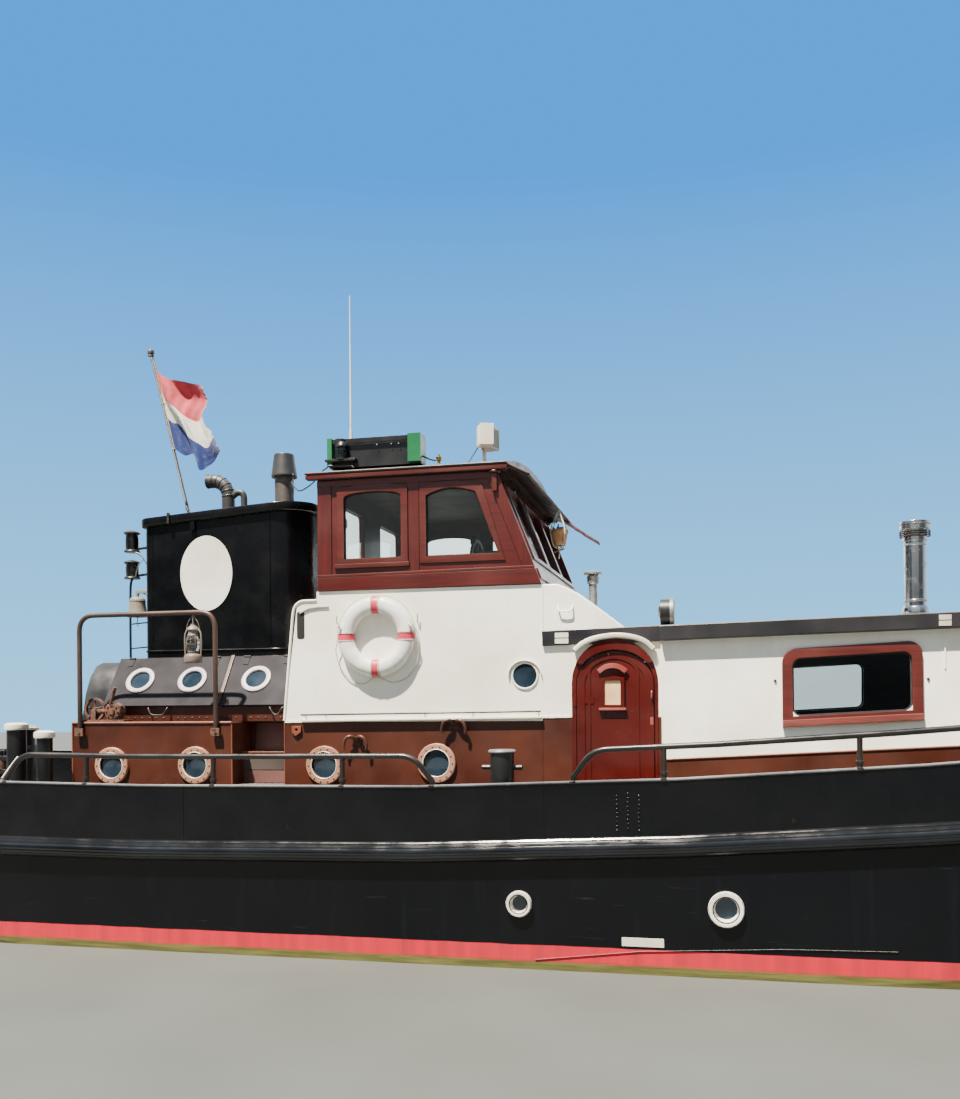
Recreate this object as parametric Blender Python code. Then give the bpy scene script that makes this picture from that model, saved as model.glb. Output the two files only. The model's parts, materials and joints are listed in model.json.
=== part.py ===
# Harbour and river tug with its houses, funnel, deck gear, rudder and propeller.
# Metres. +X forward, +Y to port, +Z up. The origin lies on the waterline amidships.
import math

import bmesh
import bpy
from mathutils import Matrix, Vector

# Clearances
SEAT = 0.0003            # between pieces that touch
RUN = 0.008              # around pieces that move

# Hull form
BOW_X = 10.0
STERN_X = -10.0
HALF_BEAM = 2.35
BOW_STARTS = 3.4         # where the plan begins to narrow forward
STERN_STARTS = -5.5      # where the plan begins to narrow aft
BOW_POWER, BOW_ROUND = 2.3, 0.7
STERN_POWER, STERN_ROUND = 2.4, 0.46
BOW_SLICES, STERN_SLICES = 9, 8
BOW_END_ANGLE, STERN_END_ANGLE = 84.0, 87.0
DECK_LOW, DECK_LOW_X = 0.972, -3.0
DECK_SHEER_FORE, DECK_SHEER_AFT = 0.0063, 0.003
RAIL_LOW, RAIL_LOW_X = 1.438, -2.0
RAIL_SHEER_FORE, RAIL_SHEER_AFT = 0.0073, 0.003
BULWARK_THICK = 0.05
FENDER_HIGH, FENDER_OUT = 0.185, 0.085
HULL_ROWS = 8            # rows of plating below the fender on each side

# Columns: x, height of the hull's bottom, fullness of the section
BOTTOM = (
    (-10.00, 0.60, 2.0),
    (-9.70, 0.25, 2.1),
    (-9.20, 0.02, 2.2),
    (-8.60, -0.15, 2.1),
    (-8.00, -0.34, 2.0),
    (-7.20, -0.68, 2.1),
    (-6.20, -1.00, 2.5),
    (-5.00, -1.20, 3.2),
    (-3.00, -1.30, 4.2),
    (2.00, -1.28, 4.4),
    (4.50, -1.22, 3.6),
    (6.00, -1.20, 2.8),
    (8.00, -1.12, 1.9),
    (9.00, -1.00, 1.6),
    (9.45, -0.75, 1.5),
    (9.70, -0.30, 1.5),
    (9.85, 0.30, 1.5),
    (10.00, 1.30, 1.5),
)

# Keel, shoe, stern tube, propeller and rudder
KEEL_THICK = 0.14
KEEL_DEEP = -1.78
SHOE_TOP = -1.66
KEEL_FORE_X, KEEL_FORE_Z = 7.0, -1.20
SHOE_END_X = -9.2
SHAFT_Z = -0.97
BOSS_END_X, BOSS_RADIUS, BOSS_LENGTH = -7.95, 0.13, 2.0
PROP_RADIUS = 0.55
HUB_RADIUS, HUB_LENGTH = 0.115, 0.30
BLADE_COUNT, BLADE_PITCH, BLADE_THICK = 4, 32.0, 0.028
RUDDER_STOCK_X = -8.72
STOCK_RADIUS = 0.045
RUDDER_FORE, RUDDER_AFT = 0.20, 0.72
RUDDER_BOTTOM, RUDDER_TOP = -1.60, -0.26
RUDDER_THICK = 0.07
STOCK_TOP = 0.35
PINTLE_RADIUS, PINTLE_DEEP = 0.03, 0.06

# Houses
FLOOR_Z = 0.80           # bottom of the pocket in the deck
HOUSE_HALF = 1.43        # outer face of casing, house and wheelhouse
WALL = 0.05
CASING_AFT = -4.29
CASING_TOP = 1.97
STEP_AFT, STEP_FORE = -2.59, -2.05
STEP_HEIGHTS = ((1.37, 1.20), (1.67, 0.97))   # tread height, depth to this half width
HOUSE_AFT_LOW, HOUSE_AFT_HIGH, HOUSE_CORNER = -2.05, -1.92, 0.07
HOUSE_FRONT = 0.40
HOUSE_TOP = 3.18
SHELF_Z = 3.08
LOBBY_FORE = 1.455
SALON_HALF = 1.55
SALON_FORE = 6.30
SALON_LEAN = 3.0         # degrees that the upper sides lean inwards
SALON_RISE = 0.05        # rise of the plinth and windows per metre
PLINTH_TOP = 1.642       # at the salon's after end
ROOF_UNDER, ROOF_RISE = 2.632, 0.022   # at the lobby's after end, and per metre
ROOF_BAND = 0.125
ROOF_CROWN = 0.07
ROOF_FORE = 6.42
ROOF_OVER = 0.03

# Casing ports: x, z
CASING_PORTS = ((-3.856, 1.553), (-2.964, 1.562), (-1.652, 1.569), (-0.574, 1.593))
PORT_RING, PORT_GLASS, PORT_PROUD, PORT_SUNK = 0.175, 0.118, 0.025, 0.05
HOUSE_PORT_X, HOUSE_PORT_Z, HOUSE_PORT_R = 0.243, 2.372, 0.115
# Hull ports: x, z, outer radius
HULL_PORTS = ((0.348, 0.526, 0.10), (1.963, 0.538, 0.133))

# Engine skylight
SKY_AFT, SKY_FORE = -4.13, -2.09
SKY_BASE, SKY_BASE_HALF = 2.13, 1.16
SKY_TOP, SKY_TOP_HALF = 2.60, 0.83
LID_THICK = 0.035
LID_SPLIT = -2.85
LID_BAR = 0.05
LID_OVER = 0.02
# Lid ports by lid: centres along x
LID_PORTS = {"aft": (-3.785, -3.209), "fore": (-2.52,)}
LID_PORT_RING, LID_PORT_GLASS = 0.15, 0.11

# Funnel
FUNNEL_AFT, FUNNEL_FORE, FUNNEL_HALF = -3.90, -2.15, 0.75
FUNNEL_CORNER_AFT, FUNNEL_CORNER_FORE = 0.07, 0.34
FUNNEL_TOP, FUNNEL_TOP_X, FUNNEL_SLOPE = 4.07, -3.95, 0.07
FUNNEL_RIM, FUNNEL_RIM_OUT = 0.09, 0.045

# Wheelhouse
WH_AFT = -1.70
WH_TOP = 4.27
WH_RAKE_TOP = -0.02
WH_ROOF_AFT, WH_ROOF_FORE, WH_ROOF_HALF = -1.79, 0.11, 1.49
WH_ROOF_EDGE, WH_ROOF_CROWN = 0.01, 0.19
FASCIA_LOW = 4.21        # board that hangs from the roof's side edges
VISOR_X, VISOR_Z, VISOR_THICK = 0.29, 4.17, 0.03
SILL_Z, HEAD_Z = 3.465, 4.085
AFT_WINDOW = (-1.447, -0.888)
FORE_WINDOW = (-0.66, 0.135)
HELM_TOP = 3.58
WHEEL_Y = -0.30
WHEEL_Z = 3.46
WHEEL_RIM = (0.285, 0.315)
WHEEL_REACH = 0.385

# Doors
DOOR_AFT, DOOR_FORE = 0.695, 1.385
DOOR_SILL, DOOR_SPRING, DOOR_CROWN = 1.14, 2.29, 2.585
DOOR_THICK = 0.045
DOOR_PROUD = 0.004

# Salon windows: aft edge x of the frame; all alike
SALON_WINDOWS = (2.44, 4.10)
WINDOW_WIDE, WINDOW_HIGH = 1.09, 0.64
WINDOW_LOW = 1.916       # frame's lower edge at x 2.44
FRAME_WIDE, FRAME_PROUD = 0.075, 0.022

# Life ring
RING_X, RING_Z, RING_OUTER = -1.124, 2.747, 0.366
RING_THICK, RING_WIDE = 0.055, 0.078      # half its depth from the wall, half its width
RING_STEPS, RING_SIDES = 28, 12

# Bulwark rails
RAIL_RADIUS, RAIL_SIDES = 0.024, 12
RAIL_ABOVE = 0.25
RAIL_INSET = 0.025       # from the hull's side to the rails' middle
AFT_RAIL = (-4.36, -0.37)
AFT_RAIL_POSTS = (-3.549, -2.323, -1.150)
FORE_RAIL = (0.79, 5.60)
FORE_RAIL_POSTS = (1.501, 2.946, 4.39)

# Hoop rails on the casing
HOOP_AFT, HOOP_FORE, HOOP_TOP, HOOP_FOOT = -4.19, -2.74, 3.02, 1.87
HOOP_RADIUS, HOOP_BEND = 0.024, 0.16

# Mast
MAST_X, MAST_TOP, MAST_RADIUS = 7.05, 9.2, 0.085
MAST_RAKE = 1.5          # degrees aft
TABERNACLE_HIGH = 1.25
MAST_PIN_RADIUS, MAST_PIN_PLAY, PIN_SIDES = 0.03, 0.0008, 24

# Hand pump: after end, and its place, half width and thickness as shares of the strip it stands on
WINCH_AFT, WINCH_IN, WINCH_HALF, WINCH_THICK = -4.19, 0.352, 0.296, 0.444

# Gear aft of the funnel. Stern lamps: height of each can's middle and the can's height
STERN_LAMPS = ((3.878, 0.23), (3.58, 0.20))
LAMP_OUT, LAMP_Y, LAMP_RADIUS = 0.255, -0.55, 0.078
BELL_OUT, BELL_Y, BELL_LOW, BELL_HIGH, BELL_RADIUS = 0.155, -0.62, 3.07, 3.27, 0.12

# Flagstaff and flag
STAFF_FOOT_X, STAFF_Y, STAFF_RADIUS = -3.60, -0.30, 0.016
STAFF_TOP = (-4.06, 5.96)
FLAG_THICK = 0.05
# Hoist ends as shares of the staff, and the flag's free edge as (x, z)
FLAG_HOIST = (0.965, 0.43)
FLAG_FREE = ((-3.88, 5.72), (-3.53, 5.60), (-3.40, 5.45), (-3.32, 4.95), (-3.40, 4.68), (-3.58, 4.85))

# Roofs: straight runs across a bowed top, and the flat seat of the trunk
CAMBER_STEPS = 8
TRUNK_FOOT, TRUNK_FORE = ROOF_UNDER + ROOF_BAND - 0.03, 1.10
# The trunk's curve from its front edge up to the wheelhouse: shares of its length and height
TRUNK_CURVE = ((1.0, 0.14), (0.929, 0.25), (0.786, 0.43), (0.657, 0.58), (0.486, 0.78), (0.314, 0.93),
               (0.2, 1.0))
# Columns: name, x, y, foot radius, height, colour
ROOF_POSTS = (
    ("flue", 3.64, -0.60, 0.095, 0.72, "steel"),
    ("searchlight", 1.42, 0.0, 0.03, 0.06, "black_paint"),
)
# Vent on the trunk: pipe's place, radius and top, cap's radius and height
VENT_X, VENT_Y, VENT_RADIUS, VENT_TOP = 0.64, 0.40, 0.045, 3.38
VENT_CAP = (0.095, 0.12)

# Side bollards
BOLLARD_X, BOLLARD_INSET, BOLLARD_RADIUS, BOLLARD_TOP = 0.168, 0.25, 0.10, 1.73

# Tow hook: pin place, eye, bore and lugs
TOW_X = -5.9
HOOK_PIN_X, HOOK_Z = TOW_X - 0.30, 1.46
HOOK_PIN_RADIUS, HOOK_EYE_RADIUS, HOOK_EYE_HIGH = 0.03, 0.075, 0.10
HOOK_LUG = 0.05

# Grab line: across and up from the ring's middle, and out from the wall. The ring carries
# it at GRAB_HOLD from the middle, GRAB_OUT from the wall, at the top, both sides and the bottom
GRAB_RADIUS, GRAB_STEPS = 0.005, 3
GRAB_HOLD, GRAB_OUT = RING_OUTER + GRAB_RADIUS + SEAT, RING_THICK + SEAT
GRAB_LINE = (
    (0.007, GRAB_HOLD, GRAB_OUT), (0.130, 0.362, 0.052), (0.250, 0.292, 0.045), (0.338, 0.172, 0.045),
    (0.371, 0.065, 0.053), (GRAB_HOLD, 0.000, GRAB_OUT), (0.383, -0.060, 0.050), (0.398, -0.130, 0.040),
    (0.372, -0.255, 0.022), (0.285, -0.372, 0.016), (0.150, -0.418, 0.020), (0.050, -0.380, 0.046),
    (0.000, -GRAB_HOLD, GRAB_OUT), (-0.050, -0.382, 0.046), (-0.140, -0.432, 0.020),
    (-0.275, -0.382, 0.016), (-0.368, -0.260, 0.022), (-0.396, -0.130, 0.040), (-0.383, -0.060, 0.050),
    (-GRAB_HOLD, 0.000, GRAB_OUT), (-0.371, 0.065, 0.053), (-0.342, 0.172, 0.045),
    (-0.252, 0.290, 0.045), (-0.132, 0.362, 0.052), (-0.007, GRAB_HOLD, GRAB_OUT),
)

root = bpy.data.collections.new("tugboat")
guides = bpy.data.collections.new("cutters")


def clear_scene():
    for old in list(bpy.data.objects):
        bpy.data.objects.remove(old, do_unlink=True)
    bpy.context.scene.collection.children.link(root)
    bpy.context.scene.collection.children.link(guides)


# Columns: colour, roughness, metallic
PAINTS = {
    "black_paint": ((0.012, 0.014, 0.02), 0.25, 0.0),
    "deck_paint": ((0.09, 0.10, 0.10), 0.7, 0.0),
    "brown_paint": ((0.14, 0.035, 0.018), 0.45, 0.0),
    "white_paint": ((0.80, 0.78, 0.70), 0.35, 0.0),
    "grey_paint": ((0.13, 0.13, 0.16), 0.5, 0.0),
    "mahogany": ((0.16, 0.03, 0.022), 0.35, 0.0),
    "door_red": ((0.10, 0.012, 0.012), 0.35, 0.0),
    "steel": ((0.45, 0.46, 0.48), 0.3, 1.0),
    "bronze": ((0.40, 0.22, 0.08), 0.35, 1.0),
    "rust": ((0.10, 0.035, 0.02), 0.9, 0.2),
    "cloth": ((0.5, 0.45, 0.5), 0.9, 0.0),
    "rubber": ((0.02, 0.02, 0.02), 0.8, 0.0),
    "orange_ring": ((0.75, 0.73, 0.70), 0.5, 0.0),
    "green_paint": ((0.01, 0.20, 0.05), 0.4, 0.0),
    "red_paint": ((0.30, 0.015, 0.012), 0.4, 0.0),
}


def paint(name):
    material = bpy.data.materials.get(name)
    if material:
        return material
    colour, roughness, metallic = PAINTS[name]
    material = bpy.data.materials.new(name)
    material.use_nodes = True
    shader = material.node_tree.nodes["Principled BSDF"]
    shader.inputs["Base Color"].default_value = (*colour, 1)
    shader.inputs["Roughness"].default_value = roughness
    shader.inputs["Metallic"].default_value = metallic
    return material


# Building blocks
def add_object(name, mesh, colour):
    obj = bpy.data.objects.new(name, mesh)
    root.objects.link(obj)
    mesh.materials.clear()
    mesh.materials.append(paint(colour))
    return obj


def from_bmesh(name, shape, colour):
    bmesh.ops.recalc_face_normals(shape, faces=shape.faces)
    mesh = bpy.data.meshes.new(name)
    shape.to_mesh(mesh)
    shape.free()
    return add_object(name, mesh, colour)


def box(name, low, high, colour="steel"):
    shape = bmesh.new()
    bmesh.ops.create_cube(shape, size=1)
    size = [b - a for a, b in zip(low, high)]
    middle = [(a + b) / 2 for a, b in zip(low, high)]
    bmesh.ops.scale(shape, vec=size, verts=shape.verts)
    bmesh.ops.translate(shape, vec=middle, verts=shape.verts)
    return from_bmesh(name, shape, colour)


AXIS_TURN = {
    "X": Matrix.Rotation(math.radians(90), 4, "Y"),
    "Y": Matrix.Rotation(math.radians(-90), 4, "X"),
    "Z": Matrix.Identity(4),
}


def cone(name, centre, radius, top_radius, length, axis="Z", colour="steel", sides=16):
    shape = bmesh.new()
    bmesh.ops.create_cone(shape, cap_ends=True, segments=sides, radius1=radius,
                          radius2=top_radius, depth=length)
    bmesh.ops.transform(shape, matrix=Matrix.Translation(centre) @ AXIS_TURN[axis],
                        verts=shape.verts)
    return from_bmesh(name, shape, colour)


def cylinder(name, centre, radius, length, axis="Z", colour="steel", sides=16):
    return cone(name, centre, radius, radius, length, axis, colour, sides)


def between(name, start, end, radius, colour="steel", sides=12):
    start, end = Vector(start), Vector(end)
    run = end - start
    shape = bmesh.new()
    bmesh.ops.create_cone(shape, cap_ends=True, segments=sides, radius1=radius,
                          radius2=radius, depth=run.length)
    turn = run.to_track_quat("Z", "Y").to_matrix().to_4x4()
    bmesh.ops.transform(shape, matrix=Matrix.Translation((start + end) / 2) @ turn,
                        verts=shape.verts)
    return from_bmesh(name, shape, colour)


def curve_to_mesh(name, curve, matrix, colour):
    guide = bpy.data.objects.new(name + "_curve", curve)
    root.objects.link(guide)
    guide.matrix_world = matrix
    bpy.context.view_layer.update()
    graph = bpy.context.evaluated_depsgraph_get()
    mesh = bpy.data.meshes.new_from_object(guide.evaluated_get(graph))
    mesh.name = name
    shape = bmesh.new()
    shape.from_mesh(mesh)
    bmesh.ops.transform(shape, matrix=matrix, verts=shape.verts)
    bmesh.ops.remove_doubles(shape, verts=shape.verts, dist=0.0001)
    bmesh.ops.recalc_face_normals(shape, faces=shape.faces)
    shape.to_mesh(mesh)
    shape.free()
    bpy.data.objects.remove(guide, do_unlink=True)
    return add_object(name, mesh, colour)


def tube(name, points, radius, colour="steel", sides=8, closed=False):
    curve = bpy.data.curves.new(name, "CURVE")
    curve.dimensions = "3D"
    curve.bevel_depth = radius
    curve.bevel_resolution = (sides - 4) // 2
    curve.use_fill_caps = True
    line = curve.splines.new("POLY")
    line.points.add(len(points) - 1)
    for spot, point in zip(line.points, points):
        spot.co = (*point, 1)
    line.use_cyclic_u = closed
    return curve_to_mesh(name, curve, Matrix.Identity(4), colour)


# A flat plate drawn in its own plane: u, v and the thickness direction
PLANES = {
    "XZ": Matrix(((1, 0, 0, 0), (0, 0, -1, 0), (0, 1, 0, 0), (0, 0, 0, 1))),
    "XY": Matrix.Identity(4),
    "YZ": Matrix(((0, 0, 1, 0), (1, 0, 0, 0), (0, 1, 0, 0), (0, 0, 0, 1))),
}


def plate(name, outline, middle, thickness, plane, colour, holes=(), turn=None):
    curve = bpy.data.curves.new(name, "CURVE")
    curve.dimensions = "2D"
    curve.fill_mode = "BOTH"
    curve.extrude = thickness / 2
    for loop in (outline, *holes):
        line = curve.splines.new("POLY")
        line.points.add(len(loop) - 1)
        for spot, (u, v) in zip(line.points, loop):
            spot.co = (u, v, 0, 1)
        line.use_cyclic_u = True
    matrix = Matrix.Translation(middle) @ (turn or Matrix.Identity(4)) @ PLANES[plane]
    return curve_to_mesh(name, curve, matrix, colour)


def arc(centre, radius, start, end, steps):
    points = []
    for step in range(steps + 1):
        angle = math.radians(start + (end - start) * step / steps)
        points.append((centre[0] + radius * math.cos(angle), centre[1] + radius * math.sin(angle)))
    return points


def rounded(low_u, low_v, high_u, high_v, radius, steps=4):
    corners = ((high_u - radius, high_v - radius, 0), (low_u + radius, high_v - radius, 90),
               (low_u + radius, low_v + radius, 180), (high_u - radius, low_v + radius, 270))
    points = []
    for u, v, start in corners:
        points += arc((u, v), radius, start, start + 90, steps)
    return points


def arched(low_u, low_v, high_u, spring, crown, steps=12):
    middle, half, rise = (low_u + high_u) / 2, (high_u - low_u) / 2, crown - spring
    points = [(low_u, low_v), (high_u, low_v)]
    for step in range(steps + 1):
        angle = math.pi * step / steps
        points.append((middle + half * math.cos(angle), spring + rise * math.sin(angle)))
    return points


def guide(cutter):
    root.objects.unlink(cutter)
    guides.objects.link(cutter)
    cutter.hide_render = True
    cutter.display_type = "WIRE"


def combine(obj, other, operation):
    change = obj.modifiers.new(other.name, "BOOLEAN")
    change.operation = operation
    change.object = other
    change.solver = "EXACT"
    guide(other)
    return obj


def cut(obj, *cutters):
    for cutter in cutters:
        combine(obj, cutter, "DIFFERENCE")
    return obj


def join(obj, *pieces):
    for piece in pieces:
        combine(obj, piece, "UNION")
    return obj


# Each side: name and sign of Y
SIDES = (("starboard", -1), ("port", 1))


# Hull lines
def between_rows(x, column):
    rows = BOTTOM
    for low, high in zip(rows, rows[1:]):
        if x <= high[0]:
            share = (x - low[0]) / (high[0] - low[0])
            return low[column] + share * (high[column] - low[column])
    return rows[-1][column]


def half_beam(x):
    if x > BOW_STARTS:
        reach = min((x - BOW_STARTS) / (BOW_X - BOW_STARTS), 1)
        return HALF_BEAM * (1 - reach ** BOW_POWER) ** BOW_ROUND
    if x < STERN_STARTS:
        reach = min((STERN_STARTS - x) / (STERN_STARTS - STERN_X), 1)
        return HALF_BEAM * (1 - reach ** STERN_POWER) ** STERN_ROUND
    return HALF_BEAM


def deck_z(x):
    run = x - DECK_LOW_X
    return DECK_LOW + (DECK_SHEER_FORE if run > 0 else DECK_SHEER_AFT) * run * run


def rail_z(x):
    run = x - RAIL_LOW_X
    return RAIL_LOW + (RAIL_SHEER_FORE if run > 0 else RAIL_SHEER_AFT) * run * run


def stations():
    aft = [STERN_STARTS - (STERN_STARTS - STERN_X) * math.sin(math.radians(STERN_END_ANGLE * i / STERN_SLICES))
           for i in range(STERN_SLICES, 0, -1)]
    middle = [STERN_STARTS, -3.0, -0.5, 1.6, BOW_STARTS]
    fore = [BOW_STARTS + (BOW_X - BOW_STARTS) * math.sin(math.radians(BOW_END_ANGLE * i / BOW_SLICES))
            for i in range(1, BOW_SLICES + 1)]
    return aft + middle + fore


def on_facets(x, rule):
    """A rule's value on the straight run between the two stations beside x."""
    xs = stations()
    for low, high in zip(xs, xs[1:]):
        if low <= x <= high:
            share = (x - low) / (high - low)
            return rule(low) + share * (rule(high) - rule(low))
    return rule(x)


def deck_pad(name, low_x, high_x, half_y, thick, colour="black_paint", middle_y=0.0):
    """A foot whose underside follows the deck and whose top is level."""
    breaks = [x for x in stations() if low_x < x < high_x]
    outline = [(x, on_facets(x, deck_z) + SEAT) for x in (low_x, *breaks, high_x)]
    top = max(z for _, z in outline) + thick
    outline += [(high_x, top), (low_x, top)]
    pad = plate(name, outline, (0, middle_y, 0), 2 * half_y, "XZ", colour)
    return pad, top


def half_section(x):
    """Points from the deck edge down to the centreline, as (y, z)."""
    top, bottom, full = deck_z(x), between_rows(x, 1), between_rows(x, 2)
    wide = half_beam(x)
    points = [(wide, top), (wide, top - FENDER_HIGH)]
    low_top = top - FENDER_HIGH
    for row in range(1, HULL_ROWS):
        angle = math.pi / 2 * row / HULL_ROWS
        points.append((wide * math.cos(angle) ** (2 / full),
                       low_top - (low_top - bottom) * math.sin(angle) ** (2 / full)))
    points.append((0, bottom))
    return points


def loft_rings(name, rings, colour):
    """Skins closed rings of equal length in order and caps both ends."""
    shape = bmesh.new()
    grid = [[shape.verts.new(point) for point in ring] for ring in rings]
    count = len(grid[0])
    for ring, following in zip(grid, grid[1:]):
        for i in range(count):
            j = (i + 1) % count
            shape.faces.new((ring[i], ring[j], following[j], following[i]))
    shape.faces.new(grid[0])
    shape.faces.new(reversed(grid[-1]))
    return from_bmesh(name, shape, colour)


def build_hull():
    rings = []
    for x in stations():
        half = half_section(x)
        ring = [(x, y, z) for y, z in half]
        ring += [(x, -y, z) for y, z in reversed(half[:-1])]
        rings.append(ring)
    hull = loft_rings("hull", rings, "black_paint")

    keel_outline = [(KEEL_FORE_X, KEEL_FORE_Z + 0.2), (KEEL_FORE_X, KEEL_FORE_Z), (4.5, -1.45),
                    (-6.0, KEEL_DEEP), (SHOE_END_X, KEEL_DEEP), (SHOE_END_X, SHOE_TOP),
                    (BOSS_END_X + 0.15, SHOE_TOP), (BOSS_END_X + 0.05, -0.25), (-6.0, -0.8)]
    keel = plate("keel", keel_outline, (0, 0, 0), KEEL_THICK, "XZ", "black_paint")
    boss = cone("boss", (BOSS_END_X + BOSS_LENGTH / 2, 0, SHAFT_Z), BOSS_RADIUS, BOSS_RADIUS * 1.6,
                BOSS_LENGTH, "X")
    join(hull, keel, boss)

    houses = box("house_pocket", (CASING_AFT - SEAT, -HOUSE_HALF - SEAT, FLOOR_Z),
                 (LOBBY_FORE, HOUSE_HALF + SEAT, 3))
    salon = box("salon_pocket", (LOBBY_FORE - SEAT, -SALON_HALF - SEAT, FLOOR_Z),
                (SALON_FORE + SEAT, SALON_HALF + SEAT, 3))
    trunk = cylinder("rudder_trunk", (RUDDER_STOCK_X, 0, 0.0), STOCK_RADIUS + 0.006, 2 * STOCK_TOP + 0.02)
    gudgeon = cylinder("gudgeon", (RUDDER_STOCK_X, 0, SHOE_TOP), PINTLE_RADIUS + 0.002,
                       2 * PINTLE_DEEP + 0.02)
    cut(hull, houses, salon, trunk, gudgeon)
    for number, (x, z, radius) in enumerate(HULL_PORTS):
        for side, sign in SIDES:
            ring = cylinder(f"hull_port_{side}_{number}", (x, sign * HALF_BEAM, z), radius, 0.07, "Y")
            hole = cylinder(f"hull_port_hole_{side}_{number}", (x, sign * HALF_BEAM, z),
                            radius * 0.72, 0.12, "Y")
            join(hull, ring)
            cut(hull, hole)
    return hull


def plan_points():
    """The deck's edge as one loop from stern to bow to starboard and back."""
    xs = stations()
    port = [(x, half_beam(x)) for x in xs]
    starboard = [(x, -half_beam(x)) for x in reversed(xs)]
    return port + starboard


def inward(loop, distance):
    """Moves a closed plan loop inwards by a distance, along the mean of its edge normals."""
    moved = []
    count = len(loop)
    for i, point in enumerate(loop):
        before, after = Vector(loop[i - 1]), Vector(loop[(i + 1) % count])
        here = Vector(point)
        one, two = (here - before).normalized(), (after - here).normalized()
        normal_one, normal_two = Vector((one.y, -one.x)), Vector((two.y, -two.x))
        mean = (normal_one + normal_two).normalized()
        moved.append(here + mean * distance / max(mean.dot(normal_one), 0.35))
    return moved


def ring_wall(name, sections, colour):
    """Skins a closed loop of equal closed sections, like a ring with that section."""
    shape = bmesh.new()
    grid = [[shape.verts.new(point) for point in section] for section in sections]
    rows, count = len(grid), len(grid[0])
    for r in range(rows):
        following = grid[(r + 1) % rows]
        for i in range(count):
            j = (i + 1) % count
            shape.faces.new((grid[r][i], grid[r][j], following[j], following[i]))
    return from_bmesh(name, shape, colour)


def build_bulwark():
    outer = plan_points()
    inner = inward(outer, BULWARK_THICK)
    sections = []
    for (x, y), near in zip(outer, inner):
        low, high = deck_z(x) + SEAT, rail_z(x)
        sections.append([(x, y, low), (x, y, high), (near.x, near.y, high), (near.x, near.y, low)])
    return ring_wall("bulwark", sections, "black_paint")


def build_fender():
    plan = plan_points()
    near = inward(plan, -SEAT)
    # Columns: how far out, as a share of the whole; how far down, as a share of the height
    profile = ((0.0, 0.02), (0.35, 0.06), (0.85, 0.30), (1.0, 0.55), (0.85, 0.82), (0.35, 0.98))
    sections = []
    loops = [inward(plan, -SEAT - FENDER_OUT * out) for out, down in profile]
    for i, (x, y) in enumerate(plan):
        top = deck_z(x)
        section = []
        for loop, (out, down) in zip(loops, profile):
            section.append((loop[i].x, loop[i].y, top - FENDER_HIGH * down))
        section.append((near[i].x, near[i].y, top - FENDER_HIGH))
        sections.append(section)
    return ring_wall("rub_rail", sections, "black_paint")


def build_rudder():
    x, low, high = RUDDER_STOCK_X, RUDDER_BOTTOM, RUDDER_TOP
    outline = [(x + RUDDER_FORE, low), (x + RUDDER_FORE, high - 0.1), (x + RUDDER_FORE - 0.1, high),
               (x - RUDDER_AFT * 0.8, high + 0.04), (x - RUDDER_AFT, high - 0.25),
               (x - RUDDER_AFT, low + 0.1), (x - RUDDER_AFT + 0.12, low)]
    blade = plate("rudder", outline, (0, 0, 0), RUDDER_THICK, "XZ", "black_paint")
    stock = cylinder("rudder_stock", (x, 0, (STOCK_TOP + high) / 2 - 0.1), STOCK_RADIUS,
                     STOCK_TOP - high + 0.2, sides=16)
    collar = cylinder("rudder_collar", (x, 0, (low + SHOE_TOP + SEAT) / 2 + 0.01), STOCK_RADIUS + 0.01,
                      low - SHOE_TOP - SEAT + 0.02, sides=16)
    pintle = cylinder("rudder_pintle", (x, 0, SHOE_TOP), PINTLE_RADIUS, 2 * PINTLE_DEEP, sides=16)
    join(blade, stock, collar, pintle)
    blade.data.transform(Matrix.Translation((-x, 0, 0)))
    blade.location = (x, 0, 0)
    return blade


def build_propeller():
    hub_x = BOSS_END_X - SEAT - HUB_LENGTH / 2
    hub = cone("propeller", (hub_x, 0, SHAFT_Z), HUB_RADIUS * 0.6, HUB_RADIUS, HUB_LENGTH, "X", "bronze")
    for number in range(BLADE_COUNT):
        outline = [(-0.06, 0.05), (0.06, 0.05)]
        outline += [(0.155 * math.cos(math.radians(a)), 0.33 + 0.22 * math.sin(math.radians(a)))
                    for a in range(-30, 211, 20)]
        turn = (Matrix.Rotation(2 * math.pi * number / BLADE_COUNT, 4, "X")
                @ Matrix.Rotation(math.radians(90 - BLADE_PITCH), 4, "Z"))
        blade = plate(f"blade_{number}", outline, (hub_x, 0, SHAFT_Z), BLADE_THICK, "XZ", "bronze",
                      turn=turn)
        join(hub, blade)
    return hub


def build_casing():
    casing = box("engine_casing", (CASING_AFT, -HOUSE_HALF, FLOOR_Z + SEAT),
                 (HOUSE_FRONT - SEAT, HOUSE_HALF, CASING_TOP), "brown_paint")
    for side, sign in SIDES:
        for number, (tread, depth) in enumerate(STEP_HEIGHTS):
            near, far = sorted((sign * depth, sign * (HOUSE_HALF + 0.1)))
            cut(casing, box(f"step_{side}_{number}", (STEP_AFT, near, tread), (STEP_FORE, far, 3)))
        for number, (x, z) in enumerate(CASING_PORTS):
            face = sign * HOUSE_HALF
            join(casing, cylinder(f"port_ring_{side}_{number}", (x, face, z), PORT_RING, 2 * PORT_PROUD, "Y"))
            cut(casing, cylinder(f"port_hole_{side}_{number}", (x, face, z), PORT_GLASS, 2 * PORT_SUNK, "Y"))
    return casing


def sky_slope():
    return math.atan2(SKY_TOP - SKY_BASE, SKY_BASE_HALF - SKY_TOP_HALF)


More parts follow.
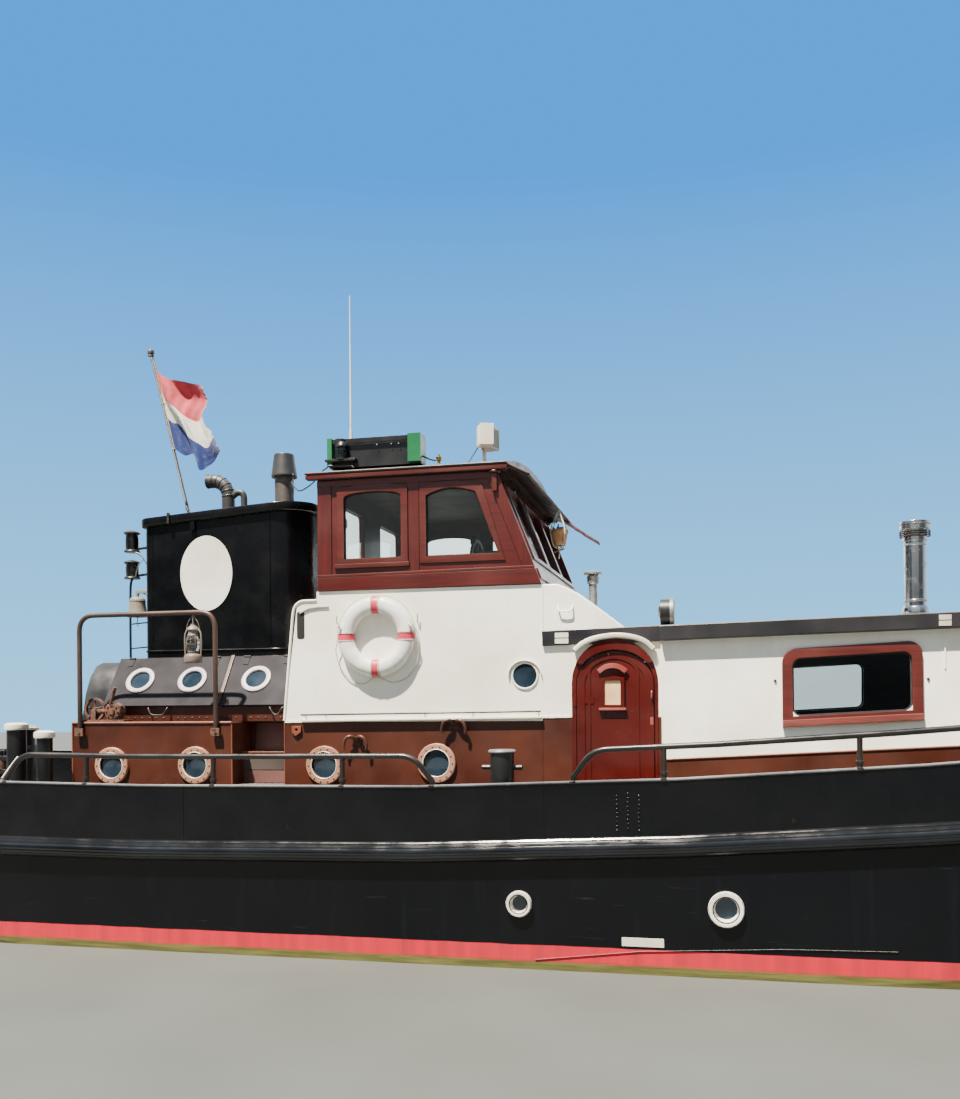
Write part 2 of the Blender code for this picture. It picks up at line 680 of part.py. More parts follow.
def build_skylight():
    outline = [(-SKY_BASE_HALF, CASING_TOP + SEAT), (SKY_BASE_HALF, CASING_TOP + SEAT),
               (SKY_BASE_HALF, SKY_BASE), (SKY_TOP_HALF, SKY_TOP),
               (-SKY_TOP_HALF, SKY_TOP), (-SKY_BASE_HALF, SKY_BASE)]
    length = SKY_FORE - SKY_AFT
    coaming = plate("skylight_coaming", outline, ((SKY_AFT + SKY_FORE) / 2, 0, 0), length, "YZ",
                    "brown_paint")
    slope = sky_slope()
    run = math.hypot(SKY_TOP - SKY_BASE, SKY_BASE_HALF - SKY_TOP_HALF)
    for side, sign in SIDES:
        for end, low_x, high_x in (("aft", SKY_AFT, LID_SPLIT), ("fore", LID_SPLIT, SKY_FORE)):
            half = (high_x - low_x) / 2 - LID_BAR / 2
            middle = ((low_x + high_x) / 2, sign * (SKY_BASE_HALF + SKY_TOP_HALF) / 2,
                      (SKY_BASE + SKY_TOP) / 2)
            # The lid and the well below it, drawn flat and turned onto the slope
            turn = Matrix.Rotation(-sign * slope, 4, "X")
            well = box(f"sky_well_{side}_{end}", (-half + 0.08, -run / 2 + 0.08, -0.12),
                       (half - 0.08, run / 2 - 0.08, 0.05))
            well.data.transform(Matrix.Translation(middle) @ turn)
            cut(coaming, well)
            upper, lower = -sign * run / 2, sign * (run / 2 + LID_OVER)
            lid = box(f"skylight_lid_{side}_{end}", (-half, min(upper, lower), SEAT),
                      (half, max(upper, lower), LID_THICK), "grey_paint")
            for number, x in enumerate(LID_PORTS[end]):
                ring = cylinder(f"lid_ring_{side}_{end}_{number}", (x - middle[0], 0, LID_THICK),
                                LID_PORT_RING, 0.03)
                hole = cylinder(f"lid_hole_{side}_{end}_{number}", (x - middle[0], 0, LID_THICK),
                                LID_PORT_GLASS, 0.2)
                for piece in (ring, hole):
                    piece.data.transform(Matrix.Translation(middle) @ turn)
                join(lid, ring)
                cut(lid, hole)
            lid.data.transform(Matrix.Translation(middle) @ turn)
    return coaming


def funnel_top(x):
    return FUNNEL_TOP + FUNNEL_SLOPE * (x - FUNNEL_TOP_X)


def bend(start, corner, end, radius, steps=5):
    """Points of a smooth turn from one straight run to another."""
    start, corner, end = Vector(start), Vector(corner), Vector(end)
    back, on = (start - corner).normalized() * radius, (end - corner).normalized() * radius
    points = []
    for step in range(steps + 1):
        t = step / steps
        points.append(corner + back * (1 - t) ** 2 + on * t * t)
    return points


def funnel_plan(middle_x, out):
    """The funnel seen from above, grown outwards all round."""
    points = []
    for x, y, start, radius in ((FUNNEL_FORE, 1, 0, FUNNEL_CORNER_FORE), (FUNNEL_AFT, 1, 90, FUNNEL_CORNER_AFT),
                                (FUNNEL_AFT, -1, 180, FUNNEL_CORNER_AFT),
                                (FUNNEL_FORE, -1, 270, FUNNEL_CORNER_FORE)):
        inset = radius if x == FUNNEL_AFT else -radius
        centre = (x - middle_x + inset, y * (FUNNEL_HALF - radius))
        points += arc(centre, radius + out, start, start + 90, 5)
    return points


def build_funnel():
    base = SKY_TOP + SEAT
    plan = funnel_plan(0, 0)
    tall = 4.5 - base
    funnel = plate("funnel", plan, (0, 0, base + tall / 2), tall, "XY", "black_paint")
    # The top slopes up forward; the cutter and the rim share its tilt
    tilt = Matrix.Rotation(-math.atan(FUNNEL_SLOPE), 4, "Y")
    middle_x = (FUNNEL_AFT + FUNNEL_FORE) / 2
    top = (middle_x, 0, funnel_top(middle_x))
    above = box("funnel_above", (-2, -2, 0), (2, 2, 2))
    above.data.transform(Matrix.Translation(top) @ tilt)
    rim_plan = funnel_plan(middle_x, FUNNEL_RIM_OUT)
    rim = plate("funnel_rim", rim_plan, (0, 0, -FUNNEL_RIM / 2), FUNNEL_RIM, "XY", "black_paint")
    rim.data.transform(Matrix.Translation(top) @ tilt)
    cut(funnel, above)
    join(funnel, rim)
    # Large gooseneck, mouth aft
    x, y = -3.16, -0.30
    z = funnel_top(x) - 0.05
    path = [(x, y, z), *bend((x, y, z), (x, y, z + 0.42), (x - 0.4, y, z + 0.30), 0.17),
            (x - 0.27, y, z + 0.32)]
    neck = tube("gooseneck_large", path, 0.07, "black_paint", 12)
    x = -2.98
    z = funnel_top(x) - 0.05
    path = [(x, y, z), *bend((x, y, z), (x, y, z + 0.32), (x - 0.2, y, z + 0.27), 0.09),
            (x - 0.14, y, z + 0.26)]
    small = tube("gooseneck_small", path, 0.035, "black_paint", 8)
    x = -2.52
    z = funnel_top(x)
    pipe = cylinder("exhaust", (x, y, z + 0.18), 0.10, 0.46)
    cap = cone("exhaust_cap", (x, y, z + 0.47), 0.135, 0.10, 0.24)
    join(funnel, neck, small, pipe, cap)
    return funnel


def build_funnel_lamps():
    """Two stern lamps on a plate that is fixed to the after side of the funnel."""
    y, x = LAMP_Y, FUNNEL_AFT
    back = box("funnel_lamps", (x - 0.03, y - 0.03, 3.40), (x - SEAT, y + 0.03, 3.92), "black_paint")
    for number, (z, high) in enumerate(STERN_LAMPS):
        foot = z - high / 2
        join(back, box(f"lamp_arm_{number}", (x - LAMP_OUT, y - 0.02, foot + 0.02), (x - 0.02, y + 0.02, foot + 0.05)),
             cylinder(f"lamp_can_{number}", (x - LAMP_OUT, y, z), LAMP_RADIUS, high))
    return back


def build_bell():
    x, y = FUNNEL_AFT, BELL_Y
    hang = BELL_HIGH + 0.05
    foot = box("ship_bell", (x - 0.02, y - 0.03, hang - 0.05), (x - SEAT, y + 0.03, hang + 0.07), "bronze")
    arm = box("bell_arm", (x - BELL_OUT - 0.02, y - 0.015, hang), (x - 0.01, y + 0.015, hang + 0.03))
    bell = cone("bell_body", (x - BELL_OUT, y, (BELL_LOW + BELL_HIGH) / 2), BELL_RADIUS, 0.06,
                BELL_HIGH - BELL_LOW)
    crown = cylinder("bell_crown", (x - BELL_OUT, y, hang - 0.02), 0.018, 0.08)
    return join(foot, arm, bell, crown)


def build_flag():
    foot = Vector((STAFF_FOOT_X, STAFF_Y, funnel_top(STAFF_FOOT_X)))
    top = Vector((STAFF_TOP[0], STAFF_Y, STAFF_TOP[1]))
    staff = between("flagstaff", foot, top, STAFF_RADIUS, "white_paint")
    join(staff, cylinder("flag_socket", foot + Vector((0, 0, 0.03)), 0.04, 0.12),
         cone("flag_ball", top, 0.035, 0.015, 0.07))
    level = box("flag_level", (-1, -1, -1), (1, 1, 0))
    level.data.transform(Matrix.Translation(foot + Vector((0, 0, SEAT)))
                         @ Matrix.Rotation(-math.atan(FUNNEL_SLOPE), 4, "Y"))
    cut(staff, level)
    run = (top - foot).normalized()
    beside = Vector((run.z, 0, -run.x)) * (STAFF_RADIUS + SEAT)
    upper, lower = [foot + (top - foot) * share + beside for share in FLAG_HOIST]
    outline = [(upper.x, upper.z), *FLAG_FREE, (lower.x, lower.z)]
    flag = plate("flag", outline, (0, STAFF_Y, 0), FLAG_THICK, "XZ", "cloth")
    return staff, flag


def build_hoops():
    for side, sign in SIDES:
        y = sign * (HOUSE_HALF + HOOP_RADIUS + SEAT)
        path = [(HOOP_AFT, y, HOOP_FOOT)]
        path += bend((HOOP_AFT, y, HOOP_FOOT), (HOOP_AFT, y, HOOP_TOP), (HOOP_FORE, y, HOOP_TOP), HOOP_BEND)
        path += bend((HOOP_AFT, y, HOOP_TOP), (HOOP_FORE, y, HOOP_TOP), (HOOP_FORE, y, HOOP_FOOT), HOOP_BEND)
        path.append((HOOP_FORE, y, HOOP_FOOT))
        tube(f"hoop_rail_{side}", path, HOOP_RADIUS, "brown_paint", RAIL_SIDES)


def build_lantern():
    x, y = -2.97, -(HOUSE_HALF + HOOP_RADIUS + SEAT)
    top = HOOP_TOP - HOOP_RADIUS - SEAT
    body = cylinder("lantern", (x, y, top - 0.30), 0.075, 0.20, colour="rust", sides=16)
    base = cylinder("lantern_base", (x, y, top - 0.42), 0.085, 0.08, sides=16)
    chimney = cone("lantern_top", (x, y, top - 0.15), 0.06, 0.03, 0.14, sides=16)
    hook = cylinder("lantern_hook", (x, y, top - 0.06), 0.008, 0.12, sides=8)
    return join(body, base, chimney, hook)


def build_winch():
    """Old hand pump with its lever, on the strip of the casing's top beside the skylight."""
    strip = HOUSE_HALF - SKY_BASE_HALF
    y, z = -(HOUSE_HALF - WINCH_IN * strip), CASING_TOP + SEAT
    half, thick = WINCH_HALF * strip, WINCH_THICK * strip
    bed = box("hand_winch", (WINCH_AFT, y - half, z), (WINCH_AFT + 0.45, y + half, z + 0.03), "rust")
    wheel = cylinder("winch_wheel", (WINCH_AFT + 0.09, y, z + 0.13), 0.115, 0.04, "Y")
    body = cylinder("winch_body", (WINCH_AFT + 0.31, y, z + 0.11), 0.085, thick, "Y")
    axle = cylinder("winch_axle", (WINCH_AFT + 0.21, y, z + 0.11), 0.03, 0.34, "X")
    lever = between("winch_lever", (WINCH_AFT + 0.29, y, z + 0.11), (WINCH_AFT + 0.35, y - half, z + 0.33),
                    0.018)
    return join(bed, wheel, body, axle, lever)


def build_companion_hood():
    """Round-topped hood over the ladder aft of the casing."""
    x = CASING_AFT - SEAT
    pad, low = deck_pad("companion_hood", x - 0.62, x, 0.45, 0.03)
    outline = arched(-0.42, low - 0.02, 0.42, 1.75, 2.62, 10)
    return join(pad, plate("hood", outline, (x - 0.30, 0, 0), 0.56, "YZ", "black_paint"))


def build_lower_house():
    low = CASING_TOP + SEAT
    corner = 0.07
    outline = [(HOUSE_AFT_LOW, low), (HOUSE_FRONT - SEAT, low), (HOUSE_FRONT - SEAT, HOUSE_TOP),
               (WH_AFT - 0.02, HOUSE_TOP), (WH_AFT - 0.02, SHELF_Z + 0.02),
               *arc((HOUSE_AFT_HIGH + corner, SHELF_Z + 0.02 - corner), corner, 90, 172, 5)]
    house = plate("lower_house", outline, (0, 0, 0), 2 * HOUSE_HALF, "XZ", "white_paint")
    room = box("house_room", (HOUSE_AFT_HIGH + 0.06, -HOUSE_HALF + WALL, low - 0.1),
               (HOUSE_FRONT - WALL, HOUSE_HALF - WALL, SHELF_Z - 0.04))
    well = box("house_well", (WH_AFT + WALL, -HOUSE_HALF + WALL, SHELF_Z - 0.2),
               (HOUSE_FRONT - WALL, HOUSE_HALF - WALL, HOUSE_TOP + 0.1))
    port = cylinder("house_port", (HOUSE_PORT_X, 0, HOUSE_PORT_Z), HOUSE_PORT_R - 0.02, 4, "Y")
    return cut(house, room, well, port)


def cambered(half, edge, crown):
    """Section of a roof: flat below, bowed above."""
    points = [(-half, 0), (half, 0)]
    for step in range(CAMBER_STEPS + 1):
        y = half * (1 - 2 * step / CAMBER_STEPS)
        points.append((y, edge + (crown - edge) * (1 - (y / half) ** 2)))
    return points


def camber_at(y, half, edge, crown):
    """Height of the bowed top over its underside, on the straight run at y."""
    rows = sorted(cambered(half, edge, crown)[2:])
    for (low_y, low_z), (high_y, high_z) in zip(rows, rows[1:]):
        if low_y <= y <= high_y:
            return low_z + (high_z - low_z) * (y - low_y) / (high_y - low_y)
    return edge


def roof_under(x):
    return ROOF_UNDER + ROOF_RISE * (x - HOUSE_FRONT)


def build_lobby():
    for side, sign in SIDES:
        low, high = FLOOR_Z + SEAT, LOBBY_FORE - 2 * SEAT
        outline = [(HOUSE_FRONT, low), (high, low), (high, roof_under(high) - SEAT),
                   (HOUSE_FRONT, roof_under(HOUSE_FRONT) - SEAT)]
        door = arched(DOOR_AFT, DOOR_SILL, DOOR_FORE, DOOR_SPRING, DOOR_CROWN)
        plate(f"lobby_wall_{side}", outline, (0, sign * (HOUSE_HALF - WALL / 2), 0), WALL, "XZ",
              "white_paint", holes=(door,))


def door_outline():
    return arched(DOOR_AFT + RUN, DOOR_SILL + RUN, DOOR_FORE - RUN, DOOR_SPRING, DOOR_CROWN - RUN)


def build_doors():
    for side, sign in SIDES:
        y = sign * (HOUSE_HALF + DOOR_PROUD - DOOR_THICK / 2)
        window = [(0.955, 1.99), (1.125, 1.99), (1.125, 2.20), (0.955, 2.20)]
        door = plate(f"door_{side}", door_outline(), (0, y, 0), DOOR_THICK, "XZ", "door_red",
                     holes=(window,))
        # Hinge barrels on the wall's outer corner carry the leaf
        face = sign * (HOUSE_HALF + 0.012 + SEAT)
        for number, z in enumerate((1.40, 2.15)):
            barrel = cylinder(f"door_barrel_{side}_{number}", (DOOR_AFT, face, z), 0.012, 0.10, sides=12)
            strap_y = sorted((sign * (HOUSE_HALF + SEAT), sign * (HOUSE_HALF + 0.010)))
            strap = box(f"door_strap_{side}_{number}", (DOOR_AFT, strap_y[0], z - 0.03),
                        (DOOR_AFT + 0.16, strap_y[1], z + 0.03))
            join(door, barrel, strap)


def build_salon():
    low = FLOOR_Z + SEAT
    # Plinth: four walls with a sloping top
    rise = SALON_RISE * (SALON_FORE - LOBBY_FORE)
    outline = [(LOBBY_FORE, low), (SALON_FORE, low), (SALON_FORE, PLINTH_TOP + rise),
               (LOBBY_FORE, PLINTH_TOP)]
    plinth = plate("salon_plinth", outline, (0, 0, 0), 2 * SALON_HALF, "XZ", "brown_paint")
    room = box("plinth_room", (LOBBY_FORE + WALL, -SALON_HALF + WALL, 0.5),
               (SALON_FORE - WALL, SALON_HALF - WALL, 3))
    way = box("plinth_way", (LOBBY_FORE - 0.1, -0.35, low + 0.15), (LOBBY_FORE + 0.1, 0.35, 3))
    cut(plinth, room, way)

    # Upper sides, leaning inwards about the plinth's top edge at the after end
    fore = SALON_FORE - WALL - SEAT
    under = [(x, (roof_under(x) - PLINTH_TOP) / math.cos(math.radians(SALON_LEAN)) - 0.004)
             for x in (fore, LOBBY_FORE)]
    for side, sign in SIDES:
        lean = Matrix.Rotation(math.radians(SALON_LEAN) * sign, 4, "X")
        foot = SEAT + WALL / 2 * math.sin(math.radians(SALON_LEAN))
        fore_foot = foot + SALON_RISE * (fore - LOBBY_FORE) / math.cos(math.radians(SALON_LEAN))
        outline = [(LOBBY_FORE, foot), (fore, fore_foot), *under]
        holes, frames = [], []
        for aft in SALON_WINDOWS:
            foot = WINDOW_LOW - PLINTH_TOP + SALON_RISE * (aft - SALON_WINDOWS[0])
            holes.append(window_shape(aft, foot, FRAME_WIDE))
            frames.append((window_shape(aft, foot, 0), window_shape(aft, foot, FRAME_WIDE)))
        place = (0, sign * (SALON_HALF - WALL / 2 - 0.003), PLINTH_TOP)
        wall = plate(f"salon_side_{side}", outline, place, WALL, "XZ", "white_paint", holes, lean)
        for number, (outer, inner) in enumerate(frames):
            frame = plate(f"window_frame_{side}_{number}", outer, place, WALL + 2 * FRAME_PROUD, "XZ",
                          "mahogany", (inner,), lean)
            join(wall, frame)


def window_shape(aft, foot, inset):
    """A rounded window whose long edges follow the salon's rise, seen in the wall's plane."""
    radius = 0.12 - inset * 0.6
    flat = rounded(inset, inset, WINDOW_WIDE - inset, WINDOW_HIGH - inset, radius)
    return [(aft + u, foot + v + SALON_RISE * u) for u, v in flat]


def build_salon_front():
    inside = SALON_HALF
    top = roof_under(SALON_FORE - WALL) - 2 * SEAT
    lean = math.tan(math.radians(SALON_LEAN))
    foot = PLINTH_TOP + SALON_RISE * (SALON_FORE - LOBBY_FORE) + SEAT
    half_top = inside - lean * (top - PLINTH_TOP)
    half_foot = inside - lean * (foot - PLINTH_TOP)
    outline = [(-half_foot, foot), (half_foot, foot), (half_top, top), (-half_top, top)]
    holes = [rounded(y - 0.32, foot + 0.2, y + 0.32, foot + 0.62, 0.08) for y in (-0.85, 0, 0.85)]
    return plate("salon_front", outline, (SALON_FORE - WALL / 2, 0, 0), WALL, "YZ", "white_paint", holes)


def build_salon_roof():
    half = SALON_HALF + ROOF_OVER
    points = cambered(half, ROOF_BAND, ROOF_BAND + ROOF_CROWN)
    length = ROOF_FORE - HOUSE_FRONT
    roof = plate("salon_roof", points, (length / 2, 0, 0), length, "YZ", "black_paint")
    back = SEAT + (ROOF_BAND + ROOF_CROWN) * ROOF_RISE
    tilt = Matrix.Translation((HOUSE_FRONT + back, 0, ROOF_UNDER)) @ Matrix.Rotation(
        -math.atan(ROOF_RISE), 4, "Y")
    roof.data.transform(tilt)
    for side, sign in SIDES:
        near, far = sorted((sign * (HOUSE_HALF + ROOF_OVER), sign * (half + 0.2)))
        cut(roof, box(f"roof_corner_{side}", (HOUSE_FRONT - 0.2, near, 2), (LOBBY_FORE - 0.02, far, 4)))
    # The trunk stands on a flat seat
    seat = box("trunk_seat", (HOUSE_FRONT - 0.1, -HOUSE_HALF, TRUNK_FOOT), (TRUNK_FORE + SEAT, HOUSE_HALF, 4))
    return cut(roof, seat)


def trunk_profile(raised=0.0):
    """Side outline of the hump from the wheelhouse down to the salon's roof."""
    low = TRUNK_FOOT + SEAT + raised
    run, rise = TRUNK_FORE - HOUSE_FRONT, HOUSE_TOP - TRUNK_FOOT
    profile = [(HOUSE_FRONT + SEAT, low), (TRUNK_FORE, low)]
    profile += [(HOUSE_FRONT + run * across, TRUNK_FOOT + rise * up + raised) for across, up in TRUNK_CURVE]
    profile += [(HOUSE_FRONT + SEAT, HOUSE_TOP + raised)]
    return profile


def build_trunk():
    """Curved hump, with a vent pipe cut to its slope."""
    low = TRUNK_FOOT + 0.05
    vent = cylinder("vent", (VENT_X, VENT_Y, (low + VENT_TOP) / 2), VENT_RADIUS, VENT_TOP - low)
    cut(vent, plate("vent_foot", trunk_profile(SEAT), (0, 0, 0), 2 * HOUSE_HALF, "XZ", "steel"))
    radius, high = VENT_CAP
    join(vent, cylinder("vent_cap", (VENT_X, VENT_Y, VENT_TOP + high / 2), radius, high))
    profile = trunk_profile()
    return plate("front_trunk", profile, (0, 0, 0), 2 * HOUSE_HALF - 2 * SEAT, "XZ", "white_paint")


def rake_x(z):
    """Front edge of the wheelhouse's sides at a height."""
    share = (z - HOUSE_TOP) / (WH_TOP - HOUSE_TOP)
    return HOUSE_FRONT + share * (WH_RAKE_TOP - HOUSE_FRONT)


def build_wheelhouse():
    low, high = HOUSE_TOP + SEAT, WH_TOP
    outline = [(WH_AFT, low), (rake_x(low), low), (rake_x(high), high), (WH_AFT, high)]
    aft = arched(AFT_WINDOW[0], SILL_Z, AFT_WINDOW[1], HEAD_Z - 0.02, HEAD_Z, 6)
    post = 0.27
    fore = [(FORE_WINDOW[0], SILL_Z), (rake_x(SILL_Z) - post, SILL_Z),
            (rake_x(HEAD_Z) - post + 0.03, HEAD_Z - 0.04), (-0.30, HEAD_Z), (FORE_WINDOW[0], HEAD_Z - 0.02)]
    for side, sign in SIDES:
        plate(f"wheelhouse_side_{side}", outline, (0, sign * (HOUSE_HALF - WALL / 2), 0), WALL, "XZ",
              "mahogany", (aft, fore))
    # Front: three windows in the raked plane
    rake = math.atan2(HOUSE_FRONT - WH_RAKE_TOP, WH_TOP - HOUSE_TOP)
    tall = math.hypot(HOUSE_FRONT - WH_RAKE_TOP, WH_TOP - HOUSE_TOP)
    half = HOUSE_HALF - WALL - SEAT
    foot = WALL * math.tan(rake) + SEAT
    outline = [(-half, foot), (half, foot), (half, tall - 2 * SEAT), (-half, tall - 2 * SEAT)]
    pane = (2 * half - 0.40) / 3
    holes = []
    for number in range(3):
        start = -half + 0.10 + number * (pane + 0.10)
        holes.append([(start, 0.30), (start + pane, 0.30), (start + pane, 0.98), (start, 0.98)])
    turn = Matrix.Rotation(-rake, 4, "Y")
    front = plate("wheelhouse_front", outline, (0, 0, 0), WALL, "YZ", "mahogany", holes)
    front.data.transform(Matrix.Translation((HOUSE_FRONT, 0, HOUSE_TOP)) @ turn
                         @ Matrix.Translation((-WALL / 2, 0, 0)))
    # After wall with two windows
    windows = [rounded(y - 0.36, SILL_Z, y + 0.36, HEAD_Z - 0.02, 0.05) for y in (-0.62, 0.62)]
    plate("wheelhouse_aft", [(-half, low), (half, low), (half, high), (-half, high)],
          (WH_AFT + WALL / 2, 0, 0), WALL, "YZ", "mahogany", windows)


def build_wheelhouse_roof():
    points = cambered(WH_ROOF_HALF, WH_ROOF_EDGE, WH_ROOF_CROWN)
    length = WH_ROOF_FORE - WH_ROOF_AFT
    roof = plate("wheelhouse_roof", points, (WH_ROOF_AFT + length / 2, 0, WH_TOP + SEAT), length, "YZ",
                 "mahogany")
    for side, sign in SIDES:
        near, far = sorted((sign * (HOUSE_HALF + 0.005), sign * WH_ROOF_HALF))
        join(roof, box(f"fascia_{side}", (WH_ROOF_AFT, near, FASCIA_LOW), (WH_ROOF_FORE, far, WH_TOP + 0.005)))
    visor = plate("visor", [(WH_ROOF_FORE - 0.05, WH_TOP + 0.009), (WH_ROOF_FORE - 0.05, WH_TOP - 0.021),
                            (VISOR_X, VISOR_Z - VISOR_THICK), (VISOR_X + 0.01, VISOR_Z)],
                  (0, 0, 0), 2 * HOUSE_HALF + 0.06, "XZ", "mahogany")
    return join(roof, visor)


def build_helm():
    low = CASING_TOP + SEAT
    console = box("helm_console", (-0.34, -0.85, low), (0.02, 0.25, HELM_TOP), "mahogany")
    shaft = cylinder("helm_shaft", (-0.36, WHEEL_Y, WHEEL_Z), 0.025, 0.12, "X")
    join(console, shaft)
    centre = Vector((-0.42 - SEAT - 0.02, WHEEL_Y, WHEEL_Z))
    hub = cylinder("ships_wheel", tuple(centre), 0.06, 0.04, "X", "mahogany")
    shape = bmesh.new()
    inner, outer = WHEEL_RIM
    ring = [(inner, -0.015), (outer, -0.015), (outer, 0.015), (inner, 0.015)]
    grid = []
    for i in range(24):
        angle = 2 * math.pi * i / 24
        grid.append([shape.verts.new((r * math.cos(angle), r * math.sin(angle), h)) for r, h in ring])
    for i in range(24):
        following = grid[(i + 1) % 24]
        for k in range(4):
            shape.faces.new((grid[i][k], grid[i][(k + 1) % 4], following[(k + 1) % 4], following[k]))
    bmesh.ops.transform(shape, matrix=Matrix.Translation(centre) @ AXIS_TURN["X"], verts=shape.verts)
    rim = from_bmesh("wheel_rim", shape, "mahogany")
    join(hub, rim)
    for i in range(4):
        angle = math.pi * i / 4
        reach = Vector((0, math.cos(angle), math.sin(angle))) * WHEEL_REACH
        join(hub, between(f"wheel_spoke_{i}", centre - reach, centre + reach, 0.011, sides=6))
    return console, hub


def build_sidelights():
    for (side, sign), colour in zip(SIDES, ("green_paint", "red_paint")):
        y = sign * 1.30
        near, far = sorted((y - 0.02 * sign, y - 0.16 * sign))
        floor = roof_height(1.14)
        screen = box(f"sidelight_{side}", (-1.64, near, floor), (-0.74, far, floor + 0.27), colour)
        outer, inner = sorted((y + 0.05 * sign, y - 0.03 * sign))
        base = box(f"light_floor_{side}", (-1.66, outer, floor + 0.05), (-1.36, inner, floor + 0.07))
        lamp = cylinder(f"light_lamp_{side}", (-1.52, y + 0.0 * sign, floor + 0.16), 0.05, 0.20, sides=16)
        join(screen, base, lamp)


def roof_height(y):
    """Level on which a foot with its inner edge at y stands on the wheelhouse."""
    return WH_TOP + 2 * SEAT + camber_at(y, WH_ROOF_HALF, WH_ROOF_EDGE, WH_ROOF_CROWN)


def build_roof_gear():
    y, radius = -0.90, 0.03
    foot = roof_height(y + radius)
    base = cylinder("antenna", (-1.56, y, foot + 0.15), radius, 0.30, colour="white_paint", sides=12)
    whip = cone("antenna_whip", (-1.56, y, (foot + 6.12) / 2 + 0.1), 0.012, 0.005, 6.12 - foot - 0.2, sides=8)
    join(base, whip)
    y, radius = -0.80, 0.02
    foot = roof_height(y + radius)
    post = cylinder("floodlights", (-0.25, y, foot + 0.10), radius, 0.20, colour="white_paint", sides=12)
    for number, (dy, turn) in enumerate(((-0.08, 20), (0.08, -20))):
        head = box(f"flood_{number}", (-0.06, -0.08, -0.10), (0.06, 0.08, 0.10))
        head.data.transform(Matrix.Translation((-0.22, y + dy, foot + 0.26))
                            @ Matrix.Rotation(math.radians(turn), 4, "Z"))
        join(post, head)
    return base, post


def salon_roof_top(x, y, radius, sides=16):
    """Level on which a round foot with this many sides stands on the salon's roof."""
    levels = []
    for side in range(sides):
        angle = 2 * math.pi * side / sides
        bow = camber_at(y + radius * math.sin(angle), SALON_HALF + ROOF_OVER, ROOF_BAND,
                        ROOF_BAND + ROOF_CROWN)
        levels.append(roof_under(x + radius * math.cos(angle)) + bow)
    return max(levels) + SEAT


def build_salon_roof_gear():
    posts = {}
    for name, x, y, radius, high, colour in ROOF_POSTS:
        foot = salon_roof_top(x, y, radius)
        posts[name] = (cylinder(name, (x, y, foot + high / 2), radius, high, colour=colour), x, y, foot + high)
    flue, x, y, top = posts["flue"]
    join(flue, cylinder("flue_cap", (x, y, top + 0.07), 0.13, 0.07),
         cylinder("flue_cage", (x, y, top), 0.105, 0.14))
    lamp, x, y, top = posts["searchlight"]
    join(lamp, cylinder("searchlight_head", (x, y, top + 0.11), 0.13, 0.12, "X"))


def build_life_ring():
    """A ring of oval section, flat against the house's side."""
    middle = RING_OUTER - RING_WIDE
    sections = []
    for step in range(RING_STEPS):
        angle = 2 * math.pi * step / RING_STEPS
        section = []
        for side in range(RING_SIDES):
            turn = 2 * math.pi * side / RING_SIDES
            reach = middle + RING_WIDE * math.cos(turn)
            section.append((RING_X + reach * math.cos(angle),
                            -HOUSE_HALF - SEAT - RING_THICK * (1 + math.sin(turn)),
                            RING_Z + reach * math.sin(angle)))
        sections.append(section)
    return ring_wall("life_ring", sections, "orange_ring")


def build_rails():
    # Columns: name, aft and fore end, posts
    for name, (start, end), posts in (("aft_rail", AFT_RAIL, AFT_RAIL_POSTS),
                                      ("fore_rail", FORE_RAIL, FORE_RAIL_POSTS)):
        for side, sign in SIDES:
            inset, lean = RAIL_INSET, 0.16
            foot = foot_clearance(start)
            path = [rail_point(start, sign, inset, foot), rail_point(start, sign, inset, foot + 0.03)]
            path += bend(path[-1], rail_point(start + lean, sign, inset, RAIL_ABOVE),
                         rail_point(start + 0.6, sign, inset, RAIL_ABOVE), 0.12, 4)
            steps = max(int((end - start) / 0.8), 3)
            first, span = start + lean + 0.3, end - start - 2 * lean - 0.6
            path += [rail_point(first + span * i / steps, sign, inset, RAIL_ABOVE) for i in range(1, steps)]
            foot = foot_clearance(end)
            low_end = rail_point(end, sign, inset, foot + 0.03)
            path += bend(rail_point(end - 0.6, sign, inset, RAIL_ABOVE),
                         rail_point(end - lean, sign, inset, RAIL_ABOVE), low_end, 0.12, 4)
            path += [low_end, rail_point(end, sign, inset, foot)]
            rail = tube(f"{name}_{side}", path, RAIL_RADIUS, "black_paint", RAIL_SIDES)
            for number, x in enumerate(posts):
                join(rail, between(f"{name}_post_{side}_{number}", rail_point(x, sign, inset, foot_clearance(x)),
                                   rail_point(x, sign, inset, RAIL_ABOVE), RAIL_RADIUS * 0.9, sides=8))


def foot_clearance(x):
    """How far a level round end stays above the sloping cap."""
    slope = abs(on_facets(x + 0.05, rail_z) - on_facets(x - 0.05, rail_z)) / 0.1
    return SEAT + 1.1 * RAIL_RADIUS * slope


def rail_point(x, sign, inset, above):
    """A point over the bulwark's cap."""
    return Vector((x, sign * (on_facets(x, half_beam) - inset), on_facets(x, rail_z) + above))


def build_side_bollards():
    for side, sign in SIDES:
        x, y = BOLLARD_X, sign * (HALF_BEAM - BOLLARD_INSET)
        pad, low = deck_pad(f"side_bollard_{side}", x - 0.16, x + 0.16, 0.15, 0.02, middle_y=y)
        tall = BOLLARD_TOP - low + 0.01
        join(pad, cylinder(f"bollard_post_{side}", (x, y, BOLLARD_TOP - tall / 2), BOLLARD_RADIUS, tall),
             cylinder(f"bollard_pin_{side}", (x, y, BOLLARD_TOP - 0.13), 0.022, 0.34, "X", sides=12))


